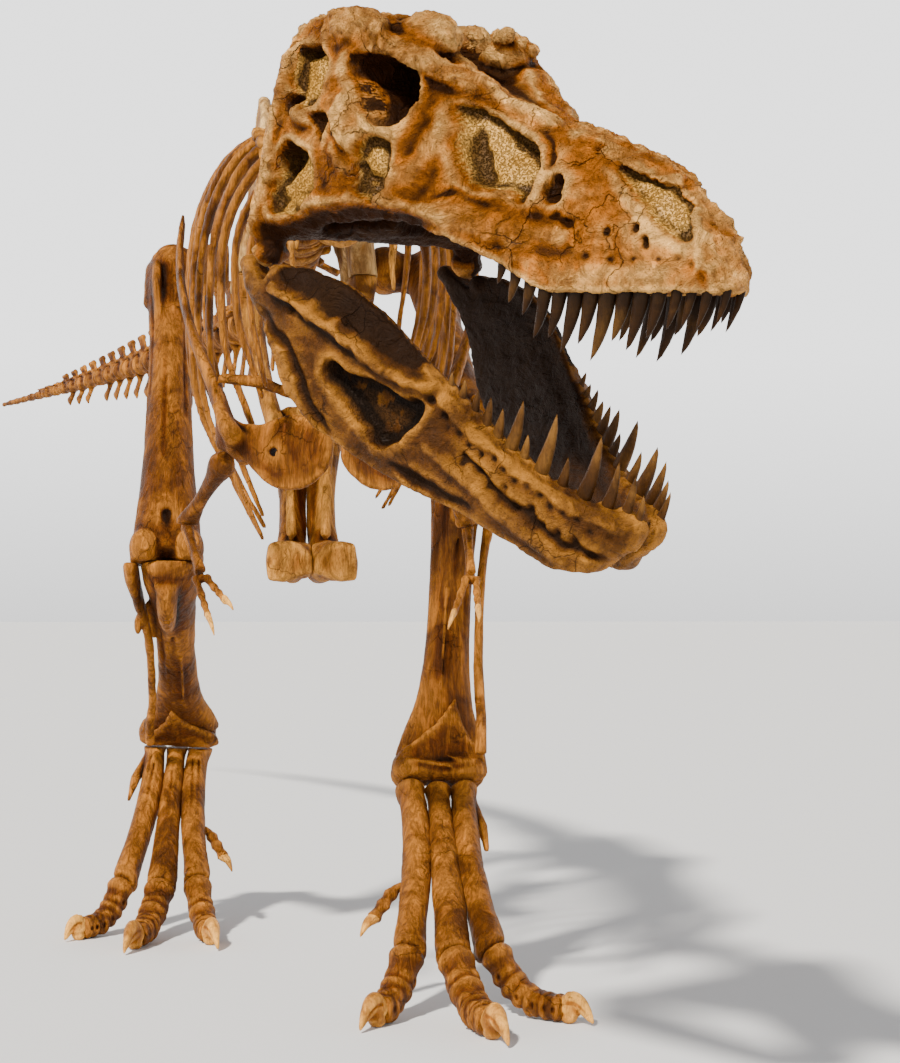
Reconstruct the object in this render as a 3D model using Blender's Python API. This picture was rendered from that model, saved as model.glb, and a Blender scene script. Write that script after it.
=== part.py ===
"""Mounted skeleton of Tyrannosaurus rex, life size, striding on its own two feet.

Units are metres.  +Z is up, the animal faces -Y and its own left side is +X.
Each bone, or group of bones that grow from one another, is one closed solid.
Neighbours are parted by a gap of GAP, so that none of them runs into another.
"""

import math

import bmesh
import bpy
from mathutils import Matrix, Vector

# ---------------------------------------------------------------- driving sizes
GAP = 0.0006            # air between two bones that meet
SHIFT_X = 0.474         # moves the finished animal so that it is centred on the origin
SHIFT_Y = -0.994
FLOOR_Z = 0.020         # height of the floor in the axes that the animal is drawn in

SKULL_LENGTH = 1.206    # premaxilla to the back of the quadrate
SKULL_YAW = 36.5        # degrees, the head looks to the animal's left
SKULL_PITCH = 13.8      # degrees, nose down
SKULL_ROLL = -4.2
JAW_OPEN = 25.0         # degrees
JAW_HINGE = Vector((0.036, -2.927, 2.108))
UNIT = SKULL_LENGTH / 100.0     # the skull is drawn in hundredths of its length
HINGE_Y = 94.0          # of the jaw hinge in the skull's own units
HINGE_Z = -4.0

HIP_SPREAD = 0.505      # from the midline to the femur's shaft
SOCKET_X = 0.285        # plane of the hip socket
KNEE_CUT = -0.010       # where the thigh bone ends, along the leg from the knee point
ILIUM_X = 0.140         # inner plane of the hip blade

DORSALS = 13
SACRALS = 5
CERVICALS = 9
CAUDALS = 36
RIBS = 12
LEFT_RIBS_SHORTER = 0.10
TAIL_LENGTHS = 4


# ---------------------------------------------------------------- small helpers
def clear_scene():
    """Remove everything that Blender starts with."""
    for item in list(bpy.data.objects):
        bpy.data.objects.remove(item, do_unlink=True)
    for mesh in list(bpy.data.meshes):
        bpy.data.meshes.remove(mesh)


def make_material(name, colour, roughness):
    """One plain Principled material."""
    material = bpy.data.materials.new(name)
    material.use_nodes = True
    shader = material.node_tree.nodes["Principled BSDF"]
    shader.inputs["Base Color"].default_value = (*colour, 1.0)
    shader.inputs["Roughness"].default_value = roughness
    material.diffuse_color = (*colour, 1.0)
    return material


def mix(a, b, t):
    """Straight blend of two numbers or vectors."""
    return a * (1.0 - t) + b * t


def profile(table, t):
    """Read a table of (place, value, value, ...) rows at the place t."""
    if t <= table[0][0]:
        return table[0][1:]
    for low, high in zip(table, table[1:]):
        if t <= high[0]:
            share = (t - low[0]) / (high[0] - low[0])
            return tuple(mix(a, b, share) for a, b in zip(low[1:], high[1:]))
    return table[-1][1:]


def solid(vertices, faces):
    """A closed mesh with its faces turned outward."""
    work = bmesh.new()
    made = [work.verts.new(v) for v in vertices]
    for face in faces:
        work.faces.new([made[i] for i in face])
    bmesh.ops.recalc_face_normals(work, faces=work.faces)
    if work.calc_volume(signed=True) < 0:
        bmesh.ops.reverse_faces(work, faces=work.faces)
    return work


def tube(stations, side, corners=8, turn=0.5):
    """Loft of rings along a path.

    Each station is (centre, half size along side, half size across it), and a size of
    zero closes the loft in a point.
    """
    side = Vector(side)
    centres = [Vector(s[0]) for s in stations]
    vertices = []
    rings = []
    for k, (centre, half_a, half_b) in enumerate(stations):
        before = centres[max(k - 1, 0)]
        after = centres[min(k + 1, len(centres) - 1)]
        along = (after - before).normalized()
        a = (side - along * side.dot(along)).normalized()
        b = along.cross(a)
        if half_a <= 0.0:
            rings.append([len(vertices)])
            vertices.append(Vector(centre))
            continue
        ring = []
        for j in range(corners):
            angle = 2.0 * math.pi * (j + turn) / corners
            ring.append(len(vertices))
            vertices.append(Vector(centre) + a * (half_a * math.cos(angle)) + b * (half_b * math.sin(angle)))
        rings.append(ring)
    faces = []
    if len(rings[0]) > 1:
        faces.append(rings[0][::-1])
    if len(rings[-1]) > 1:
        faces.append(rings[-1])
    for low, high in zip(rings, rings[1:]):
        for j in range(corners):
            n = (j + 1) % corners
            if len(low) == 1:
                faces.append((low[0], high[j], high[n]))
            elif len(high) == 1:
                faces.append((low[j], low[n], high[0]))
            else:
                faces.append((low[j], low[n], high[n], high[j]))
    return solid(vertices, faces)


def bar(start, end, side, half_a, half_b, end_a=None, end_b=None):
    """Four-sided bar from start to end, with its faces square to side."""
    end_a = half_a if end_a is None else end_a
    end_b = half_b if end_b is None else end_b
    root = math.sqrt(2.0)
    rows = [(start, half_a * root, half_b * root), (end, end_a * root, end_b * root)]
    return tube(rows, side, corners=4)


def plate(outline, axis_a, axis_b, origin, normal, half):
    """Flat plate: an outline of (a, b) points, thickened by half to both sides of normal."""
    origin = Vector(origin)
    axis_a = Vector(axis_a)
    axis_b = Vector(axis_b)
    normal = Vector(normal)
    front = []
    back = []
    for a, b in outline:
        spot = origin + axis_a * a + axis_b * b
        front.append(spot + normal * half)
        back.append(spot - normal * half)
    count = len(outline)
    faces = [tuple(range(count)), tuple(range(2 * count - 1, count - 1, -1))]
    for j in range(count):
        n = (j + 1) % count
        faces.append((j, n, count + n, count + j))
    return solid(front + back, faces)


def ball(centre, radius, scale=(1.0, 1.0, 1.0), turn=None, rings=5, segments=8):
    """Low ball, squashed by scale."""
    work = bmesh.new()
    matrix = Matrix.Translation(Vector(centre))
    if turn is not None:
        matrix = matrix @ turn.to_4x4()
    matrix = matrix @ Matrix.Diagonal((*scale, 1.0))
    bmesh.ops.create_uvsphere(work, u_segments=segments, v_segments=rings, radius=radius, matrix=matrix)
    return work


def to_object(name, work):
    """Turn a bmesh into an object of the scene."""
    mesh = bpy.data.meshes.new(name)
    work.to_mesh(mesh)
    work.free()
    item = bpy.data.objects.new(name, mesh)
    bpy.context.collection.objects.link(item)
    return item


def settle(item):
    """Apply the modifiers of an object."""
    graph = bpy.context.evaluated_depsgraph_get()
    mesh = bpy.data.meshes.new_from_object(item.evaluated_get(graph))
    item.modifiers.clear()
    old = item.data
    item.data = mesh
    bpy.data.meshes.remove(old)


def clean(item):
    """Weld the slivers that a Boolean can leave where two faces nearly touch."""
    work = bmesh.new()
    work.from_mesh(item.data)
    bmesh.ops.remove_doubles(work, verts=work.verts, dist=2e-5)
    bmesh.ops.dissolve_degenerate(work, edges=work.edges, dist=2e-5)
    work.to_mesh(item.data)
    work.free()


def combine(item, works, operation):
    """Boolean of one object with several solids."""
    for k, work in enumerate(works):
        helper = to_object(f"{item.name}_helper_{k}", work)
        helper.hide_render = True
        helper.display_type = "WIRE"
        step = item.modifiers.new("step", "BOOLEAN")
        step.operation = operation
        step.solver = "EXACT"
        step.object = helper
        settle(item)
        bpy.data.objects.remove(helper, do_unlink=True)
        clean(item)


def unite(name, works):
    """One closed solid from several that run into each other."""
    item = to_object(name, works[0])
    combine(item, works[1:], "UNION")
    return item


def carve(item, works):
    """Take solids away from an object."""
    combine(item, works, "DIFFERENCE")


def slice_off(item, point, normal):
    """Cut the object with a plane and drop what lies on the normal's side."""
    work = bmesh.new()
    work.from_mesh(item.data)
    everything = work.verts[:] + work.edges[:] + work.faces[:]
    bmesh.ops.bisect_plane(
        work, geom=everything, dist=1e-6, plane_co=Vector(point), plane_no=Vector(normal), clear_outer=True)
    rim = [edge for edge in work.edges if edge.is_boundary]
    if rim:
        bmesh.ops.holes_fill(work, edges=rim, sides=0)
    bmesh.ops.recalc_face_normals(work, faces=work.faces)
    if work.calc_volume(signed=True) < 0:
        bmesh.ops.reverse_faces(work, faces=work.faces)
    work.to_mesh(item.data)
    work.free()


def smooth_path(points):
    """Catmull-Rom curve through the points, with the length travelled at each of its steps."""
    points = [Vector(p) for p in points]
    ends = [points[0] * 2 - points[1]] + points + [points[-1] * 2 - points[-2]]
    fine = []
    for k in range(1, len(ends) - 2):
        for step in range(16):
            t = step / 16.0
            p0, p1, p2, p3 = ends[k - 1:k + 3]
            fine.append(0.5 * (2 * p1 + (p2 - p0) * t + (2 * p0 - 5 * p1 + 4 * p2 - p3) * t * t
                               + (3 * p1 - 3 * p2 + p3 - p0) * t ** 3))
    fine.append(points[-1])
    travelled = [0.0]
    for a, b in zip(fine, fine[1:]):
        travelled.append(travelled[-1] + (b - a).length)
    return fine, travelled


def at_length(curve, length):
    """Point of a smooth_path at a length from its start."""
    fine, travelled = curve
    for k in range(1, len(fine)):
        if travelled[k] >= length:
            share = (length - travelled[k - 1]) / (travelled[k] - travelled[k - 1])
            return fine[k - 1].lerp(fine[k], share)
    return fine[-1].copy()


# ---------------------------------------------------------------- skull
def euler_frame(yaw, pitch, roll):
    """Turn of the head, from its own axes to the animal's."""
    turn = Matrix.Rotation(math.radians(yaw), 3, "Z")
    turn = turn @ Matrix.Rotation(math.radians(pitch), 3, "X")
    return turn @ Matrix.Rotation(math.radians(roll), 3, "Y")


HEAD = euler_frame(SKULL_YAW, SKULL_PITCH, SKULL_ROLL)
JAW = HEAD @ Matrix.Rotation(math.radians(JAW_OPEN), 3, "X")


def head_spot(x, y, z):
    """Skull units to metres in the animal's axes."""
    return JAW_HINGE + HEAD @ (Vector((x, y - HINGE_Y, z - HINGE_Z)) * UNIT)


def jaw_spot(x, y, z):
    """Mandible units, from the hinge, to metres in the animal's axes."""
    return JAW_HINGE + JAW @ (Vector((x, y, z)) * UNIT)


# place from the snout, height of the gum line, roof height, half widths of gum, cheek and roof
SKULL_ROWS = (
    (-3.2, 3.8, 6.6, 1.6, 1.8, 1.0),
    (-1.8, 3.0, 8.8, 4.0, 4.0, 2.0),
    (0.6, 2.9, 12.2, 6.2, 6.2, 3.0),
    (4.5, 2.5, 16.6, 7.9, 7.6, 3.4),
    (13.0, 1.4, 22.2, 9.8, 9.0, 3.8),
    (22.0, 0.2, 25.8, 11.8, 10.2, 4.2),
    (32.0, -0.9, 28.2, 13.8, 11.8, 4.6),
    (41.0, 3.2, 30.1, 16.8, 14.2, 5.0),
    (50.0, 6.2, 32.6, 21.0, 17.8, 5.8),
    (58.0, 7.8, 36.8, 25.4, 22.0, 7.8),
    (66.0, 8.0, 42.2, 28.8, 25.6, 11.5),
    (76.0, 5.8, 46.2, 30.9, 28.8, 18.2),
    (86.0, 2.4, 46.6, 31.6, 30.0, 23.5),
    (93.5, 1.2, 42.6, 31.4, 29.6, 24.5),
    (97.0, 1.6, 34.0, 30.6, 28.6, 25.0),
)


def skull_width(y, z):
    """Half width of the cranium at a place and height."""
    low, top, gum, cheek, roof = profile(SKULL_ROWS, y)
    share = (z - low) / (top - low)
    return profile(((0.0, gum), (0.45, cheek), (0.82, mix(cheek, roof, 0.45)), (1.0, roof)), share)[0]


def skull_shell():
    """The cranium as one loft of ten-sided rings."""
    vertices = []
    for y, low, top, gum, cheek, roof in SKULL_ROWS:
        height = top - low
        half = (
            (gum * 0.93, low),
            (gum, low + 0.08 * height),
            (cheek, low + 0.45 * height),
            (mix(cheek, roof, 0.45), low + 0.82 * height),
            (roof, top - 0.01 * height),
        )
        ring = [(x, z) for x, z in half] + [(-x, z) for x, z in half[::-1]]
        for x, z in ring:
            vertices.append(head_spot(x, y, z))
    count = 10
    faces = [tuple(range(count)), tuple(range(len(vertices) - 1, len(vertices) - count - 1, -1))]
    for k in range(len(SKULL_ROWS) - 1):
        for j in range(count):
            n = (j + 1) % count
            faces.append((k * count + j, k * count + n, (k + 1) * count + n, (k + 1) * count + j))
    return solid(vertices, faces)


def window(side, outline, depth):
    """Cutter for an opening in the cheek: an outline of (y, z), sunk by depth from the surface."""
    near = []
    far = []
    for y, z in outline:
        width = skull_width(y, z)
        near.append(head_spot(side * (width - depth), y, z))
        far.append(head_spot(side * (width + 14.0), y, z))
    count = len(outline)
    faces = [tuple(range(count)), tuple(range(2 * count - 1, count - 1, -1))]
    for j in range(count):
        n = (j + 1) % count
        faces.append((j, n, count + n, count + j))
    return solid(near + far, faces)


def rounded_outline(centre, half_y, half_z, corners, lean=0.0, power=2.0):
    """Oval (y, z) outline that leans backward with height."""
    rows = []
    for k in range(corners):
        angle = 2.0 * math.pi * (k + 0.5) / corners
        c = math.cos(angle)
        s = math.sin(angle)
        y = half_y * math.copysign(abs(c) ** (2.0 / power), c)
        z = half_z * math.copysign(abs(s) ** (2.0 / power), s)
        rows.append((centre[0] + y + lean * z, centre[1] + z))
    return rows


WINDOWS = (
    # opening: centre, half length, half height, corners, lean, squareness, depth
    ("naris", (11.5, 17.0), 3.8, 6.0, 7, 1.05, 2.2, 1.6),
    ("antorbital", (46.5, 20.2), 7.8, 9.4, 8, 0.36, 2.5, 3.4),
    ("promaxillary", (32.6, 17.2), 1.9, 3.4, 5, 0.10, 2.0, 2.6),
    ("orbit", (69.0, 31.6), 6.2, 6.6, 7, 0.25, 2.3, 10.0),
    ("orbit_slot", (64.6, 19.5), 2.7, 7.5, 6, 0.20, 2.4, 3.0),
    ("lateral_temporal_low", (82.5, 15.5), 5.8, 7.6, 6, 0.12, 2.6, 4.0),
    ("lateral_temporal_high", (86.85, 31.15), 5.55, 5.05, 6, 0.10, 2.6, 4.0),
)


def tooth(root, tip, girth, bend):
    """Curved tooth: three rings and a point."""
    root = Vector(root)
    tip = Vector(tip)
    rows = []
    for t, size in ((0.0, 1.0), (0.55, 0.80)):
        centre = root.lerp(tip, t) - bend * (math.sin(math.pi * t) * 0.10 * (tip - root).length)
        rows.append((centre, girth * size, girth * size * 0.72))
    rows.append((tip, 0.0, 0.0))
    return tube(rows, bend, corners=4)


def upper_teeth(side):
    """Four small front teeth and eleven large ones in each upper jaw."""
    works = []
    for k in range(4):
        y = -2.6 + 2.5 * k
        low, top, gum, cheek, roof = profile(SKULL_ROWS, y)
        x = side * max(gum - 1.5, 1.9)
        root = head_spot(x, y + 0.8, low + 2.0)
        tip = head_spot(x * 0.98, y + 1.8, low - 6.4)
        works.append(tooth(root, tip, 1.05 * UNIT, HEAD @ Vector((0, -1, 0))))
    for k in range(11):
        y = 8.75 + 3.29 * k
        low, top, gum, cheek, roof = profile(SKULL_ROWS, y)
        length = (8.0, 9.8, 11.2, 11.6, 10.6, 10.0, 9.0, 8.0, 6.8, 5.4, 4.2)[k]
        x = side * (gum - 1.93)
        root = head_spot(x, y, low + 2.0)
        tip = head_spot(x * 0.97, y + 2.2, low - length)
        works.append(tooth(root, tip, (1.75 - 0.07 * k) * UNIT, HEAD @ Vector((0, -1, 0))))
    return works


def build_skull():
    """Cranium with its openings, palate, occiput and upper teeth."""
    skull = to_object("skull", skull_shell())
    cutters = []
    for side in (-1, 1):
        for name, centre, half_y, half_z, corners, lean, power, depth in WINDOWS:
            outline = rounded_outline(centre, half_y, half_z, corners, lean, power)
            cutters.append(window(side, outline, depth))
        # upper temporal opening
        cutters.append(tube(
            ((head_spot(side * 9.0, 82.0, 34.0), 5.6 * UNIT, 5.6 * UNIT),
             (head_spot(side * 11.0, 82.0, 50.0), 6.8 * UNIT, 6.6 * UNIT)), HEAD @ Vector((1, 0, 0)), 7))
        # chamber for the jaw muscles, open below
        cutters.append(tube(
            ((head_spot(side * 19.0, 77.0, 22.0), 4.5 * UNIT, 8.0 * UNIT),
             (head_spot(side * 20.0, 77.0, -14.0), 7.5 * UNIT, 13.0 * UNIT)), HEAD @ Vector((1, 0, 0)), 7))
    # vaulted palate between the tooth rows
    rows = []
    for y in (1.5, 13.0, 30.0, 46.0, 60.0):
        low, top, gum, cheek, roof = profile(SKULL_ROWS, y)
        rows.append((head_spot(0, y, low), (gum - 3.9) * UNIT, (6.0 + 0.06 * y) * UNIT))
    cutters.append(tube(rows, HEAD @ Vector((1, 0, 0)), 8, turn=0.0))
    # hollow behind the braincase, between the quadrates
    cutters.append(plate(
        ((88.0, -14.0), (90.0, 14.0), (89.0, 27.0), (92.0, 34.0), (104.0, 37.0), (104.0, -14.0)),
        HEAD @ Vector((0, UNIT, 0)), HEAD @ Vector((0, 0, UNIT)), head_spot(0, 0, 0),
        HEAD @ Vector((1, 0, 0)), 20.0 * UNIT))
    carve(skull, cutters)
    additions = []
    for side in (-1, 1):
        additions += upper_teeth(side)
        additions.append(ball(head_spot(side * 11.0, 69.5, 41.8), 3.9 * UNIT, (0.8, 1.3, 0.9), HEAD, 4, 6))
        additions.append(ball(head_spot(side * 20.0, 79.0, 43.2), 4.2 * UNIT, (0.8, 1.5, 0.8), HEAD, 4, 6))
        # quadrate foot over the jaw joint
        additions.append(bar(
            head_spot(side * 26.5, 94.5, 6.0), head_spot(side * 26.5, 94.0, -3.8), HEAD @ Vector((1, 0, 0)),
            3.6 * UNIT, 2.6 * UNIT, 4.2 * UNIT, 2.2 * UNIT))
    # occipital knob that the neck meets
    additions.append(tube(
        ((head_spot(0, 86.0, 21.0), 4.0 * UNIT, 4.0 * UNIT),
         (head_spot(0, 91.0, 21.0), 3.4 * UNIT, 3.4 * UNIT)),
        HEAD @ Vector((1, 0, 0)), 7))
    combine(skull, additions, "UNION")
    return [skull]


# place from the hinge, lower edge, upper edge, distance from the midline, half thickness
JAW_ROWS = (
    (6.0, -4.6, -1.6, 26.0, 1.6),
    (1.0, -5.8, -0.6, 26.5, 3.0),
    (-3.5, -7.0, 1.6, 26.6, 3.0),
    (-10.0, -10.2, 5.8, 26.2, 2.2),
    (-20.0, -17.2, 8.4, 24.8, 2.0),
    (-30.0, -19.4, 8.6, 22.6, 2.0),
    (-40.0, -19.2, 6.6, 19.7, 2.2),
    (-50.0, -17.6, 4.0, 16.7, 2.5),
    (-62.0, -14.9, 1.4, 13.2, 2.7),
    (-74.0, -13.6, 0.6, 9.6, 2.9),
    (-83.0, -12.8, 1.8, 6.4, 3.0),
    (-88.5, -9.6, 3.6, 3.6, 2.8),
    (-92.0, -1.8, 3.2, 1.8, 1.6),
)


def build_mandible(side, name):
    """One half of the lower jaw with its teeth."""
    vertices = []
    for y, low, top, x, half in JAW_ROWS:
        middle = 0.5 * (low + top)
        ring = ((x - half * 0.5, low), (x + half * 0.6, low + 0.8), (x + half, middle),
                (x + half * 0.7, top - 1.0),
                (x - half * 0.2, top), (x - half * 0.8, top - 1.4), (x - half * 0.7, middle))
        for across, height in ring:
            vertices.append(jaw_spot(side * across, y, height))
    count = 7
    faces = [tuple(range(count)), tuple(range(len(vertices) - 1, len(vertices) - count - 1, -1))]
    for k in range(len(JAW_ROWS) - 1):
        for j in range(count):
            n = (j + 1) % count
            faces.append((k * count + j, k * count + n, (k + 1) * count + n, (k + 1) * count + j))
    item = to_object(name, solid(vertices, faces))
    works = []
    ordered = tuple(sorted(JAW_ROWS))
    for k in range(13):
        y = -90.0 + 3.45 * k
        low, top, x, half = profile(ordered, y)
        length = (4.6, 7.2, 10.2, 11.4, 10.8, 9.8, 8.8, 7.8, 6.8, 5.8, 5.0, 4.2, 3.4)[k]
        root = jaw_spot(side * max(x, 2.2), y, top - 2.0)
        tip = jaw_spot(side * (max(x, 2.2) + 0.8), y + 1.8, top + length)
        works.append(tooth(root, tip, (1.2 if k < 2 else 1.65 - 0.06 * k) * UNIT, JAW @ Vector((0, -1, 0))))
    combine(item, works, "UNION")
    # the halves meet at the chin
    slice_off(item, jaw_spot(side * 0.03, 0, 0), JAW @ Vector((-side, 0, 0)))
    # socket under the quadrate
    carve(item, [bar(
        jaw_spot(side * 26.5, 0.1, 12.0), jaw_spot(side * 26.5, 0.1, -1.20), JAW @ Vector((1, 0, 0)),
        5.4 * UNIT, 4.9 * UNIT, 5.4 * UNIT, 4.9 * UNIT)])
    return item


# ---------------------------------------------------------------- backbone
def spool(points, sizes, side=(1, 0, 0), corners=6):
    """Chain of vertebral bodies: wide at each joint and pinched between."""
    rows = []
    for k in range(len(points) - 1):
        a = points[k]
        b = points[k + 1]
        wide = sizes[k]
        if k == 0:
            rows.append((a, wide, wide))
        rows.append((a.lerp(b, 0.5), wide * 0.74, wide * 0.78))
        rows.append((b, sizes[k + 1], sizes[k + 1]))
    return tube(rows, side, corners, turn=0.0 if corners == 6 else 0.5)


# neck: from the first back vertebra up and forward to the skull
NECK = (
    Vector((0.0, -2.300, 2.350)), Vector((0.0, -2.430, 2.430)), Vector((0.005, -2.530, 2.535)),
    Vector((0.020, -2.640, 2.615)), Vector((0.045, -2.765, 2.640)), Vector((0.080, -2.880, 2.585)),
    Vector((0.110, -2.965, 2.500)), Vector((0.135, -3.010, 2.440)),
)
BACK = (
    Vector((0.0, 0.480, 2.780)), Vector((0.0, 0.0, 2.800)), Vector((0.0, -0.480, 2.790)),
    Vector((0.0, -1.000, 2.750)), Vector((0.0, -1.400, 2.685)), Vector((0.0, -1.800, 2.590)),
    Vector((0.0, -2.100, 2.475)), Vector((0.0, -2.300, 2.350)),
)
TAIL = (
    Vector((0.0, 0.480, 2.780)), Vector((-0.010, 1.000, 2.745)), Vector((-0.090, 1.900, 2.715)),
    Vector((-0.330, 2.900, 2.700)), Vector((-0.735, 3.950, 2.690)), Vector((-1.200, 4.950, 2.665)),
    Vector((-1.725, 5.870, 2.630)),
)


def chain_points(path, count, start, end):
    """Even joints between two places of a path."""
    curve = smooth_path(path)
    total = curve[1][-1]
    return [at_length(curve, total * mix(start, end, k / count)) for k in range(count + 1)]


def build_neck():
    """Neck in two lengths, with its broad processes and short ribs."""
    joints = chain_points(NECK, CERVICALS, 0.0, 1.0)
    lengths = []
    for name, first, last in (("neck_rear", 0, 5), ("neck_front", 5, CERVICALS)):
        part = [p.copy() for p in joints[first:last + 1]]
        along = (part[1] - part[0]).normalized()
        part[0] = part[0] + along * GAP
        sizes = [mix(0.088, 0.062, (first + k) / CERVICALS) for k in range(len(part))]
        works = [spool(part, sizes, corners=5)]
        for k in range(len(part) - 1):
            if first + k == CERVICALS - 1:
                continue
            middle = part[k].lerp(part[k + 1], 0.5)
            along = (part[k + 1] - part[k]).normalized()
            across = along.cross(Vector((0, 0, 1))).normalized()
            up = across.cross(along).normalized()
            share = (first + k + 0.5) / CERVICALS
            tall = profile(((0.0, 0.180), (0.7, 0.135), (0.9, 0.085)), share)[0]
            works.append(bar(middle, middle + up * tall, along, 0.030, 0.040, 0.024, 0.034))
            wing = profile(((0.0, 0.150), (0.7, 0.115), (0.9, 0.085)), share)[0]
            works.append(bar(middle - across * wing + up * 0.035, middle + across * wing + up * 0.035,
                             along, 0.034, 0.026))
            for side in (-1, 1):
                top = middle + across * (side * wing * 0.78) + up * 0.030
                tip = middle + across * (side * wing * 0.95) - up * mix(0.25, 0.10, share) - along * 0.05
                works.append(tube(((top, 0.024, 0.016), (tip, 0.010, 0.008)), along, 3))
        lengths.append(unite(name, works))
    # gap to the skull's knob and between the two lengths
    slice_off(lengths[1], head_spot(0, 91.2, 21.0), HEAD @ Vector((0, -1, 0)))
    carve(lengths[1], [plate(
        ((86.0, 26.0), (92.0, 33.8), (97.4, 35.1), (97.4, 52.0), (86.0, 52.0)),
        HEAD @ Vector((0, UNIT, 0)), HEAD @ Vector((0, 0, UNIT)), head_spot(0, 0, 0),
        HEAD @ Vector((1, 0, 0)), 30.0 * UNIT)])
    axis = (joints[6] - joints[4]).normalized()
    slice_off(lengths[0], joints[5] - axis * GAP * 0.5, axis)
    slice_off(lengths[1], joints[5] + axis * GAP * 0.5, -axis)
    return lengths


def rib_rows(index, side, spot):
    """Centres and sizes along one rib, from its head to its tip."""
    t = index / (RIBS - 1)
    width = profile(((0.0, 0.255), (0.18, 0.330), (0.40, 0.410), (0.62, 0.435), (0.85, 0.38), (1.0, 0.30)),
                    t)[0]
    reach = profile(((0.0, 0.50), (0.12, 0.62), (0.30, 1.10), (0.50, 1.18), (0.68, 1.06), (0.85, 0.74),
                     (1.0, 0.42)), t)[0]
    if side > 0:
        reach -= LEFT_RIBS_SHORTER * min(reach, 1.0)
    tuck = profile(((0.0, 0.80), (0.30, 0.52), (0.55, 0.42), (0.75, 0.72), (1.0, 0.95)), t)[0]
    sweep = profile(((0.0, 0.02), (0.3, 0.10), (0.7, 0.16), (1.0, 0.12)), t)[0]
    shape = (
        # share of width, share of reach downward, share of sweep
        (0.16, -0.030, 0.0), (0.44, -0.105, 0.0), (0.78, 0.010, 0.15),
        (0.98, 0.240, 0.55), (0.965, 0.600, 1.00), (mix(0.955, tuck, 0.55), 0.840, 0.85),
        (tuck, 1.000, 0.55),
    )
    rows = []
    for k, (across, down, back) in enumerate(shape):
        lift = down * reach if down > 0 else down
        centre = Vector((side * across * width, spot.y + back * sweep, spot.z - lift))
        size = profile(((0, 0.036), (2, 0.034), (3, 0.027), (5, 0.019), (6, 0.013)), k)[0]
        rows.append((centre, size * 1.25, size * 0.70))
    return rows


def build_trunk():
    """Back vertebrae and ribs, in a right and a left half that meet on the midline."""
    curve = smooth_path(BACK)
    total = curve[1][-1]
    start = 0.985
    spots = [at_length(curve, mix(start, total, k / DORSALS)) for k in range(DORSALS + 1)]
    sizes = [mix(0.098, 0.088, k / DORSALS) for k in range(DORSALS + 1)]
    halves = []
    for side, name in ((-1, "trunk_right"), (1, "trunk_left")):
        works = [spool(spots, sizes, corners=6)]
        for k in range(DORSALS):
            middle = spots[k].lerp(spots[k + 1], 0.5)
            along = (spots[k + 1] - spots[k]).normalized()
            up = Vector((1, 0, 0)).cross(along).normalized()
            if up.z < 0:
                up = -up
            t = k / (DORSALS - 1)
            tall = profile(((0.0, 0.43), (0.5, 0.42), (0.8, 0.36), (1.0, 0.29)), t)[0]
            works.append(bar(middle + up * 0.02, middle + up * tall - along * 0.02, along,
                             0.045, 0.030, 0.058, 0.020))
            if k > 1:
                rows = rib_rows(RIBS - k, side, middle)
                works.append(tube(rows, (0, 1, 0), corners=3, turn=0.0))
        item = unite(name, works)
        slice_off(item, (side * GAP * 0.5, 0, 0), (-side, 0, 0))
        axis = (NECK[1] - NECK[0]).normalized()
        slice_off(item, spots[-1] - axis * GAP, axis)
        axis = Vector((0, 1, 0))
        slice_off(item, spots[0] - axis * GAP * 0.5, axis)
        halves.append(item)
    return halves


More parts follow.
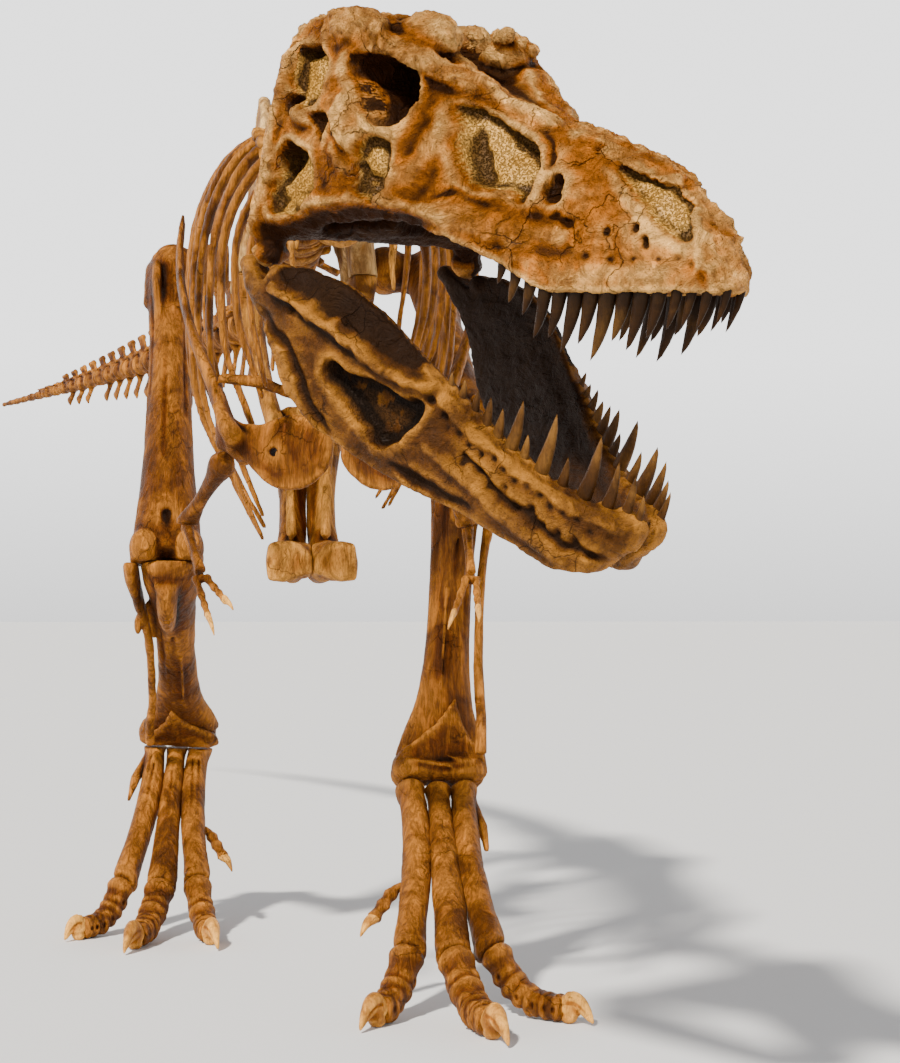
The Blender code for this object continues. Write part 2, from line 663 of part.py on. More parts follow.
def build_tail():
    """Tail in a few lengths, with spines above, wings at the root and chevrons below."""
    curve = smooth_path(TAIL)
    total = curve[1][-1]
    places = [0.0]
    for k in range(CAUDALS):
        places.append(places[-1] + profile(((0.0, 1.0), (0.5, 0.92), (1.0, 0.52)), k / (CAUDALS - 1))[0])
    places = [p / places[-1] * total for p in places]
    joints = [at_length(curve, p) for p in places]
    sizes = [profile(((0.0, 0.100), (0.3, 0.078), (0.6, 0.050), (0.85, 0.026), (1.0, 0.013)), k / CAUDALS)[0]
             for k in range(CAUDALS + 1)]
    cuts = (0, 7, 15, 24, CAUDALS)
    made = []
    for n in range(TAIL_LENGTHS):
        first = cuts[n]
        last = cuts[n + 1]
        part = joints[first:last + 1]
        works = [spool(part, [z * 1.15 for z in sizes[first:last + 1]], corners=4)]
        for k in range(first, last):
            t = k / (CAUDALS - 1)
            a = joints[k]
            b = joints[k + 1]
            middle = a.lerp(b, 0.5)
            along = (b - a).normalized()
            across = along.cross(Vector((0, 0, 1))).normalized()
            up = across.cross(along).normalized()
            gauge = (b - a).length
            tall = profile(((0.0, 0.36), (0.3, 0.27), (0.6, 0.145), (0.8, 0.075), (1.0, 0.0)), t)[0]
            if t < 0.80:
                works.append(bar(middle, middle + up * tall + along * gauge * 0.35, along,
                                 gauge * 0.27, 0.012 + 0.010 * (1 - t), gauge * 0.20,
                                 0.010 + 0.006 * (1 - t)))
            wing = 0.128 if b.y < 0.86 else profile(((0.0, 0.235), (0.25, 0.15), (0.30, 0.10)), t)[0]
            if t < 0.30:
                works.append(bar(middle - across * wing, middle + across * wing, along, gauge * 0.22, 0.016))
            drop = profile(((0.0, 0.30), (0.15, 0.33), (0.4, 0.24), (0.7, 0.12), (0.85, 0.07)), t)[0]
            if k > first and 0.03 < t < 0.80:
                works.append(tube(((a - up * sizes[k] * 0.5, 0.020 + 0.016 * (1 - t),
                                    0.016 + 0.012 * (1 - t)),
                                   (a - up * drop + along * gauge * 0.5, gauge * 0.30, 0.012)), along, 3))
        item = unite(f"tail_{n + 1}", works)
        if n:
            axis = (joints[first + 1] - joints[first - 1]).normalized()
            slice_off(item, joints[first] + axis * GAP * 0.5, -axis)
        else:
            slice_off(item, joints[0] + Vector((0, GAP * 0.5, 0)), (0, -1, 0))
        if n < TAIL_LENGTHS - 1:
            axis = (joints[last + 1] - joints[last - 1]).normalized()
            slice_off(item, joints[last] - axis * GAP * 0.5, axis)
        made.append(item)
    return made


# ---------------------------------------------------------------- hips
def build_sacrum():
    """Sacral vertebrae, their joined spines and the ribs that carry the hip blades."""
    ends = (Vector((0, -0.455, 2.790)), Vector((0, 0.480, 2.780)))
    joints = [ends[0].lerp(ends[1], k / SACRALS) for k in range(SACRALS + 1)]
    works = [spool(joints, [0.112, 0.116, 0.118, 0.118, 0.116, 0.114], corners=4)]
    for k in range(SACRALS):
        middle = joints[k].lerp(joints[k + 1], 0.5)
        works.append(bar(middle, middle + Vector((0, 0.01, 0.40)), (0, 1, 0), 0.075, 0.020, 0.088, 0.016))
        works.append(bar(middle + Vector((-0.2, 0, 0.02)), middle + Vector((0.2, 0, 0.02)), (0, 1, 0),
                         0.030, 0.070))
    sacrum = unite("sacrum", works)
    for side in (-1, 1):
        slice_off(sacrum, (side * (ILIUM_X - GAP), 0, 0), (side, 0, 0))
    start = chain_ends()
    slice_off(sacrum, (0, start + GAP * 0.5, 0), (0, -1, 0))
    slice_off(sacrum, (0, 0.480 - GAP * 0.5, 0), (0, 1, 0))
    return sacrum


def chain_ends():
    """Place along Y where the trunk's last vertebra meets the sacrum."""
    curve = smooth_path(BACK)
    return at_length(curve, 0.985).y


def build_hip(side, tag):
    """Blade, pubis and seat bone of one side."""
    outline = (
        (-0.80, 0.14), (-0.72, 0.30), (-0.45, 0.385), (0.0, 0.40), (0.45, 0.36), (0.74, 0.25), (0.80, 0.10),
        (0.55, -0.02), (0.34, -0.10), (0.26, -0.20), (0.13, -0.12), (-0.05, -0.11), (-0.16, -0.24),
        (-0.34, -0.20),
        (-0.36, -0.08), (-0.60, 0.00),
    )
    works = [plate(outline, (0, 1, 0), (side * -0.06, 0, 1), (side * 0.180, 0, 2.775), (side, 0, 0), 0.030)]
    works.append(bar((side * 0.20, -0.27, 2.72), (side * 0.225, -0.25, 2.53), (0, 1, 0), 0.085, 0.050,
                     0.085, 0.055))
    works.append(bar((side * 0.20, 0.21, 2.72), (side * 0.225, 0.20, 2.56), (0, 1, 0), 0.070, 0.050, 0.065,
                     0.055))
    works.append(bar((side * 0.20, -0.36, 2.66), (side * 0.205, 0.28, 2.70), (1, 0, 0), 0.045, 0.050))
    ilium = unite(f"ilium_{tag}", works)
    slice_off(ilium, (side * ILIUM_X, 0, 0), (-side, 0, 0))
    slice_off(ilium, (side * (SOCKET_X - GAP), 0, 0), (side, 0, 0))
    # pubis: shaft and its end boot
    shaft = tube(
        (((side * 0.225, -0.235, 2.56), 0.060, 0.095), ((side * 0.215, -0.250, 2.44), 0.050, 0.085),
         ((side * 0.155, -0.340, 2.10), 0.036, 0.055), ((side * 0.074, -0.450, 1.75), 0.040, 0.052),
         ((side * 0.058, -0.520, 1.50), 0.052, 0.070), ((side * 0.060, -0.540, 1.43), 0.055, 0.080)),
        (1, 0, 0), 6)
    boot = tube(
        (((side * 0.080, -0.845, 1.430), 0.058, 0.056), ((side * 0.078, -0.800, 1.425), 0.072, 0.070),
         ((side * 0.070, -0.620, 1.435), 0.068, 0.080), ((side * 0.052, -0.450, 1.430), 0.055, 0.078),
         ((side * 0.040, -0.300, 1.420), 0.042, 0.062), ((side * 0.030, -0.230, 1.415), 0.022, 0.036)),
        (1, 0, 0), 6)
    apron = plate(((-0.40, 1.95), (-0.52, 1.46), (-0.46, 1.46), (-0.35, 1.98)), (0, 1, 0), (0, 0, 1),
                  (side * 0.055, 0, 0), (side, 0, 0), 0.056)
    pubis = unite(f"pubis_{tag}", [shaft, boot, apron])
    slice_off(pubis, (side * GAP * 0.5, 0, 0), (-side, 0, 0))
    slice_off(pubis, (side * (SOCKET_X - GAP), 0, 0), (side, 0, 0))
    slice_off(pubis, (0, 0, 2.53 - GAP * 0.5), (0, 0, 1))
    slice_off(ilium, (0, 0, 2.53 + GAP * 0.5), (0, 0, -1))
    # seat bone
    shaft = tube(
        (((side * 0.225, 0.205, 2.58), 0.055, 0.075), ((side * 0.215, 0.235, 2.45), 0.042, 0.075),
         ((side * 0.150, 0.480, 2.22), 0.022, 0.042), ((side * 0.070, 0.800, 1.95), 0.020, 0.030),
         ((side * 0.028, 1.020, 1.76), 0.026, 0.036)),
        (1, 0, 0), 7)
    ischium = unite(f"ischium_{tag}", [shaft])
    slice_off(ischium, (side * GAP * 0.5, 0, 0), (-side, 0, 0))
    slice_off(ischium, (side * (SOCKET_X - GAP), 0, 0), (side, 0, 0))
    slice_off(ischium, (0, 0, 2.53 - GAP * 0.5), (0, 0, 1))
    return [ilium, pubis, ischium]


# ---------------------------------------------------------------- hind limbs
# joints of each leg: hip, knee, ankle, the three knuckles, the three claw tips, first toe's claw, splint
LEGS = {
    "right": {
        "hip": (-0.505, 0.000, 2.590), "knee": (-0.511, -0.519, 1.422), "ankle": (-0.480, 0.405, 0.721),
        "knuckles": ((-0.400, -0.005, 0.215), (-0.533, -0.031, 0.205), (-0.672, 0.030, 0.215)),
        "claws": ((-0.320, -0.507), (-0.655, -0.551), (-0.887, -0.235)),
        "hallux": (-0.262, 0.090, 0.235), "splint": (-0.672, 0.300, 0.500), "side": -1, "shin_shift": -0.016,
    },
    "left": {
        "hip": (0.505, 0.000, 2.590), "knee": (0.488, -1.043, 1.856), "ankle": (0.403, -1.175, 0.679),
        "knuckles": ((0.262, -1.655, 0.215), (0.391, -1.710, 0.205), (0.508, -1.672, 0.215)),
        "claws": ((0.086, -1.975), (0.488, -2.228), (0.785, -1.959)),
        "hallux": (0.116, -1.560, 0.240), "splint": (0.548, -1.330, 0.480), "side": 1, "shin_shift": 0.008,
    },
}


def leg_axes(leg):
    """Points and directions that the bones of one leg share."""
    hip = Vector(leg["hip"])
    knee = Vector(leg["knee"])
    ankle = Vector(leg["ankle"])
    foot = Vector(leg["knuckles"][1])
    thigh = (knee - hip).normalized()
    shin = (ankle - knee).normalized()
    sole = (foot - ankle).normalized()
    return hip, knee, ankle, foot, thigh, shin, sole


def build_thigh(leg, tag):
    """Femur: shaft, head turned in to the hip socket, trochanters and two condyles."""
    hip, knee, ankle, foot, thigh, shin, sole = leg_axes(leg)
    side = leg["side"]
    out = Vector((side, 0, 0))
    out = (out - thigh * out.dot(thigh)).normalized()
    fore = out.cross(thigh) * side
    if fore.y > 0:
        fore = -fore
    length = (knee - hip).length
    table = ((-0.055, 0.055, 0.070), (-0.02, 0.086, 0.100), (0.06, 0.098, 0.108), (0.20, 0.090, 0.098),
             (0.50, 0.082, 0.086), (0.75, 0.090, 0.092), (0.90, 0.122, 0.112), (1.04, 0.130, 0.112))
    rows = []
    for place, half_out, half_fore in table:
        bow = 0.035 * math.sin(math.pi * min(max(place, 0.0), 1.0))
        rows.append((hip + thigh * (place * length) + fore * bow, half_out, half_fore))
    works = [tube(rows, out, 8)]
    top = hip + thigh * 0.02
    works.append(tube(
        ((top, 0.085, 0.095), (hip + Vector((-side * 0.10, 0, 0.0)), 0.078, 0.082),
         (hip + Vector((-side * 0.17, 0, 0.01)), 0.100, 0.100),
         (hip + Vector((-side * 0.255, 0, 0.0)), 0.080, 0.080)),
        (0, 0, 1), 6))
    works.append(bar(hip + thigh * 0.06 + fore * 0.09 + out * 0.05,
                     hip + thigh * 0.24 + fore * 0.09 + out * 0.045,
                     out, 0.022, 0.040, 0.014, 0.020))
    for across in (-1, 1):
        centre = knee + out * (0.078 * across) - thigh * 0.045
        works.append(tube(
            ((centre + fore * 0.125, 0.040, 0.040), (centre + fore * 0.06, 0.062, 0.085),
             (centre - fore * 0.085, 0.062, 0.095), (centre - fore * 0.155, 0.040, 0.050)), out, 5))
    femur = unite(f"femur_{tag}", works)
    slice_off(femur, (side * SOCKET_X, 0, 0), (-side, 0, 0))
    plane = (thigh * 0.72 + shin * 0.28).normalized()
    slice_off(femur, knee + plane * (KNEE_CUT - GAP * 0.5), plane)
    return femur, plane


def build_shank(leg, tag, knee_plane):
    """Tibia with its crest, fibula, and the ankle block with its rising tongue."""
    hip, knee, ankle, foot, thigh, shin, sole = leg_axes(leg)
    side = leg["side"]
    out = Vector((side, 0, 0))
    out = (out - shin * out.dot(shin)).normalized()
    fore = out.cross(shin) * side
    if fore.y > 0:
        fore = -fore
    length = (ankle - knee).length
    inward = out * leg["shin_shift"]
    table = ((-0.03, 0.108, 0.120), (0.06, 0.112, 0.125), (0.18, 0.088, 0.098), (0.38, 0.074, 0.068),
             (0.62, 0.074, 0.062), (0.80, 0.098, 0.062), (0.90, 0.140, 0.068), (0.955, 0.158, 0.072),
             (1.04, 0.158, 0.070))
    rows = []
    for place, half_out, half_fore in table:
        rows.append((knee + shin * (place * length) + inward - fore * 0.02, half_out, half_fore))
    works = [tube(rows, out, 8)]
    works.append(tube(
        ((knee + shin * -0.02 + fore * 0.10, 0.045, 0.060), (knee + shin * 0.08 + fore * 0.14, 0.036, 0.070),
         (knee + shin * 0.22 + fore * 0.075, 0.026, 0.045),
         (knee + shin * 0.34 + fore * 0.03, 0.016, 0.020)), out, 6))
    tibia = unite(f"tibia_{tag}", works)
    slice_off(tibia, knee + knee_plane * (KNEE_CUT + GAP * 0.5), -knee_plane)
    low_plane = (shin * 0.75 + sole * 0.25).normalized()
    low_point = ankle - low_plane * 0.085
    slice_off(tibia, low_point - low_plane * GAP * 0.5, low_plane)
    # ankle block between the shin and the foot
    foot_plane = (shin * 0.45 + sole * 0.55).normalized()
    block = tube(
        ((ankle + out * 0.162 - shin * 0.04, 0.050, 0.058),
         (ankle + out * 0.146 - shin * 0.04, 0.076, 0.092),
         (ankle - shin * 0.04, 0.062, 0.068), (ankle - out * 0.148 - shin * 0.04, 0.074, 0.082),
         (ankle - out * 0.164 - shin * 0.04, 0.050, 0.056)), shin, 8)
    slice_low = ankle + foot_plane * 0.012
    astragalus = unite(f"astragalus_{tag}", [block])
    slice_off(astragalus, low_point + low_plane * GAP * 0.5, -low_plane)
    spot = ankle - shin * 0.08 + fore * 0.040 + inward
    tongue = ((-0.075, -0.03), (0.085, -0.03), (0.055, 0.11), (0.030, 0.19), (0.00, 0.11))
    grown = ((-0.0765, -0.03), (0.0865, -0.03), (0.0565, 0.1115), (0.030, 0.1920), (-0.0015, 0.1115))
    combine(astragalus, [plate(tongue, out, -shin, spot, fore, 0.018)], "UNION")
    slice_off(astragalus, slice_low - foot_plane * GAP * 0.5, foot_plane)
    carve(tibia, [plate(grown, out, -shin, spot, fore, 0.0188)])
    # fibula beside the tibia, from the knee to the ankle block
    table = (
        # place along the shin, outward, forward, half sizes
        (-0.03, 0.146, -0.02, 0.028, 0.085), (0.06, 0.146, -0.02, 0.028, 0.082),
        (0.19, 0.124, 0.00, 0.022, 0.045),
        (0.42, 0.098, 0.015, 0.017, 0.026), (0.66, 0.100, 0.050, 0.017, 0.022),
        (0.82, 0.118, 0.078, 0.018, 0.022),
        (1.00, 0.122, 0.096, 0.024, 0.020))
    rows = []
    for place, outward, forward, half_out, half_fore in table:
        centre = knee + shin * (place * length) + inward + out * outward + fore * forward
        rows.append((centre, half_out, half_fore))
    fibula = unite(f"fibula_{tag}", [tube(rows, out, 6)])
    slice_off(fibula, knee + knee_plane * (KNEE_CUT + GAP * 0.5), -knee_plane)
    slice_off(fibula, low_point - low_plane * GAP * 0.5, low_plane)
    return tibia, fibula, astragalus, slice_low, foot_plane


def toe_rows(start, tip, bones, gauge):
    """Knuckles and pinched shafts of a toe, then its claw, from the foot to the tip.

    The far knuckles rest on the floor and the claw's tip ends just above it.
    """
    start = Vector(start)
    ground = Vector((tip[0], tip[1] + 0.03, FLOOR_Z + 0.006))
    flat = Vector((ground.x - start.x, ground.y - start.y, 0.0))
    reach = flat.length
    heading = flat.normalized()
    claw = (0.36, 0.30, 0.26)[bones - 3]
    places = [0.0]
    for k in range(bones):
        places.append(places[-1] + (1.0 - 0.16 * k))
    places = [p / places[-1] * (1.0 - claw) for p in places]
    rows = []
    for k, place in enumerate(places):
        size = gauge * mix(1.0, 0.72, place)
        resting = FLOOR_Z + size * 0.95
        height = profile(((0.0, start.z), (0.20, mix(start.z, resting, 0.62)), (0.42, resting),
                          (1.0, resting)),
                         place)[0]
        centre = start + heading * (reach * place)
        centre.z = height
        if k:
            before = rows[-1][0]
            waist = before.lerp(centre, 0.5)
            rows.append((waist + Vector((0, 0, 0.012)), size * 0.72, size * 0.70))
        rows.append((centre, size, size * 1.02))
    base = rows[-1][0]
    span = reach * claw
    thick = rows[-1][1]
    for share, lift, size in ((0.22, 0.018, 0.95), (0.55, 0.012, 0.76), (0.84, -0.014, 0.42)):
        rows.append((Vector((base.x, base.y, base.z + lift)) + heading * (span * share), thick * size * 0.72,
                     thick * size * 0.94))
    rows.append((ground, 0.0, 0.0))
    return rows, heading


def build_foot(leg, tag, top_point, top_plane):
    """Three long foot bones, a splint, and four toes with their claws."""
    hip, knee, ankle, foot, thigh, shin, sole = leg_axes(leg)
    side = leg["side"]
    out = Vector((side, 0, 0))
    out = (out - sole * out.dot(sole)).normalized()
    made = []
    knuckles = [Vector(k) for k in leg["knuckles"]]
    lanes = (-0.090, 0.000, 0.084)
    halves_top = (0.045, 0.040, 0.040)
    deep_top = (0.080, 0.060, 0.078)
    widths = ((0.042, 0.043, 0.046, 0.052), (0.037, 0.040, 0.048, 0.056), (0.041, 0.041, 0.043, 0.050))
    names = ("second", "third", "fourth")
    toe_bones = (3, 4, 5)
    for k in range(3):
        top = ankle + out * lanes[k] - sole * 0.03
        end = knuckles[k]
        axis = (end - top).normalized()
        pull = out * (0.010, 0.0, -0.010)[k]
        near_top, mid, low, knuckle = widths[k]
        rows = (
            (top, halves_top[k], deep_top[k]),
            (top.lerp(end, 0.14), halves_top[k] * 0.96, deep_top[k] * 0.88),
            (top.lerp(end, 0.30) + pull * 0.8, near_top, 0.058), (top.lerp(end, 0.50) + pull, mid, 0.052),
            (top.lerp(end, 0.74) + pull * 0.6, low, 0.050), (top.lerp(end, 0.90), knuckle, 0.056),
            (end + axis * 0.01, knuckle, 0.060), (end + axis * 0.055, knuckle * 0.8, 0.044),
        )
        works = [tube(rows, out, 7, turn=0.5)]
        if k == 2:
            splint = Vector(leg["splint"])
            start = top.lerp(end, 0.14) + out * 0.012
            works.append(tube(
                ((start, 0.022, 0.030), (start.lerp(splint, 0.55) + out * 0.012, 0.018, 0.024),
                 (splint, 0.008, 0.010)), out, 5))
        bone = unite(f"metatarsal_{names[k]}_{tag}", works)
        slice_off(bone, top_point + top_plane * GAP * 0.5, -top_plane)
        rows, heading = toe_rows(end, leg["claws"][k], toe_bones[k], (0.058, 0.062, 0.054)[k])
        joint = (axis * 0.45 + heading * 0.55).normalized()
        spot = end + joint * 0.022
        slice_off(bone, spot - joint * GAP * 0.5, joint)
        first = rows[0]
        rows[0] = (first[0] - heading * 0.02, first[1] * 0.9, first[2] * 0.95)
        rows.insert(1, (end + heading * 0.03 + Vector((0, 0, -0.006)), first[1], first[2]))
        across = Vector((heading.y, -heading.x, 0))
        toe = unite(f"toe_{names[k]}_{tag}", [tube(rows, across, 6)])
        slice_off(toe, spot + joint * GAP * 0.5, -joint)
        slice_off(toe, (0, 0, FLOOR_Z), (0, 0, -1))
        made += [bone, toe]
    # first toe, behind and to the inside, clear of the floor
    tip = Vector(leg["hallux"])
    root = ankle.lerp(knuckles[0], 0.70) + out * (lanes[0] * 0.42 - 0.046) + Vector((0, 0.050, 0))
    rows = (
        (root, 0.022, 0.026), (root.lerp(tip, 0.22), 0.024, 0.026), (root.lerp(tip, 0.42), 0.019, 0.021),
        (root.lerp(tip, 0.55), 0.025, 0.027), (root.lerp(tip, 0.78) + Vector((0, 0, 0.012)), 0.015, 0.020),
        (tip, 0.0, 0.0),
    )
    made.append(unite(f"toe_first_{tag}", [tube(rows, (0, 0, 1), 5)]))
    return made


# ---------------------------------------------------------------- fore limbs
ARMS = {
    "right": {"side": -1, "elbow": (-0.430, -1.760, 1.520), "wrist": (-0.385, -1.890, 1.365),
              "tips": ((-0.290, -2.020, 1.262), (-0.345, -2.010, 1.190))},
    "left": {"side": 1, "elbow": (0.430, -1.760, 1.520), "wrist": (0.420, -1.900, 1.362),
             "tips": ((0.335, -2.035, 1.205), (0.425, -2.050, 1.225))},
}


def build_arm(arm, tag):
    """Shoulder blade with its coracoid, upper arm, forearm and two-fingered hand."""
    side = arm["side"]
    socket = Vector((side * 0.290, -2.015, 1.740))
    blade = tube(
        ((socket + Vector((side * -0.010, -0.045, 0.00)), 0.095, 0.034),
         (Vector((side * 0.330, -1.995, 1.860)), 0.060, 0.024),
         (Vector((side * 0.405, -1.900, 2.060)), 0.048, 0.018),
         (Vector((side * 0.448, -1.780, 2.250)), 0.056, 0.014),
         (Vector((side * 0.452, -1.680, 2.390)), 0.070, 0.012),
         (Vector((side * 0.446, -1.620, 2.455)), 0.062, 0.010)),
        (0, -1, 0), 6)
    face = Vector((side * 0.42, -0.86, 0.10)).normalized()
    flat = Vector((0, 0, 1)).cross(face).normalized()
    rise = face.cross(flat).normalized()
    outline = []
    for k in range(11):
        angle = 2.0 * math.pi * k / 11
        outline.append((0.128 * math.cos(angle), 0.112 * math.sin(angle)))
    disc = plate(outline, flat, rise, (side * 0.127, -2.112, 1.715), face, 0.017)
    neck = bar((side * 0.300, -2.030, 1.760), (side * 0.190, -2.085, 1.735), (0, 0, 1), 0.080, 0.030, 0.088,
               0.018)
    girdle = unite(f"scapula_{tag}", [blade, disc, neck])
    elbow = Vector(arm["elbow"])
    wrist = Vector(arm["wrist"])
    upper = (elbow - socket).normalized()
    start = socket + upper * 0.055 + Vector((side * 0.004, 0.010, -0.004))
    across = Vector((side, 0.3, 0))
    rows = ((start, 0.030, 0.034), (start + upper * 0.022, 0.042, 0.046),
            (start.lerp(elbow, 0.28), 0.028, 0.034),
            (start.lerp(elbow, 0.6), 0.021, 0.022), (start.lerp(elbow, 0.88), 0.032, 0.026),
            (elbow - upper * 0.004, 0.030, 0.024))
    works = [tube(rows, across, 7)]
    works.append(bar(start.lerp(elbow, 0.16) + Vector((0, -0.022, 0)),
                     start.lerp(elbow, 0.44) + Vector((0, -0.034, 0)),
                     across, 0.010, 0.018, 0.007, 0.008))
    humerus = unite(f"humerus_{tag}", works)
    lower = (wrist - elbow).normalized()
    bend = (upper * 0.5 + lower * 0.5).normalized()
    slice_off(humerus, elbow - bend * GAP * 0.5, bend)
    made = [girdle, humerus]
    lean = lower.cross(Vector((side, 0, 0))).normalized()
    for name, shift, size in (("ulna", -0.0185, 0.0165), ("radius", 0.0185, 0.0140)):
        offset = lean * shift
        rows = ((elbow + offset - lower * 0.008, size * 1.12, size * 1.05),
                (elbow + offset + lower * 0.03, size, size),
                (elbow.lerp(wrist, 0.5) + offset, size * 0.72, size * 0.72),
                (wrist + offset, size * 1.05, size * 1.0))
        bone = unite(f"{name}_{tag}", [tube(rows, across, 6)])
        slice_off(bone, elbow + bend * GAP * 0.5, -bend)
        slice_off(bone, wrist - lower * GAP * 0.5, lower)
        made.append(bone)
    works = [bar(wrist - lower * 0.004, wrist + lower * 0.024, across, 0.030, 0.022, 0.032, 0.018)]
    for k, tip in enumerate(arm["tips"]):
        tip = Vector(tip)
        root = wrist + lower * 0.012 + across.normalized() * (0.016 * (1 if k else -1))
        rows = ((root, 0.014, 0.014), (root.lerp(tip, 0.28), 0.0115, 0.012),
                (root.lerp(tip, 0.42), 0.014, 0.014),
                (root.lerp(tip, 0.60), 0.010, 0.010), (root.lerp(tip, 0.70), 0.013, 0.015),
                (root.lerp(tip, 0.87) + Vector((0, -0.006, 0.006)), 0.007, 0.010), (tip, 0.0, 0.0))
        works.append(tube(rows, across, 5))
    hand = unite(f"hand_{tag}", works)
    slice_off(hand, wrist + lower * GAP * 0.5, -lower)
    made.append(hand)
    return made


# ---------------------------------------------------------------- the whole animal
def build_all():
    """Build every bone, give it its material and centre the animal on the origin."""
    clear_scene()
    bone = make_material("fossil_bone", (0.36, 0.17, 0.06), 0.55)
    head = make_material("skull_bone", (0.55, 0.30, 0.12), 0.5)
    made = []
    heads = build_skull()
    heads.append(build_mandible(-1, "mandible_right"))
    heads.append(build_mandible(1, "mandible_left"))
    made += build_neck()
    made += build_trunk()
    made.append(build_sacrum())
    made += build_tail()
    for side, tag in ((-1, "right"), (1, "left")):
        made += build_hip(side, tag)
    for tag, leg in LEGS.items():
        femur, knee_plane = build_thigh(leg, tag)
        tibia, fibula, astragalus, point, plane = build_shank(leg, tag, knee_plane)
        made += [femur, tibia, fibula, astragalus]
        made += build_foot(leg, tag, point, plane)
    for tag, arm in ARMS.items():
        made += build_arm(arm, tag)
    for item in made:
        item.data.materials.clear()
        item.data.materials.append(bone)
    for item in heads:
        item.data.materials.clear()
        item.data.materials.append(head)
    for item in made + heads:
        item.data.transform(Matrix.Translation((SHIFT_X, SHIFT_Y, -FLOOR_Z)))
        for face in item.data.polygons:
            face.use_smooth = False
    return made + heads


build_all()
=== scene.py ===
# %% [markdown]
# # A great dinosaur skeleton, dressed bone by bone
#
# The fixed frame already holds every bone as a plain faceted solid. This lesson models the
# same bones again as a sculptor would, each in a block of voxels, and gives them the
# colours of mineralised bone. Lengths are in metres, +Z is up and the animal faces -Y.

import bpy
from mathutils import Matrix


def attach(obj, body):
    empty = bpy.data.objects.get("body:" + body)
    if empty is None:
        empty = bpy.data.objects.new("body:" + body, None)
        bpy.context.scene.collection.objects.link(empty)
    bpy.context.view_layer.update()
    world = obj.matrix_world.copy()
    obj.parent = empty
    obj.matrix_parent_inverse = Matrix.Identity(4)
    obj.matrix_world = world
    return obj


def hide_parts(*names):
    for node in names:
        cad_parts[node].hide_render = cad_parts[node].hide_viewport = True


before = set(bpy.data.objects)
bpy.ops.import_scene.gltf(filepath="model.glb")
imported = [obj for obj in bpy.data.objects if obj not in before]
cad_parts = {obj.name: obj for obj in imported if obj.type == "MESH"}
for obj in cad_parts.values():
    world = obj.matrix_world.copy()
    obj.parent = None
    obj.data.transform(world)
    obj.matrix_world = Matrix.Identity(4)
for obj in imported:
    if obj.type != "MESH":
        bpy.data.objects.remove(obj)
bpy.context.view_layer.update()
print("frame nodes:", len(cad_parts))

# %% Tools that the lesson needs
import itertools
import math

import bpy
import numpy as np
import openvdb
from mathutils import Matrix, Vector

SHIFT = np.array([0.474, -0.994, -0.020])   # from the axes the bones are drawn in to the row's axes
NODES = set(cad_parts)

# %% [markdown]
# ## The block of clay
#
# Bone has no flat faces and no sharp joins, so boxes and lofts look wrong however finely
# they are cut. A signed distance field suits it: a block of voxels stores how far each
# point is from the surface, and adding a knob is taking the smaller of two distances,
# softly, so that the knob grows out of the shaft. The surface is pulled out at the end.

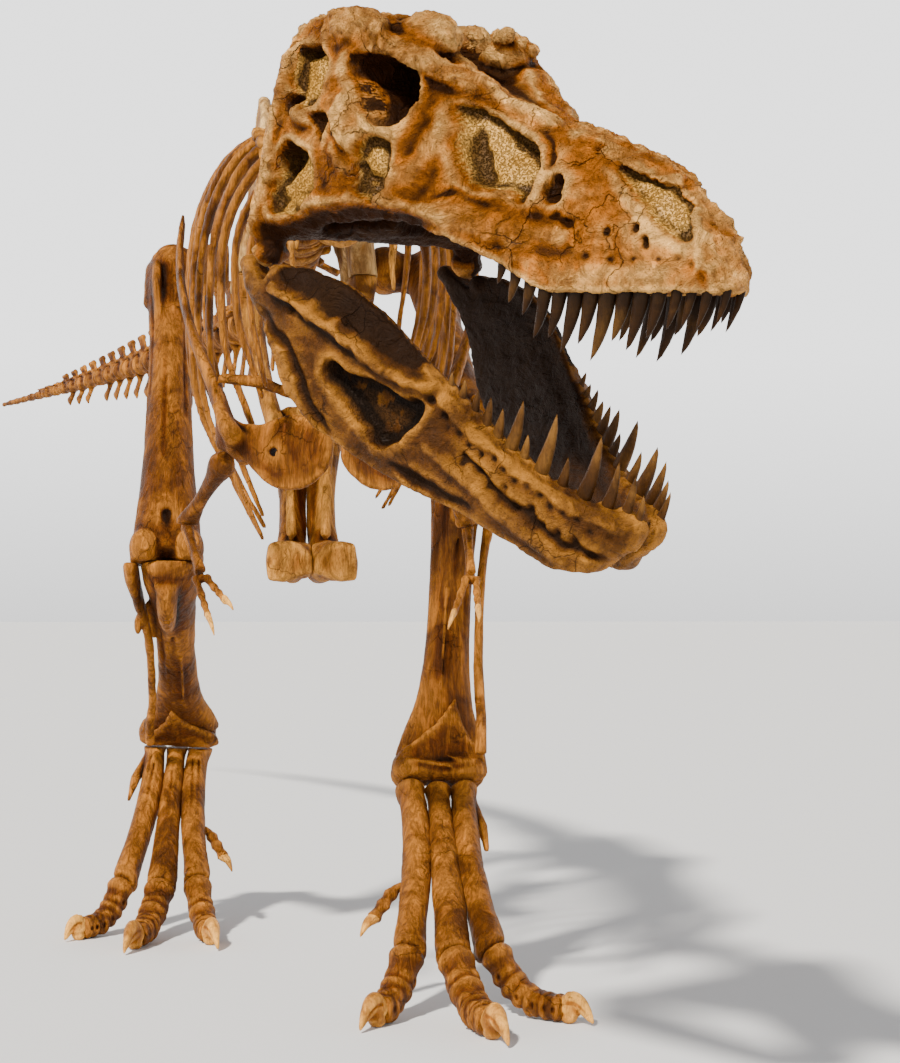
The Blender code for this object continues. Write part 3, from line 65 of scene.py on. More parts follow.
# %% A block of voxels with soft joins
class Clay:
    """A block of voxels holding the distance to the bone's surface, negative inside."""

    def __init__(self, low, high, cell):
        self.cell = cell
        self.low = np.array(low, float)
        count = np.ceil((np.array(high, float) - self.low) / cell).astype(int) + 1
        self.axes = [self.low[k] + cell * np.arange(count[k]) for k in range(3)]
        self.field = np.full(tuple(count), 12.0 * cell, np.float32)

    def part(self, low, high, origin):
        """Index ranges of the voxels inside a box, and how far each lies from an origin."""
        cuts, steps = [], []
        for k in range(3):
            first = int(np.floor((low[k] - self.low[k]) / self.cell))
            last = int(np.ceil((high[k] - self.low[k]) / self.cell)) + 1
            cuts.append(slice(max(first, 0), max(min(last, self.field.shape[k]), 0)))
            line = self.axes[k][cuts[k]].astype(np.float32)
            steps.append(line.reshape([-1 if k == n else 1 for n in range(3)]) - origin[k])
        return tuple(cuts), steps

    def join(self, cuts, distance, soft, away=False, before=None):
        """Add a shape or take it away, blended with the clay as it was before."""
        here = self.field[cuts]
        if here.size == 0:
            return
        start = here if before is None else before[cuts]
        sign = -1.0 if away else 1.0
        blended = sign * distance
        if soft > 0:
            h = np.clip(0.5 + 0.5 * (sign * start - distance) / soft, 0.0, 1.0)
            blended = start + (sign * distance - start) * h - sign * soft * h * (1.0 - h)
        self.field[cuts] = np.maximum(here, blended) if away else np.minimum(here, blended)

    def limb(self, points, radii, soft=0.02, side=None, flat=1.0, away=False):
        """A tapered rod through the points; flat thins it across the direction side."""
        points = [np.array(p, float) for p in points]
        radii = radii if hasattr(radii, "__len__") else [radii] * len(points)
        before = self.field.copy() if len(points) > 2 else None
        for a, b, ra, rb in zip(points, points[1:], radii, radii[1:]):
            reach = max(ra, rb) + soft + 4.0 * self.cell
            cuts, (dx, dy, dz) = self.part(np.minimum(a, b) - reach, np.maximum(a, b) + reach, a)
            along = b - a
            length = max(float(along @ along), 1e-12)
            t = np.clip((dx * along[0] + dy * along[1] + dz * along[2]) / length, 0.0, 1.0)
            dx, dy, dz = dx - t * along[0], dy - t * along[1], dz - t * along[2]
            square = dx * dx + dy * dy + dz * dz
            if side is not None:
                across = dx * side[0] + dy * side[1] + dz * side[2]
                square = square + (1.0 / flat ** 2 - 1.0) * across * across
            distance = (np.sqrt(square) - (ra + t * (rb - ra))) * max(flat, 0.45)
            self.join(cuts, distance, soft, away, before)

    def turned(self, centre, halves, turn, margin):
        """Index ranges around a turned box, and the voxels' places on its own axes."""
        centre = np.array(centre, float)
        turn = np.eye(3) if turn is None else np.array(turn, float)
        reach = np.abs(turn) @ halves + margin + 3.0 * self.cell
        cuts, (dx, dy, dz) = self.part(centre - reach, centre + reach, centre)
        return cuts, [dx * turn[0, k] + dy * turn[1, k] + dz * turn[2, k] for k in range(3)]

    def egg(self, centre, radii, turn=None, soft=0.02, away=False):
        """An ellipsoid; turn holds its own axes as columns."""
        cuts, own = self.turned(centre, np.array(radii, float), turn, soft)
        own = [place / radius for place, radius in zip(own, radii)]
        total = np.sqrt(sum(share * share for share in own))
        slope = sum((share / radius) ** 2 for share, radius in zip(own, radii))
        self.join(cuts, total * (total - 1.0) / np.maximum(np.sqrt(slope), 1e-6), soft, away)

    def slab(self, centre, halves, soft=0.02, round_off=0.01, away=False):
        """An upright box with rounded edges."""
        cuts, own = self.turned(centre, np.array(halves, float), None, soft + round_off)
        own = [np.abs(place) - (half - round_off) for place, half in zip(own, halves)]
        outside = sum(np.maximum(over, 0.0) ** 2 for over in own)
        inside = np.maximum(np.maximum(own[0], own[1]), own[2])
        self.join(cuts, np.sqrt(outside) + np.minimum(inside, 0.0) - round_off, soft, away)

    def trim(self, point, normal, soft=0.0):
        """Drop everything on the normal's side of a plane."""
        normal = np.array(normal, float)
        normal = normal / np.linalg.norm(normal)
        x, y, z = [(axis.astype(np.float32) - point[k]) * normal[k] for k, axis in enumerate(self.axes)]
        away = x[:, None, None] + y[None, :, None] + z[None, None, :]
        if soft > 0:
            h = np.clip(0.5 - 0.5 * (self.field - away) / soft, 0.0, 1.0)
            self.field = (self.field + (away - self.field) * h + soft * h * (1.0 - h)).astype(np.float32)
        else:
            self.field = np.maximum(self.field, away)

    def surface(self):
        """Points, four-sided and three-sided faces of the surface."""
        band = 3.0 * self.cell
        for wall in (0, -1):
            self.field[wall] = self.field[:, wall] = self.field[:, :, wall] = band
        grid = openvdb.FloatGrid(band)
        grid.copyFromArray(np.clip(self.field, -band, band))
        points, triangles, quads = grid.convertToPolygons(isovalue=0.0, adaptivity=0.0)
        return points.astype(np.float64) * self.cell + self.low, triangles, quads


print("the clay is ready")

# %% [markdown]
# ## Noise, cavities and the finished mesh
#
# Fossil bone is never smooth. Once a surface is pulled from the clay its points are nudged
# along their normals by lattice noise in a few sizes. The same step measures how hollow or
# how proud each point lies, and stores it on the mesh, so that a material can paint shade
# into the hollows and lay wear with painted highlight on the ridges.

# %% Lattice noise
def mix(a, b, t):
    """Straight blend of two numbers or vectors."""
    return a * (1.0 - t) + b * t


def lattice(points, size, seed):
    """Smooth noise from -1 to 1, with features about size across."""
    p = points / size + seed * 17.31
    cell = np.floor(p).astype(np.int64)
    f = p - cell
    f = f * f * f * (f * (f * 6.0 - 15.0) + 10.0)

    def corner(dx, dy, dz):
        n = (cell[:, 0] + dx) * 374761393 + (cell[:, 1] + dy) * 668265263 + (cell[:, 2] + dz) * 2147483647
        n = (n ^ (n >> 13)) * 1274126177
        n = n ^ (n >> 16)
        return (n & 0xFFFF) / 32767.5 - 1.0

    total = 0.0
    for steps in itertools.product((0, 1), repeat=3):
        weight = [f[:, k] if step else 1 - f[:, k] for k, step in enumerate(steps)]
        total = total + weight[0] * weight[1] * weight[2] * corner(*steps)
    return total


def roughness(points, size, seed, octaves=3, crease=0.0):
    """Several sizes of noise added up; crease folds it into sharp ridges."""
    waves = [lattice(points, size / 2.03 ** k, seed + k) for k in range(octaves)]
    return sum(0.55 ** k * mix(wave, 0.55 - 1.9 * np.abs(wave), crease) for k, wave in enumerate(waves))


# %% From points and faces to a mesh object
def normals_of(points, quads):
    """Point normals of a mesh of four-sided faces."""
    face = np.cross(points[quads[:, 2]] - points[quads[:, 0]], points[quads[:, 3]] - points[quads[:, 1]])
    out = np.zeros_like(points)
    for k in range(4):
        for axis in range(3):
            out[:, axis] += np.bincount(quads[:, k], weights=face[:, axis], minlength=len(points))
    return out / np.maximum(np.linalg.norm(out, axis=1), 1e-12)[:, None]


def spread(values, quads, count, times):
    """Average values with their neighbours a few times."""
    a, b = quads.ravel(), np.roll(quads, -1, axis=1).ravel()
    number = np.maximum(np.bincount(a, minlength=count) + np.bincount(b, minlength=count), 1)
    for _ in range(times):
        total = np.bincount(a, values[b], count) + np.bincount(b, values[a], count)
        values = 0.5 * values + 0.5 * total / number
    return values


def relief_of(points, normals, quads, size):
    """How proud (positive) or hollow (negative) each point lies, over a distance of about size."""
    count = len(points)
    edge = np.linalg.norm(points[quads[:, 1]] - points[quads[:, 0]], axis=1).mean()
    times = max(int((size / edge) ** 2 * 0.9), 2)
    flat = np.stack([spread(points[:, k], quads, count, min(times, 60)) for k in range(3)], axis=1)
    return ((points - flat) * normals).sum(1) / size


def to_mesh(name, points, quads, triangles=(), masks=None):
    """A mesh object with its masks stored on its points."""
    mesh = bpy.data.meshes.new(name)
    faces4 = np.asarray(quads, np.int32)
    faces3 = np.asarray(triangles, np.int32).reshape(-1, 3)
    mesh.vertices.add(len(points))
    mesh.vertices.foreach_set("co", np.asarray(points, np.float32).ravel())
    mesh.loops.add(faces4.size + faces3.size)
    mesh.loops.foreach_set("vertex_index", np.concatenate([faces4.ravel(), faces3.ravel()]))
    mesh.polygons.add(len(faces4) + len(faces3))
    starts = np.concatenate([np.arange(len(faces4)) * 4, faces4.size + np.arange(len(faces3)) * 3])
    mesh.polygons.foreach_set("loop_start", starts.astype(np.int32))
    mesh.update(calc_edges=True)
    mesh.validate()
    mesh.polygons.foreach_set("use_smooth", np.ones(len(mesh.polygons), bool))
    for key, values in (masks or {}).items():
        layer = mesh.attributes.new(key, "FLOAT", "POINT")
        layer.data.foreach_set("value", np.asarray(values, np.float32))
    item = bpy.data.objects.new(name, mesh)
    bpy.context.scene.collection.objects.link(item)
    return item


print("noise and mesh helpers are ready")

# %% [markdown]
# ## Casting a bone
#
# Each bone goes through the same steps: pull the surface, roughen it, measure its hollows,
# move it into the row's axes, and let it stand in for its plain solid. Bones that are
# drawn in their own axes, such as the skull, hand over the turn that puts them in place.

# %% Cast a bone from its clay
made = {}


def cast(clay, node, material, grain=0.004, size=0.05, seed=1, turn=None, masks=None, lumps=0.0, name=None,
        flow=(1.0, 1.0, 1.0), crease=0.4):
    """Turn a block of clay into the visible bone that stands for a node."""
    points, triangles, quads = clay.surface()
    normals = normals_of(points, quads)
    proud = relief_of(points, normals, quads, clay.cell * 7.0)
    drawn = points * np.array(flow)
    push = (grain(points) if callable(grain) else grain) * roughness(drawn, size, seed, 4, crease)
    if lumps:
        push = push + lumps * roughness(drawn, size * 4.0, seed + 9, 2)
    points = points + normals * push[:, None]
    # proud sets painted shade in the hollows and painted highlight on the ridges in the material
    extra = {"proud": np.clip(0.5 + proud * 3.4, 0.0, 1.0)}
    for key, reader in (masks or {}).items():
        extra[key] = reader(points)
    # the inner mask lowers proud, so that the material paints shade over buried and shadowed parts
    if "inner" in extra:
        extra["proud"] = extra["proud"] * (1.0 - extra["inner"])
    if turn is not None:
        points = points @ turn[0].T + turn[1]
    item = to_mesh(name or node + "_bone", points + SHIFT, quads, triangles, extra)
    item.data.materials.append(material)
    if node in NODES:
        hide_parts(node)
    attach(item, "root")
    made[item.name] = item
    print(f"{item.name}: {len(item.data.polygons)} faces")
    return item


# %% Small helpers for paths and tables
def unit(v):
    """A vector of length one."""
    v = np.array(v, float)
    return v / np.linalg.norm(v)


def read(table, t):
    """Values of a table of (place, value, ...) rows at the place t."""
    table = np.array(table, float)
    return np.array([np.interp(t, table[:, 0], table[:, k]) for k in range(1, table.shape[1])])


def curve(points, step=0.0625):
    """Dense points of a smooth curve through a few, and the length travelled at each."""
    points = [np.array(p, float) for p in points]
    ends = [points[0] * 2 - points[1]] + points + [points[-1] * 2 - points[-2]]
    fine = []
    for k in range(1, len(ends) - 2):
        p0, p1, p2, p3 = ends[k - 1:k + 3]
        for t in np.arange(0.0, 1.0 - 1e-9, step):
            fine.append(0.5 * (2 * p1 + (p2 - p0) * t + (2 * p0 - 5 * p1 + 4 * p2 - p3) * t * t
                + (3 * p1 - 3 * p2 + p3 - p0) * t ** 3))
    fine.append(points[-1])
    fine = np.array(fine)
    travelled = np.concatenate([[0.0], np.cumsum(np.linalg.norm(np.diff(fine, axis=0), axis=1))])
    return fine, travelled


def along_curve(path, length):
    """The point of a curve at a length from its start."""
    fine, travelled = path
    return np.array([np.interp(length, travelled, fine[:, k]) for k in range(3)])


def outline_distance(outline, u, v, rounding):
    """Signed distance from places (u, v) to a closed outline with its corners cut, positive inside."""
    points = np.array(outline, float)
    for _ in range(rounding):
        after = np.roll(points, -1, axis=0)
        points = np.stack([points * 0.75 + after * 0.25, points * 0.25 + after * 0.75], 1).reshape(-1, 2)
    u, v = np.broadcast_arrays(u, v)
    best = np.full(u.shape, 1e9)
    odd = np.zeros(u.shape, bool)
    for (ua, va), (ub, vb) in zip(points, np.roll(points, -1, axis=0)):
        du, dv = ub - ua, vb - va
        t = np.clip(((u - ua) * du + (v - va) * dv) / max(du * du + dv * dv, 1e-12), 0, 1)
        best = np.minimum(best, (u - ua - t * du) ** 2 + (v - va - t * dv) ** 2)
        if dv:
            crossing = (v >= min(va, vb)) & (v < max(va, vb))
            odd ^= crossing & (u < ua + (v - va) * du / dv)
    best = np.sqrt(best)
    return np.where(odd, best, -best)


print("casting is ready")

# %% [markdown]
# ## The colours of old bone
#
# The bones are mineralised: warm orange-brown, with a fine grain along the shaft and dark
# hairline cracks. Painted shade makes them nearly black in the hollows, and rubbed edges are
# golden with wear and painted highlight. Three effects serve every bone, so they are shader
# node groups: grain and stains, cracks, and the relief colouring that reads the stored hollows.

# %% A helper to lay out nodes
def new_group(name, inputs, outputs):
    """An empty shader node group with named sockets."""
    group = bpy.data.node_groups.new(name, "ShaderNodeTree")
    for label, kind, value in inputs:
        socket = group.interface.new_socket(label, in_out="INPUT", socket_type=kind)
        if value is not None:
            socket.default_value = value
    for label, kind in outputs:
        group.interface.new_socket(label, in_out="OUTPUT", socket_type=kind)
    return group, group.nodes.new("NodeGroupInput"), group.nodes.new("NodeGroupOutput")


def add(tree, kind, links=None, **settings):
    """A node with its settings, and its sockets fed by values or by other sockets."""
    node = tree.nodes.new(kind)
    for key, value in settings.items():
        setattr(node, key, value)
    for key, value in (links or {}).items():
        socket = node.inputs[key]
        if isinstance(value, bpy.types.NodeSocket):
            tree.links.new(value, socket)
        else:
            socket.default_value = value
    return node


def blend_colour(tree, factor, a, b):
    """Mix two colours, given as sockets or as red, green and blue."""
    a, b = [(*c, 1.0) if isinstance(c, tuple) else c for c in (a, b)]
    return add(tree, "ShaderNodeMix", {0: factor, 6: a, 7: b}, data_type="RGBA").outputs[2]


def remap(tree, value, low, high, to_low=0.0, to_high=1.0):
    """Stretch a value's range, held within its ends."""
    node = add(tree, "ShaderNodeMapRange", {"From Min": low, "From Max": high, "To Min": to_low,
        "To Max": to_high, "Value": value})
    return node.outputs["Result"]


def sums(tree, operation, a, b):
    """Arithmetic on two values."""
    return add(tree, "ShaderNodeMath", {0: a, 1: b}, operation=operation).outputs[0]


# %% Group one: grain, stains and pores
def make_grain():
    """Fine fibres along one axis, broad stains and small pores."""
    group, given, out = new_group("bone_grain", (("Size", "NodeSocketFloat", 1.0),
        ("Stretch", "NodeSocketVector", (1.0, 1.0, 1.0))), (("Fibre", "NodeSocketFloat"),
        ("Stain", "NodeSocketFloat"), ("Pores", "NodeSocketFloat"), ("Crag", "NodeSocketFloat")))
    place = add(group, "ShaderNodeTexCoord").outputs["Object"]
    scaled = add(group, "ShaderNodeVectorMath", {0: place, 1: given.outputs["Stretch"]},
        operation="MULTIPLY")
    sized = add(group, "ShaderNodeVectorMath", {0: scaled.outputs[0]}, operation="SCALE")
    group.links.new(given.outputs["Size"], sized.inputs["Scale"])
    fibre = add(group, "ShaderNodeTexNoise", {"Vector": sized.outputs[0], "Scale": 60.0, "Detail": 7.0,
        "Roughness": 0.66, "Distortion": 0.4})
    stain = add(group, "ShaderNodeTexNoise", {"Vector": place, "Scale": 5.5, "Detail": 5.0,
        "Roughness": 0.6, "Distortion": 0.8})
    cells = add(group, "ShaderNodeTexVoronoi", {"Vector": sized.outputs[0], "Scale": 190.0,
        "Randomness": 1.0})
    crag = add(group, "ShaderNodeTexNoise", {"Vector": sized.outputs[0], "Scale": 17.0, "Detail": 9.0,
        "Roughness": 0.62, "Distortion": 0.6})
    folded = sums(group, "ABSOLUTE", sums(group, "SUBTRACT", crag.outputs["Fac"], 0.5), 0.0)
    group.links.new(remap(group, folded, 0.0, 0.16), out.inputs["Crag"])
    group.links.new(remap(group, fibre.outputs["Fac"], 0.3, 0.7), out.inputs["Fibre"])
    group.links.new(remap(group, stain.outputs["Fac"], 0.36, 0.64), out.inputs["Stain"])
    group.links.new(remap(group, cells.outputs["Distance"], 0.05, 0.32), out.inputs["Pores"])
    return group


# %% Group two: hairline cracks
def make_cracks():
    """Thin broken lines at the edges of warped cells."""
    group, given, out = new_group("bone_cracks", (("Scale", "NodeSocketFloat", 9.0),
        ("Width", "NodeSocketFloat", 0.02)), (("Line", "NodeSocketFloat"),))
    place = add(group, "ShaderNodeTexCoord").outputs["Object"]
    bend = add(group, "ShaderNodeTexNoise", {"Vector": place, "Scale": 9.0, "Detail": 4.0})
    push = add(group, "ShaderNodeVectorMath", {0: bend.outputs["Color"], 1: (0.5, 0.5, 0.5)},
        operation="SUBTRACT")
    small = add(group, "ShaderNodeVectorMath", {0: push.outputs[0], "Scale": 0.16}, operation="SCALE")
    moved = add(group, "ShaderNodeVectorMath", {0: place, 1: small.outputs[0]}, operation="ADD")
    cells = add(group, "ShaderNodeTexVoronoi", {"Vector": moved.outputs[0]}, feature="DISTANCE_TO_EDGE")
    group.links.new(given.outputs["Scale"], cells.inputs["Scale"])
    near = add(group, "ShaderNodeMath", {0: cells.outputs["Distance"]}, operation="DIVIDE")
    group.links.new(given.outputs["Width"], near.inputs[1])
    line = remap(group, near.outputs[0], 0.0, 1.0, 1.0, 0.0)
    gaps = add(group, "ShaderNodeTexNoise", {"Vector": place, "Scale": 6.0, "Detail": 2.0})
    broken = sums(group, "MULTIPLY", line, remap(group, gaps.outputs["Fac"], 0.51, 0.60))
    group.links.new(broken, out.inputs["Line"])
    return group


# %% Group three: painted shade in hollows, wear and painted highlight on ridges
def make_relief_colour():
    """Three tones of bone laid by how proud the surface is: painted shade in the hollows, wear with painted
    highlight on the ridges, then varied by grain and stain.
    """
    group, given, out = new_group("bone_relief", (("Deep", "NodeSocketColor", None),
        ("Body", "NodeSocketColor", None), ("Wear_and_highlight", "NodeSocketColor", None),
        ("Fibre", "NodeSocketFloat", 0.5), ("Stain", "NodeSocketFloat", 0.5),
        ("Edge_wear_and_highlight", "NodeSocketFloat", 1.0)), (("Color", "NodeSocketColor"), ("Hollow", "NodeSocketFloat")))
    proud = add(group, "ShaderNodeAttribute", attribute_name="proud").outputs["Fac"]
    # hollow measures how far a point lies in a recess; it sets the painted shade below
    hollow = remap(group, proud, 0.47, 0.17)
    # rubbed ridges, wear and painted highlight together, are broken up by the stain and the fibre
    broken = sums(group, "MULTIPLY", given.outputs["Stain"], remap(group, given.outputs["Fibre"], 0.0, 0.8,
        0.3, 1.0))
    ridge = sums(group, "MULTIPLY", remap(group, proud, 0.54, 0.92), given.outputs["Edge_wear_and_highlight"])
    ridge = sums(group, "MULTIPLY", ridge, remap(group, broken, 0.05, 0.55, 0.15, 1.0))
    body = blend_colour(group, remap(group, given.outputs["Stain"], 0.0, 0.8, 0.52, 0.0),
        given.outputs["Body"], given.outputs["Deep"])
    body = blend_colour(group, remap(group, given.outputs["Stain"], 0.55, 1.0, 0.0, 0.42), body,
        given.outputs["Wear_and_highlight"])
    speckled = blend_colour(group, remap(group, given.outputs["Fibre"], 0.0, 0.8, 0.50, 0.0), body,
        given.outputs["Deep"])
    wear_and_highlight = blend_colour(group, ridge, speckled, given.outputs["Wear_and_highlight"])
    # painted shade: the deep colour laid over the hollows
    painted_shade = blend_colour(group, remap(group, hollow, 0.0, 1.0, 0.0, 0.95), wear_and_highlight, given.outputs["Deep"])
    group.links.new(painted_shade, out.inputs["Color"])
    group.links.new(hollow, out.inputs["Hollow"])
    return group


GRAIN, CRACKS, RELIEF = make_grain(), make_cracks(), make_relief_colour()
print("shader groups:", [g.name for g in (GRAIN, CRACKS, RELIEF)])


# %% Materials of the bones
def bone_material(name, deep, body, wear_and_highlight, stretch=(1.0, 1.0, 0.25), size=1.0, rough=0.52, edge_wear_and_highlight=1.0,
        plaster=None, crack=9.0, bump=0.35, craggy=1.6):
    """A bone finish; plaster adds the stippled filling where the mesh is marked for it."""
    material = bpy.data.materials.new(name)
    material.use_nodes = True
    tree = material.node_tree
    shader = tree.nodes["Principled BSDF"]
    grain = add(tree, "ShaderNodeGroup", node_tree=GRAIN)
    grain.inputs["Size"].default_value = size
    grain.inputs["Stretch"].default_value = stretch
    cracks = add(tree, "ShaderNodeGroup", node_tree=CRACKS)
    cracks.inputs["Scale"].default_value = crack
    relief = add(tree, "ShaderNodeGroup", node_tree=RELIEF)
    for label, colour in zip(("Deep", "Body", "Wear_and_highlight"), (deep, body, wear_and_highlight)):
        relief.inputs[label].default_value = (*colour, 1.0)
    relief.inputs["Edge_wear_and_highlight"].default_value = edge_wear_and_highlight
    tree.links.new(grain.outputs["Fibre"], relief.inputs["Fibre"])
    tree.links.new(grain.outputs["Stain"], relief.inputs["Stain"])
    # painted shade in the crag's creases: the colour darkens where the crag bump is lowest
    creased = blend_colour(tree, remap(tree, grain.outputs["Crag"], 0.0, 0.55, 0.30 * craggy, 0.0),
        relief.outputs["Color"], deep)
    pored = blend_colour(tree, remap(tree, grain.outputs["Pores"], 0.0, 1.0, 0.5, 0.0), creased,
        tuple(0.7 * c for c in deep))
    colour = blend_colour(tree, sums(tree, "MULTIPLY", cracks.outputs["Line"], 0.55), pored,
        tuple(0.4 * c for c in deep))
    height = sums(tree, "ADD", sums(tree, "MULTIPLY", grain.outputs["Fibre"], 0.5),
        sums(tree, "MULTIPLY", grain.outputs["Pores"], 0.4))
    height = sums(tree, "ADD", height, sums(tree, "MULTIPLY", grain.outputs["Crag"], craggy))
    height = sums(tree, "SUBTRACT", height, cracks.outputs["Line"])
    if plaster is not None:
        infill = add(tree, "ShaderNodeAttribute", attribute_name="infill").outputs["Fac"]
        place = add(tree, "ShaderNodeTexCoord").outputs["Object"]
        stipple = add(tree, "ShaderNodeTexNoise", {"Vector": place, "Scale": 210.0, "Detail": 2.0,
            "Roughness": 0.7})
        worms = remap(tree, stipple.outputs["Fac"], 0.36, 0.52)
        patch = add(tree, "ShaderNodeTexNoise", {"Vector": place, "Scale": 14.0, "Detail": 3.0})
        cream = blend_colour(tree, remap(tree, patch.outputs["Fac"], 0.4, 0.62), plaster[0], plaster[1])
        cream = blend_colour(tree, remap(tree, worms, 0.0, 1.0, 0.36, 0.0), cream, plaster[2])
        # painted shade: the plaster darkens in the hollows
        hollow = remap(tree, relief.outputs["Hollow"], 0.25, 1.0, 0.0, 0.92)
        cream = blend_colour(tree, hollow, cream, tuple(0.22 * c for c in plaster[2]))
        colour = blend_colour(tree, infill, colour, cream)
        height = add(tree, "ShaderNodeMix", {0: infill, 2: height, 3: sums(tree, "MULTIPLY", worms, 0.8)},
            data_type="FLOAT").outputs[0]
    tree.links.new(colour, shader.inputs["Base Color"])
    tree.links.new(remap(tree, grain.outputs["Stain"], 0.0, 1.0, rough - 0.10, rough + 0.14),
        shader.inputs["Roughness"])
    raised = add(tree, "ShaderNodeBump", {"Height": height, "Strength": bump, "Distance": 0.006})
    tree.links.new(raised.outputs["Normal"], shader.inputs["Normal"])
    shader.inputs["Specular IOR Level"].default_value = 0.09
    return material


# each material gives a deep colour, used for grain, stains and painted shade, a body colour, and a colour for wear
# and painted highlight
SKULL_BONE = bone_material("golden_skull_bone", (0.022, 0.0062, 0.001), (0.66, 0.195, 0.013),
    (1.00, 0.53, 0.150), stretch=(1.0, 0.6, 1.0), plaster=((0.46, 0.225, 0.038), (0.64, 0.345, 0.078),
    (0.175, 0.070, 0.011)), rough=0.44, bump=1.3)
# the jaw's plaster colours are near black: painted shade in the hollow on the jaw's outer face
JAW_BONE = bone_material("brown_jaw_bone", (0.012, 0.0040, 0.0005), (0.112, 0.036, 0.0032),
    (0.36, 0.145, 0.020), stretch=(1.0, 0.5, 1.0), plaster=((0.045, 0.018, 0.004), (0.10, 0.040, 0.008),
    (0.010, 0.004, 0.001)), rough=0.50, bump=0.8, craggy=1.1)
# the tooth colours are dark partly as painted shade, since the upper row lies in the skull's shadow
TOOTH = bone_material("dark_tooth_enamel", (0.008, 0.0035, 0.001), (0.070, 0.026, 0.005),
    (0.30, 0.140, 0.030), stretch=(2.0, 2.0, 0.35), rough=0.34, edge_wear_and_highlight=0.7, crack=40.0, bump=0.3, craggy=0.3)
LIMB_BONE = bone_material("red_brown_limb_bone", (0.010, 0.0030, 0.0005), (0.190, 0.049, 0.0038),
    (0.54, 0.200, 0.028), stretch=(1.5, 1.5, 0.20), rough=0.44, bump=0.9)
BODY_BONE = bone_material("orange_body_bone", (0.016, 0.005, 0.0008), (0.34, 0.095, 0.007),
    (0.75, 0.33, 0.060), stretch=(1.2, 1.2, 0.35), bump=0.9)
PALE_BONE = bone_material("pale_hip_bone", (0.060, 0.020, 0.004), (0.52, 0.23, 0.050), (0.88, 0.56, 0.22),
    stretch=(1.2, 1.2, 0.3), bump=0.9)
CLAW = bone_material("worn_claw_bone", (0.050, 0.014, 0.002), (0.50, 0.160, 0.014), (0.90, 0.44, 0.085),
    stretch=(1.2, 1.2, 0.5), rough=0.42, bump=0.6, craggy=0.9)
print("materials:", len(bpy.data.materials))

# %% [markdown]
# ## The skull
#
# The skull is drawn in its own axes, in hundredths of its length: x to the animal's left,
# y from the snout backward, z up. Its outline is a table of half widths. The cheek is then
# carved as a sheet of relief over (y, z): ridges are strokes and openings are sunk
# outlines, which is how a sculptor would cut a cheek in low relief. The relief is added to
# the half width before the clay is filled, so that every rim is real shape.

# %% Size and turn of the head
UNIT = 0.01206
JAW_HINGE = np.array((0.036, -2.927, 2.108))


def rotation(axis, degrees):
    """A turn about one axis as an array."""
    return np.array(Matrix.Rotation(math.radians(degrees), 3, axis))


HEAD = rotation("Z", 36.5) @ rotation("X", 13.8) @ rotation("Y", -4.2)
JAW = HEAD @ rotation("X", 25.0)
HEAD_TURN = (HEAD * UNIT, JAW_HINGE + HEAD @ (np.array((0.0, -94.0, 4.0)) * UNIT))
JAW_TURN = (JAW * UNIT, JAW_HINGE)

SKULL_ROWS = (
    # y, low, top, half widths at the gum, cheek and roof
    (-3.2, 3.8, 6.6, 1.6, 1.8, 1.0), (-1.8, 3.0, 8.8, 4.0, 4.0, 2.0), (0.6, 2.9, 12.2, 6.2, 6.2, 3.0),
    (4.5, 2.5, 16.6, 7.9, 7.6, 3.4), (13.0, 1.4, 22.2, 9.8, 9.0, 3.8),
    (22.0, 0.2, 25.8, 11.8, 10.2, 4.2), (32.0, -0.9, 28.2, 13.8, 11.8, 4.6),
    (41.0, 3.2, 30.1, 16.8, 14.2, 5.0), (50.0, 6.2, 32.6, 21.0, 17.8, 5.8),
    (58.0, 7.8, 36.8, 25.4, 22.0, 7.8), (66.0, 8.0, 42.2, 28.8, 25.6, 11.5),
    (76.0, 5.8, 46.2, 30.9, 28.8, 18.2), (86.0, 2.4, 46.6, 31.6, 30.0, 23.5),
    (93.5, 1.2, 42.6, 31.4, 29.6, 24.5), (97.0, 1.6, 34.0, 30.6, 28.6, 25.0))


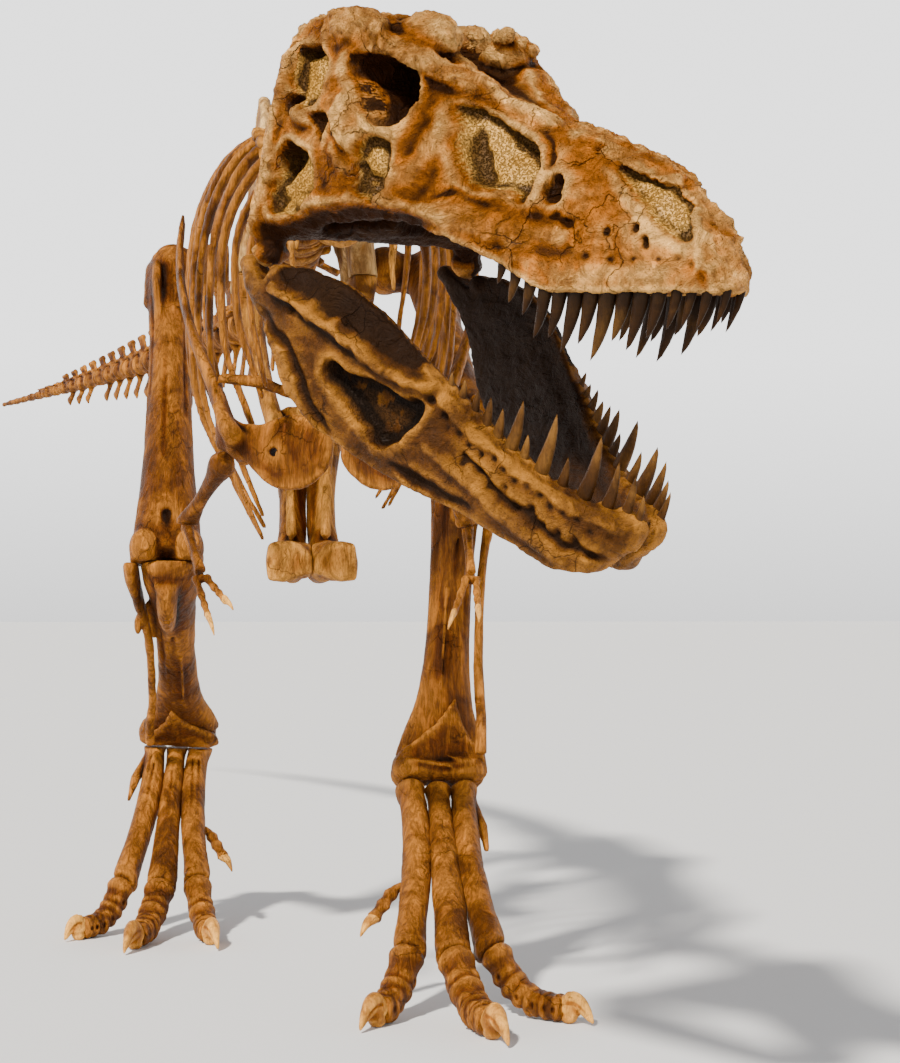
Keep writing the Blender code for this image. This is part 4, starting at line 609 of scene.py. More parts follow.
# %% Strokes and sunk outlines on a sheet
class Sheet:
    """Relief over two coordinates, painted with strokes and outlines."""

    def __init__(self, u, v):
        self.u = u[:, None]
        self.v = v[None, :]
        self.relief = np.zeros((len(u), len(v)))
        self.infill = np.zeros((len(u), len(v)))
        # mask of painted shade over openings, hollows and undercuts
        self.painted_shade = np.zeros((len(u), len(v)))
        flat = np.stack(np.broadcast_arrays(self.u, self.v, 0.0 * self.u), -1).reshape(-1, 3)
        self.stray = [(0.75 * lattice(flat, 5.5, k) + 0.45 * lattice(flat, 2.1, k + 3)).reshape(len(u),
            len(v)) for k in (31, 41)]

    def stroke(self, points, widths, height, sharp=1.0):
        """A ridge (or a groove, if height is negative) along the points."""
        widths = list(widths) if hasattr(widths, "__len__") else [widths] * len(points)
        best = np.full(self.relief.shape, 9.0)
        for (ua, va), (ub, vb), wa, wb in zip(points, points[1:], widths, widths[1:]):
            du, dv = ub - ua, vb - va
            p, q = self.u + self.stray[0] - ua, self.v + self.stray[1] - va
            t = np.clip((p * du + q * dv) / max(du * du + dv * dv, 1e-9), 0, 1)
            away = np.hypot(p - t * du, q - t * dv) / (wa + t * (wb - wa))
            best = np.minimum(best, away)
        self.relief += height * np.clip(1.0 - best ** 2, 0.0, 1.0) ** sharp

    def inside(self, outline, rounding=3):
        """Signed distance to a closed outline, positive inside."""
        return outline_distance(outline, self.u + self.stray[0], self.v + self.stray[1], rounding)

    def sink(self, outline, depth, edge=1.0, rim=0.0, fill=0.0, painted_shade=0.0):
        """Sink an outline to a depth with a raised rim; fill marks plaster, and the last argument marks painted
        shade in the opening.
        """
        near = self.inside(outline)
        wall = np.clip(near / edge, 0.0, 1.0)
        self.relief -= depth * wall * wall * (3 - 2 * wall)
        if rim:
            self.relief += rim * np.exp(-((near + 0.7) / 1.6) ** 2)
        if fill:
            self.infill = np.maximum(self.infill, fill * np.clip((near - 0.35 * edge) / 0.5, 0.0, 1.0))
        # painted shade inside the outline
        if painted_shade:
            self.painted_shade = np.maximum(self.painted_shade, painted_shade * np.clip((near + 0.1) / 0.9, 0.0, 1.0))
        return near

    def dots(self, places, radius, depth):
        """Small round pits, such as the nutrient holes over the teeth."""
        for u, v in places:
            away = np.hypot(self.u - u, self.v - v) / radius
            self.relief -= depth * np.clip(1.0 - away ** 2, 0.0, 1.0)


print("skull length", round(UNIT * 100, 3), "m")

# %% [markdown]
# ### The cheek in low relief
#
# From the snout back come the nostril, the big window in front of the eye, the eye socket
# behind its upright bar, and the two windows behind it. In this skull the windows are
# filled with stippled plaster, sunk a little below their rims, and only the eye socket is
# open. Strokes raise the bars, the ridge over the cheek and the rims; rows of pits are the
# nutrient holes above the teeth. The openings, the deep parts of the windows and the
# undercut below the cheek bar are marked for painted shade.

# %% Paint the cheek
NARIS = ((24.8, 24.0), (14.0, 20.9), (7.6, 18.2), (3.6, 13.4), (4.0, 10.6), (9.0, 12.0), (15.0, 16.2),
    (21.0, 20.4))
NARIS_SLIT = ((25.2, 24.4), (14.2, 21.2), (7.6, 18.6), (3.4, 13.4), (3.4, 10.8), (4.9, 13.2), (8.6, 16.6),
    (15.0, 19.4), (22.0, 22.2))
ANTORBITAL = ((57.8, 32.0), (50.0, 29.4), (43.0, 26.8), (37.6, 22.6), (36.6, 18.0), (37.6, 13.4),
    (41.0, 15.2), (49.6, 15.6), (52.4, 18.0), (54.4, 25.0))
# outlines named DARK mark painted shade cast by the rims
ANTORBITAL_DARK = ((57.2, 31.4), (50.0, 28.6), (43.2, 26.0), (38.4, 22.2), (37.8, 19.4), (41.0, 20.4),
    (46.0, 24.6), (52.0, 28.4), (56.2, 30.0))
ANTORBITAL_LOW = ((54.0, 27.6), (51.4, 26.8), (47.6, 21.6), (45.0, 16.8), (50.0, 16.4), (52.0, 19.0))
SMALL_WINDOW = ((35.0, 18.0), (33.6, 20.6), (31.4, 19.6), (31.2, 16.6), (32.6, 14.8), (34.4, 15.8))
ORBIT = ((76.6, 37.4), (72.5, 39.0), (67.5, 38.0), (63.8, 34.4), (62.6, 28.4), (64.0, 25.0), (67.0, 25.0),
    (70.4, 28.6), (73.6, 32.6))
ORBIT_FOOT = ((67.6, 23.4), (64.2, 23.4), (62.4, 20.0), (61.6, 14.0), (63.4, 10.6), (67.0, 11.2),
    (68.8, 15.0), (69.0, 20.0))
REAR_HIGH = ((91.0, 37.6), (86.6, 39.0), (81.6, 37.8), (80.0, 33.0), (80.6, 28.0), (84.6, 26.2),
    (88.0, 27.6), (91.4, 31.6))
REAR_HIGH_DARK = ((91.4, 37.8), (86.6, 39.2), (82.0, 38.4), (84.8, 36.8), (88.8, 35.0))
REAR_HOLE = ((90.2, 30.2), (87.4, 29.4), (86.4, 26.2), (88.6, 24.6), (90.4, 26.6))
REAR_LOW = ((89.6, 20.6), (82.6, 20.6), (78.0, 16.4), (76.8, 10.0), (79.6, 6.6), (88.6, 5.4), (91.2, 12.0))
REAR_LOW_DARK = ((90.0, 20.8), (83.2, 21.2), (84.4, 15.4), (89.8, 10.2))
WAIST_HOLE = ((83.6, 26.6), (76.4, 26.0), (77.2, 19.6), (80.4, 22.4))


def paint_cheek(y, z, right):
    """Relief of one side of the skull over (y, z), in the skull's units."""
    sheet = Sheet(y, z)
    # ridges and bars first, so that windows cut through them
    sheet.stroke(((30, 9), (42, 9.5), (54, 11.5), (62, 11.0), (74, 9.5), (86, 6.5)),
        (3.2, 3.4, 3.4, 3.0, 3.0, 2.6), 1.5)
    sheet.stroke(((60, 12.5), (57.2, 20), (56.4, 28), (58.0, 35)), (3.4, 2.6, 2.6, 3.6), 1.3)
    sheet.stroke(((77, 40), (76, 33), (71, 25), (66, 18)), (4.2, 4.6, 4.8, 3.4), 1.5)
    sheet.stroke(((73.6, 27.4), (71.6, 22.6), (70.4, 17.4)), (2.6, 3.3, 2.4), 2.0)
    sheet.stroke(((76.6, 24.5), (72, 14.5), (74, 9)), (3.4, 3.2, 3.0), 1.1)
    sheet.stroke(((92.4, 36), (92.2, 24), (92.6, 12), (94, 4)), (2.2, 2.0, 2.0, 2.6), 1.5)
    sheet.stroke(((85, 25.8), (80, 24.6), (78.4, 22.6)), (2.2, 1.8, 1.2), 1.6)
    sheet.stroke(((34, 27.6), (44, 30.4), (56, 35.4), (62, 38.4)), (1.8, 1.8, 2.2, 3.0), 1.4)
    sheet.stroke(((26.6, 25.4), (16, 23.2), (7.6, 20.4), (1.6, 14.0), (0.4, 8.0)),
        (1.3, 1.4, 1.5, 1.6, 1.8), 1.1)
    sheet.stroke(((38, 6), (28, 3.0), (18, 3.8), (8, 5.0)), (2.6, 2.8, 2.6, 2.4), 0.7)
    # windows; the marks after the depth are plaster fill and painted shade in the openings
    sheet.sink(NARIS, 1.6, 0.9, 0.6, fill=1.0)
    sheet.sink(NARIS_SLIT, 1.7, 0.9, painted_shade=0.55)
    sheet.sink(ANTORBITAL, 2.9, 1.1, 0.9, fill=1.0)
    sheet.sink(ANTORBITAL_DARK, 1.7, 1.3, painted_shade=0.8)
    sheet.sink(ANTORBITAL_LOW, 1.3, 1.3, painted_shade=0.6)
    sheet.sink(SMALL_WINDOW, 3.0, 0.8, 0.5, painted_shade=0.85)
    sheet.sink(ORBIT, 3.4, 1.2, 0.9, painted_shade=0.9)
    sheet.sink(ORBIT_FOOT, 2.6, 0.9, 0.4, fill=1.0)
    sheet.sink(REAR_HIGH, 3.0, 1.2, 0.6, fill=1.0)
    sheet.sink(REAR_HIGH_DARK, 3.4, 1.0, painted_shade=0.8)
    sheet.sink(REAR_LOW, 2.8, 1.2, 0.6, fill=1.0)
    sheet.sink(REAR_LOW_DARK, 3.6, 1.2, painted_shade=0.8)
    sheet.sink(REAR_HOLE, 4.0, 1.0, painted_shade=0.9)
    sheet.sink(WAIST_HOLE, 3.4, 1.1, painted_shade=0.75)
    # the cheek's lower edge turns in under the bar, with painted shade in the undercut
    edge = np.interp(y, [r[0] for r in SKULL_ROWS], [r[1] for r in SKULL_ROWS])[:, None]
    reach = (np.clip((y - 50.0) / 7.0, 0.0, 1.0) * np.clip((95.0 - y) / 3.0, 0.0, 1.0))[:, None]
    under = reach * np.clip((edge + 3.6 - z[None, :]) / 2.4, 0.0, 1.0)
    sheet.relief -= 4.0 * under ** 1.5
    sheet.painted_shade = np.maximum(sheet.painted_shade, 0.85 * under)
    # sutures and grooves
    groove = -0.75
    sheet.stroke(((76.8, 25), (72.4, 21.4), (68.6, 17.2), (66.4, 15.6), (64.8, 15.4)),
        (0.7, 0.6, 0.8, 0.7, 0.5), 1.8 * groove)
    sheet.stroke(((40.4, 27.4), (37.4, 28.0), (35.6, 27.2), (33.4, 28.4), (31.0, 27.8)), 0.45, 1.5 * groove)
    sheet.stroke(((31.0, 27.6), (27.0, 25.2), (23.4, 23.4)), 0.45, groove)
    sheet.stroke(((39.6, 26.2), (37.6, 25.0), (36.2, 22.6), (35.6, 20.8)), (0.5, 0.9, 0.9, 0.5),
        1.8 * groove)
    sheet.stroke(((1.2, 12), (0.2, 9.0), (0.8, 6.0), (0.2, 3.4)), 0.55, 1.4 * groove)
    sheet.stroke(((58.8, 14.0), (55.0, 13.0), (50.4, 15.0), (44, 12.6)), 0.6, groove)
    sheet.stroke(((84.0, 8.6), (79.4, 7.4), (75.6, 8.0), (70.0, 5.6)), 0.6, groove)
    sheet.stroke(((60.4, 37.8), (55.6, 34.4), (50.0, 32.4), (46.0, 31.4)), 0.55, groove)
    # pits
    sheet.dots(((14.3, 12.4), (12.0, 10.8)), 1.05, 1.9)
    sheet.dots(((11.8, 9.8), (20.2, 11.2), (29.8, 12.0), (28.6, 11.6), (31.4, 12.6)), 0.85, 1.5)
    sheet.dots(((18.0, 6.5), (13.4, 7.2), (8.6, 7.6), (23.4, 6.8), (16.0, 14.0), (2.4, 7.6), (5.0, 8.4)),
        0.6, 1.0)
    low = np.interp(np.arange(2, 40, 1.75), [r[0] for r in SKULL_ROWS], [r[1] for r in SKULL_ROWS])
    sheet.dots([(u, v + 1.6) for u, v in zip(np.arange(2, 40, 1.75), low)], 0.42, 0.9)
    sheet.dots([(u + 0.8, v + 3.7) for u, v in zip(np.arange(20, 44, 3.1), low[10:])], 0.42, 0.7)
    if not right:
        sheet.relief *= 0.96
    return sheet


# %% Model the skull
def rows_at(table, places, soft=2.2):
    """Columns of a table at many places, rounded off so that no row shows as a crease."""
    table = np.array(table, float)
    fine = np.arange(table[0, 0] - 12, table[-1, 0] + 12, 0.25)
    width = max(int(soft / 0.25) | 1, 3)
    kernel = np.hanning(width + 2)[1:-1]
    kernel /= kernel.sum()
    out = []
    for k in range(1, table.shape[1]):
        column = np.interp(fine, table[:, 0], table[:, k])
        column = np.convolve(np.pad(column, width // 2, mode="edge"), kernel, mode="valid")
        out.append(np.interp(places, fine, column))
    return out


SKULL_CELL = 0.47
JAW_CELL = 0.45
skull = Clay((-36.0, -7.0, -10.0), (36.0, 101.0, 52.0), SKULL_CELL)
X, Y, Z = skull.axes
LOW, TOP, GUM, CHEEK, ROOF = [c[:, None] for c in rows_at(SKULL_ROWS, Y)]
share = (Z[None, :] - LOW) / np.maximum(TOP - LOW, 1.0)
share = np.clip(share, 0.0, 1.0)
width = np.where(share < 0.45, GUM + (CHEEK - GUM) * (share / 0.45) ** 1.2,
    np.where(share < 0.82, CHEEK + 0.45 * (ROOF - CHEEK) * np.clip((share - 0.45) / 0.37, 0.0, 1.0) ** 1.5,
    CHEEK + 0.45 * (ROOF - CHEEK) + 0.55 * (ROOF - CHEEK) * np.clip((share - 0.82) / 0.18, 0.0,
    1.0) ** 1.2))
sheets = {side: paint_cheek(Y, Z, side < 0) for side in (-1, 1)}
widths = {side: np.maximum(width + sheets[side].relief, 0.4) for side in (-1, 1)}
roof_x = X[:, None]
across = np.clip(np.abs(roof_x) / np.maximum(ROOF[:, 0][None, :], 2.0), 0.0, 1.3) ** 2
dip = np.interp(Y, (38, 50, 60, 68, 80, 86), (0.0, 1.6, 3.6, 5.6, 5.0, 0.0))[None, :]
lean = np.interp(Y, (36, 50, 62, 80, 88), (0.0, 1.6, 3.2, 3.2, 0.0))[None, :] * np.clip(roof_x / 6.0, 0.0,
    1.0)
crown = TOP[:, 0][None, :] - 0.35 * across - dip * np.clip(1.0 - across, 0.0, 1.0) - lean
front_tip = -3.6 + 0.12 * np.abs(Z[None, :] - 5.0) ** 1.3
for side in (-1, 1):
    half = X * side >= 0 if side > 0 else X < 0
    block = np.abs(X[half])[:, None, None] - widths[side][None, :, :]
    block = np.maximum(block, Z[None, None, :] - crown[half][:, :, None])
    block = np.maximum(block, LOW[None, :, :] - Z[None, None, :])
    block = np.maximum(block, (front_tip - Y[:, None])[None, :, :])
    block = np.maximum(block, Y[None, :, None] - 97.0)
    skull.field[half] = block.astype(np.float32)
skull.field = np.clip(skull.field, -8.0, 8.0)
# round the top edges a little by blurring the field once in each direction
for axis in range(3):
    skull.field = (0.5 * skull.field + 0.25 * np.roll(skull.field, 1, axis) + 0.25 * np.roll(skull.field,
        -1, axis))
print("skull clay", skull.field.shape)

# %% Bosses, openings and the underside
for side in (-1, 1):
    # the smooth boss over the eye, the rough one behind it and the ridge between; the left ones are pressed inward
    inward = 0.0 if side < 0 else 5.5
    skull.egg((side * (14.2 - 0.3 * inward), 67.4 + 1.3 * inward, 42.4 - 0.20 * inward),
        (5.4, 6.2 - 0.2 * inward, 4.6), soft=1.0)
    skull.egg((side * (23.4 - inward), 77.5 + 0.5 * inward, 42.8 - 0.3 * inward), (5.2, 7.0, 3.6), soft=1.4)
    if side < 0:
        skull.limb(((-13.5, 56, 33.6), (-18, 63, 37.6), (-22.6, 72, 40.4), (-25, 82, 40.4)),
            (1.8, 2.3, 2.8, 2.6), 2.2)
        skull.limb(((-6.5, 40, 29.0), (-9, 50, 31.4), (-12, 59, 35.6)), (1.6, 1.9, 2.2), 2.0)
    for k in range(26):
        turn = k * 2.4
        if side < 0:
            skull.egg((-22.0 - 4.8 * math.cos(turn), 75.5 + 7.6 * math.sin(turn * 1.3), 44.8 - 0.10 * k),
                (1.5 - 0.5 * (k % 3), 1.9 - 0.4 * (k % 2), 1.1), soft=0.6)
        else:
            skull.egg((12.6 + 4.2 * math.cos(turn), 74.9 + 4.4 * math.sin(turn * 1.7),
                44.2 + 1.2 * math.sin(turn * 0.7)), (1.7 - 0.4 * (k % 3), 1.7 - 0.5 * (k % 2), 1.3),
                soft=0.5)
    # eye socket, temple opening and the space for the jaw muscles
    for y, z, size in ((73.0, 35.8, 2.8), (70.4, 35.2, 3.6), (68.2, 33.6, 4.0), (66.8, 30.8, 3.8),
        (66.2, 28.2, 3.2)):
        skull.limb(((side * 36, y, z), (side * 22, y - 0.6, z - 0.4), (side * 12, y - 2.5, z - 2.0)),
            (size, size, size * 0.9), 0.7, away=True)
    skull.egg((side * 10.6, 82.5, 47.5), (5.2, 6.2, 9.0), soft=1.2, away=True)
    skull.limb(((side * 18.6, 77, 16), (side * 19.4, 76, -12)), (7.0, 10.0), 1.2, (1, 0, 0), 0.78,
        away=True)
    skull.egg((side * 32.4, 88.0, 33.4), (4.4, 3.2, 3.0), soft=0.8, away=True)
    # jaw joint
    skull.limb(((side * 27.2, 92.6, 24), (side * 26.8, 93.8, 8), (side * 26.5, 94.0, -1.4)),
        (2.4, 2.6, 3.2), 1.6)
    skull.egg((side * 26.5, 94.0, -1.7), (4.3, 2.3, 2.0), soft=0.8)
    # palate bars behind the vault
    skull.limb(((side * 8, 56, 9.5), (side * 10.5, 70, 7.0), (side * 16, 84, 5.5), (side * 24, 92, 4)),
        (1.8, 1.5, 1.5, 1.8), 1.0)
skull.limb(((0, 4, 1.0), (0, 13, 2.4), (0, 30, 1.4), (0, 48, 5.0), (0, 64, 6.0)),
    (2.6, 5.4, 8.4, 12.0, 15.6), 1.2, (0, 0, 1), 0.72, away=True)
skull.slab((0, 99.0, 6.0), (19.6, 9.2, 27.0), 1.4, 3.0, away=True)
skull.limb(((-23, 93.2, 40.5), (-12, 91.0, 44.4), (0, 90.0, 45.4), (12, 91.0, 44.4), (23, 93.2, 40.5)), 2.3,
    1.6)
skull.limb(((0, 70, 43.4), (0, 80, 44.6), (0, 90, 45.2)), (2.4, 1.7, 2.2), 1.8)
skull.limb(((0, 83, 21), (0, 91, 21)), (4.4, 3.6), 1.8)
skull.limb(((0, 16, 3.6), (0, 36, 5.0), (0, 58, 10.0)), (1.0, 1.3, 1.4), 0.8)
for step in range(17):
    lean = 1.6 * math.sin(step * 2.4)
    at = 9.0 + step * 1.9
    top = float(np.interp(at, [r[0] for r in SKULL_ROWS], [r[2] for r in SKULL_ROWS]))
    skull.egg((lean, at, top - 1.2), (1.7, 1.6, 1.3), soft=1.1)


def on_cheek(key):
    """Reader of a painted mask at the skull's points."""
    def reader(points):
        values = np.zeros(len(points))
        for side in (-1, 1):
            mine = points[:, 0] * side > 0
            u = np.clip(((points[mine, 1] - Y[0]) / SKULL_CELL).round().astype(int), 0, len(Y) - 1)
            v = np.clip(((points[mine, 2] - Z[0]) / SKULL_CELL).round().astype(int), 0, len(Z) - 1)
            near = np.abs(points[mine, 0]) > widths[side][u, v] - 1.4
            values[mine] = getattr(sheets[side], key)[u, v] * near
        return values
    return reader


def inside_skull(points):
    """How deep a point lies behind the cheek's surface, from 0 to 1, joined with the cheek's marks; it paints
    shade over buried parts and openings.
    """
    depth = np.zeros(len(points))
    for side in (-1, 1):
        mine = points[:, 0] * side > 0
        u = np.clip(((points[mine, 1] - Y[0]) / SKULL_CELL).round().astype(int), 0, len(Y) - 1)
        v = np.clip(((points[mine, 2] - Z[0]) / SKULL_CELL).round().astype(int), 0, len(Z) - 1)
        buried = np.clip((width[u, v] - np.abs(points[mine, 0]) - 3.5) / 2.2, 0.0, 1.0)
        below_crown = np.clip((TOP[u, 0] - points[mine, 2] - 4.0) / 4.0, 0.0, 1.0)
        depth[mine] = buried * below_crown
    depth = depth * np.clip((points[:, 2] + 4.0) / 4.0, 0.35, 1.0)
    return np.maximum(depth, on_cheek("painted_shade")(points))


def skull_grain(points):
    """Roughness that grows over the snout's top and the bosses and fades on the plaster."""
    crest = np.clip((points[:, 2] - np.interp(points[:, 1], [r[0] for r in SKULL_ROWS],
        [r[2] for r in SKULL_ROWS]) + 7.0) / 6.0, 0.0, 1.0)
    fade = 1.0 - 0.55 * on_cheek("infill")(points)
    return (0.36 + 0.40 * crest) * fade


# the inner mask paints shade over the skull's buried and shadowed parts
cast(skull, "skull", SKULL_BONE, skull_grain, 2.8, 3, HEAD_TURN,
    {"infill": on_cheek("infill"), "inner": inside_skull}, 0.25, crease=0.75)

# %% [markdown]
# ### Teeth
#
# A tyrant's tooth is a thick curved spike, round in section, planted in a socket. Each is a
# loft of rings along a bent line, with the rings shrinking on a curve so that the tip is
# blunt rather than a needle. The lengths differ from tooth to tooth because each is shed
# and regrown on its own.

# %% Loft a tooth
def spike(root, tip, half_long, half_wide, bend, long_way, rings=11, corners=14):
    """Points and faces of one curved tooth or claw."""
    root, tip = np.array(root, float), np.array(tip, float)
    reach = np.linalg.norm(tip - root)
    points, quads, triangles = [], [], []
    for k in range(rings):
        t = k / rings
        centre = root + (tip - root) * t + np.array(bend) * (reach * math.sin(math.pi * t * 0.94))
        after = root + (tip - root) * (t + 0.05) + np.array(bend) * (reach
            * math.sin(math.pi * (t + 0.05) * 0.94))
        along = unit(after - centre)
        a = unit(np.array(long_way) - along * np.dot(long_way, along))
        b = np.cross(along, a)
        size = (1.0 - t ** 1.7) ** 0.72
        for j in range(corners):
            angle = 2 * math.pi * j / corners
            points.append(centre + a * (half_long * size * math.cos(angle)) + b
                * (half_wide * size * math.sin(angle)))
    points.append(tip + (tip - root) * 0.004)
    points.append(root)
    last = rings * corners
    for k in range(rings - 1):
        for j in range(corners):
            n = (j + 1) % corners
            quads.append((k * corners + j, k * corners + n, (k + 1) * corners + n, (k + 1) * corners + j))
    for j in range(corners):
        n = (j + 1) % corners
        triangles.append(((rings - 1) * corners + j, (rings - 1) * corners + n, last))
        triangles.append((n, j, last + 1))
    return np.array(points), np.array(quads), np.array(triangles)


def gather(pieces):
    """Join several point and face sets."""
    points, quads, triangles, count = [], [], [], 0
    for p, q, t in pieces:
        points.append(p)
        quads.append(q + count)
        triangles.append(t + count)
        count += len(p)
    return np.concatenate(points), np.concatenate(quads), np.concatenate(triangles)


def place_teeth(name, pieces, turn, tooth_painted_shade):
    """One object for a row of teeth, in place on the head; the range paints shade at the roots and highlight
    toward the tips.
    """
    points, quads, triangles = gather(pieces)
    count = len(pieces[0][0])
    # proud rises from root to tip: painted shade at the roots, painted highlight toward the tips
    along = np.tile(np.linspace(tooth_painted_shade[0], tooth_painted_shade[1], count), len(pieces))
    points = points + 0.06 * np.stack([lattice(points, 1.1, k) for k in (1, 2, 3)], 1)
    points = points @ turn[0].T + turn[1] + SHIFT
    item = to_mesh(name, points, quads, triangles, {"proud": along})
    item.data.materials.append(TOOTH)
    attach(item, "root")
    print(name, len(pieces), "teeth")
    return item


# %% Plant the upper teeth
UPPER = (
    # y, length below the gum, half length of the base
    (-1.9, 5.2, 1.0), (0.4, 6.2, 1.15), (2.9, 6.0, 1.15), (5.4, 6.6, 1.2), (8.8, 8.2, 1.7),
    (12.1, 10.4, 1.8), (15.4, 8.8, 1.8), (18.7, 12.4, 1.9), (22.0, 9.4, 1.8), (25.2, 11.2, 1.8),
    (28.5, 8.6, 1.7), (31.6, 8.8, 1.6), (34.6, 6.0, 1.5), (37.6, 5.6, 1.4), (40.4, 3.8, 1.2))
pieces = []
for side in (-1, 1):
    for k, (y, length, half) in enumerate(UPPER):
        low, top, gum, cheek, roof = read(SKULL_ROWS, y)
        x = side * max(gum - 1.9, 1.9)
        size = length * (1.0 if side < 0 else (0.92, 1.06, 0.84, 1.0)[k % 4])
        pieces.append(spike((x, y, low + 2.4), (x * 0.97, y + 0.6 + 0.16 * size, low - size), half,
            half * 0.74, (0, -0.055, 0), (0, 1, 0)))
# the upper row's low range is painted shade from the skull above
place_teeth("upper_teeth", pieces, HEAD_TURN, (0.10, 0.38))

# %% [markdown]
# ## The lower jaw
#
# Each half of the jaw is a deep thin plate: a tooth-bearing front, and behind it a high
# blade with a shelf where the jaw muscles ended. A large hollow on its outer face is given
# near-black painted shade, as are the upper face under the skull, a low band and the inner
# face. It is carved the same way as the cheek, as relief on a sheet, and the shelf's upper
# face leans inward.

# %% Model both halves of the jaw
JAW_ROWS = (
    # y, lower edge, upper edge, distance from the midline, half thickness
    (-92.0, -1.8, 3.2, 1.8, 1.6), (-88.5, -9.6, 3.6, 3.6, 2.8), (-83.0, -12.8, 1.8, 6.4, 3.0),
    (-74.0, -13.6, 0.6, 9.6, 2.9), (-62.0, -14.9, 1.4, 13.2, 2.7), (-50.0, -17.6, 4.0, 16.7, 2.5),
    (-40.0, -19.2, 6.6, 19.7, 2.3), (-30.0, -19.4, 8.6, 22.6, 2.2), (-20.0, -17.2, 8.4, 24.8, 2.2),
    (-10.0, -10.2, 5.8, 26.2, 2.4), (-3.5, -7.0, 1.6, 26.6, 3.0), (1.0, -5.8, -0.6, 26.5, 3.0),
    (6.0, -4.6, -1.6, 26.0, 1.6))
LOWER = (
    # y, length above the gum, half length of the base
    (-90.6, 5.2, 1.05), (-88.2, 7.4, 1.25), (-85.0, 9.0, 1.45), (-80.6, 12.4, 1.75), (-76.4, 6.0, 1.35),
    (-71.6, 11.8, 1.7), (-67.8, 4.8, 1.3), (-64.6, 9.6, 1.6), (-61.4, 5.6, 1.4), (-58.4, 5.4, 1.4),
    (-55.4, 4.6, 1.2), (-52.2, 4.0, 1.15), (-49.2, 3.0, 1.0))
FOSSA = ((-24.5, -5.5), (-30, -3.6), (-36, -2.6), (-42, -2.0), (-47, 0.0), (-49, -1.5), (-47.4, -8),
    (-46, -12), (-42, -14), (-36, -12.6), (-31.5, -10.5), (-27, -8.5))
BLADE = ((-7.0, -7.0), (-10.6, -8.2), (-15.6, -9.6), (-20.4, -12.0), (-25.6, -16.2), (-33.0, -19.6),
    (-27, -21.5), (-20, -19.5), (-12.0, -12.5))
LOW_BAND = ((-43, -14.4), (-50, -12.8), (-58, -11.8), (-67, -11.3), (-64, -13.6), (-56, -15.4),
    (-48, -16.8))
UPPER_FACE = ((-6, 1.2), (-12, 2.0), (-20, 3.2), (-29, 2.8), (-38, 2.6), (-45, 4.6), (-42, 9), (-30, 12),
    (-18, 12), (-6, 6))


def paint_jaw(y, z):
    """Relief of the jaw's outer face over (y, z)."""
    sheet = Sheet(y, z)
    sheet.stroke(((-8, -0.4), (-14, 0.4), (-22, 1.4), (-29, 1.0), (-38, 0.8), (-47, 2.6)),
        (1.5, 1.6, 1.7, 1.8, 1.8, 1.6), 2.3)
    # painted shadow of the skull on the upper face, painted shade in the hollow and along the low band
    sheet.sink(UPPER_FACE, 1.0, 1.4, painted_shade=0.9)
    sheet.sink(FOSSA, 3.2, 1.1, 0.5, fill=1.0, painted_shade=0.45)
    sheet.sink(LOW_BAND, 1.1, 1.6, painted_shade=0.6)
    blade = sheet.inside(BLADE)
    sheet.relief += 1.1 * np.clip(blade / 0.7, 0.0, 1.0) - 0.9 * np.exp(-((blade + 0.9) / 0.8) ** 2)
    sheet.stroke(((-50, 2.6), (-62, 0.4), (-74, -0.4), (-83, 0.6), (-90, 2.0)), 1.2, 0.8)
    sheet.stroke(((-60, -4.2), (-70, -5.6), (-78, -6.2), (-84, -6.2), (-90, -5.4)),
        (0.8, 1.2, 1.4, 1.3, 0.9), -1.3)
    sheet.stroke(((-52, -7), (-62, -8.2), (-72, -9), (-84, -10)), 1.5, 0.6)
    sheet.dots([(-54.0 - 2.7 * k, -1.4 + 0.5 * math.sin(k * 1.9)) for k in range(13)], 0.62, 1.1)
    sheet.dots([(-60.0 - 3.1 * k, -5.2 + 1.1 * math.sin(k * 2.7)) for k in range(10)], 0.85, 1.3)
    sheet.dots(((-13.6, -1.2), (-52.5, 0.2), (-48.6, 1.0)), 1.0, 1.6)
    return sheet


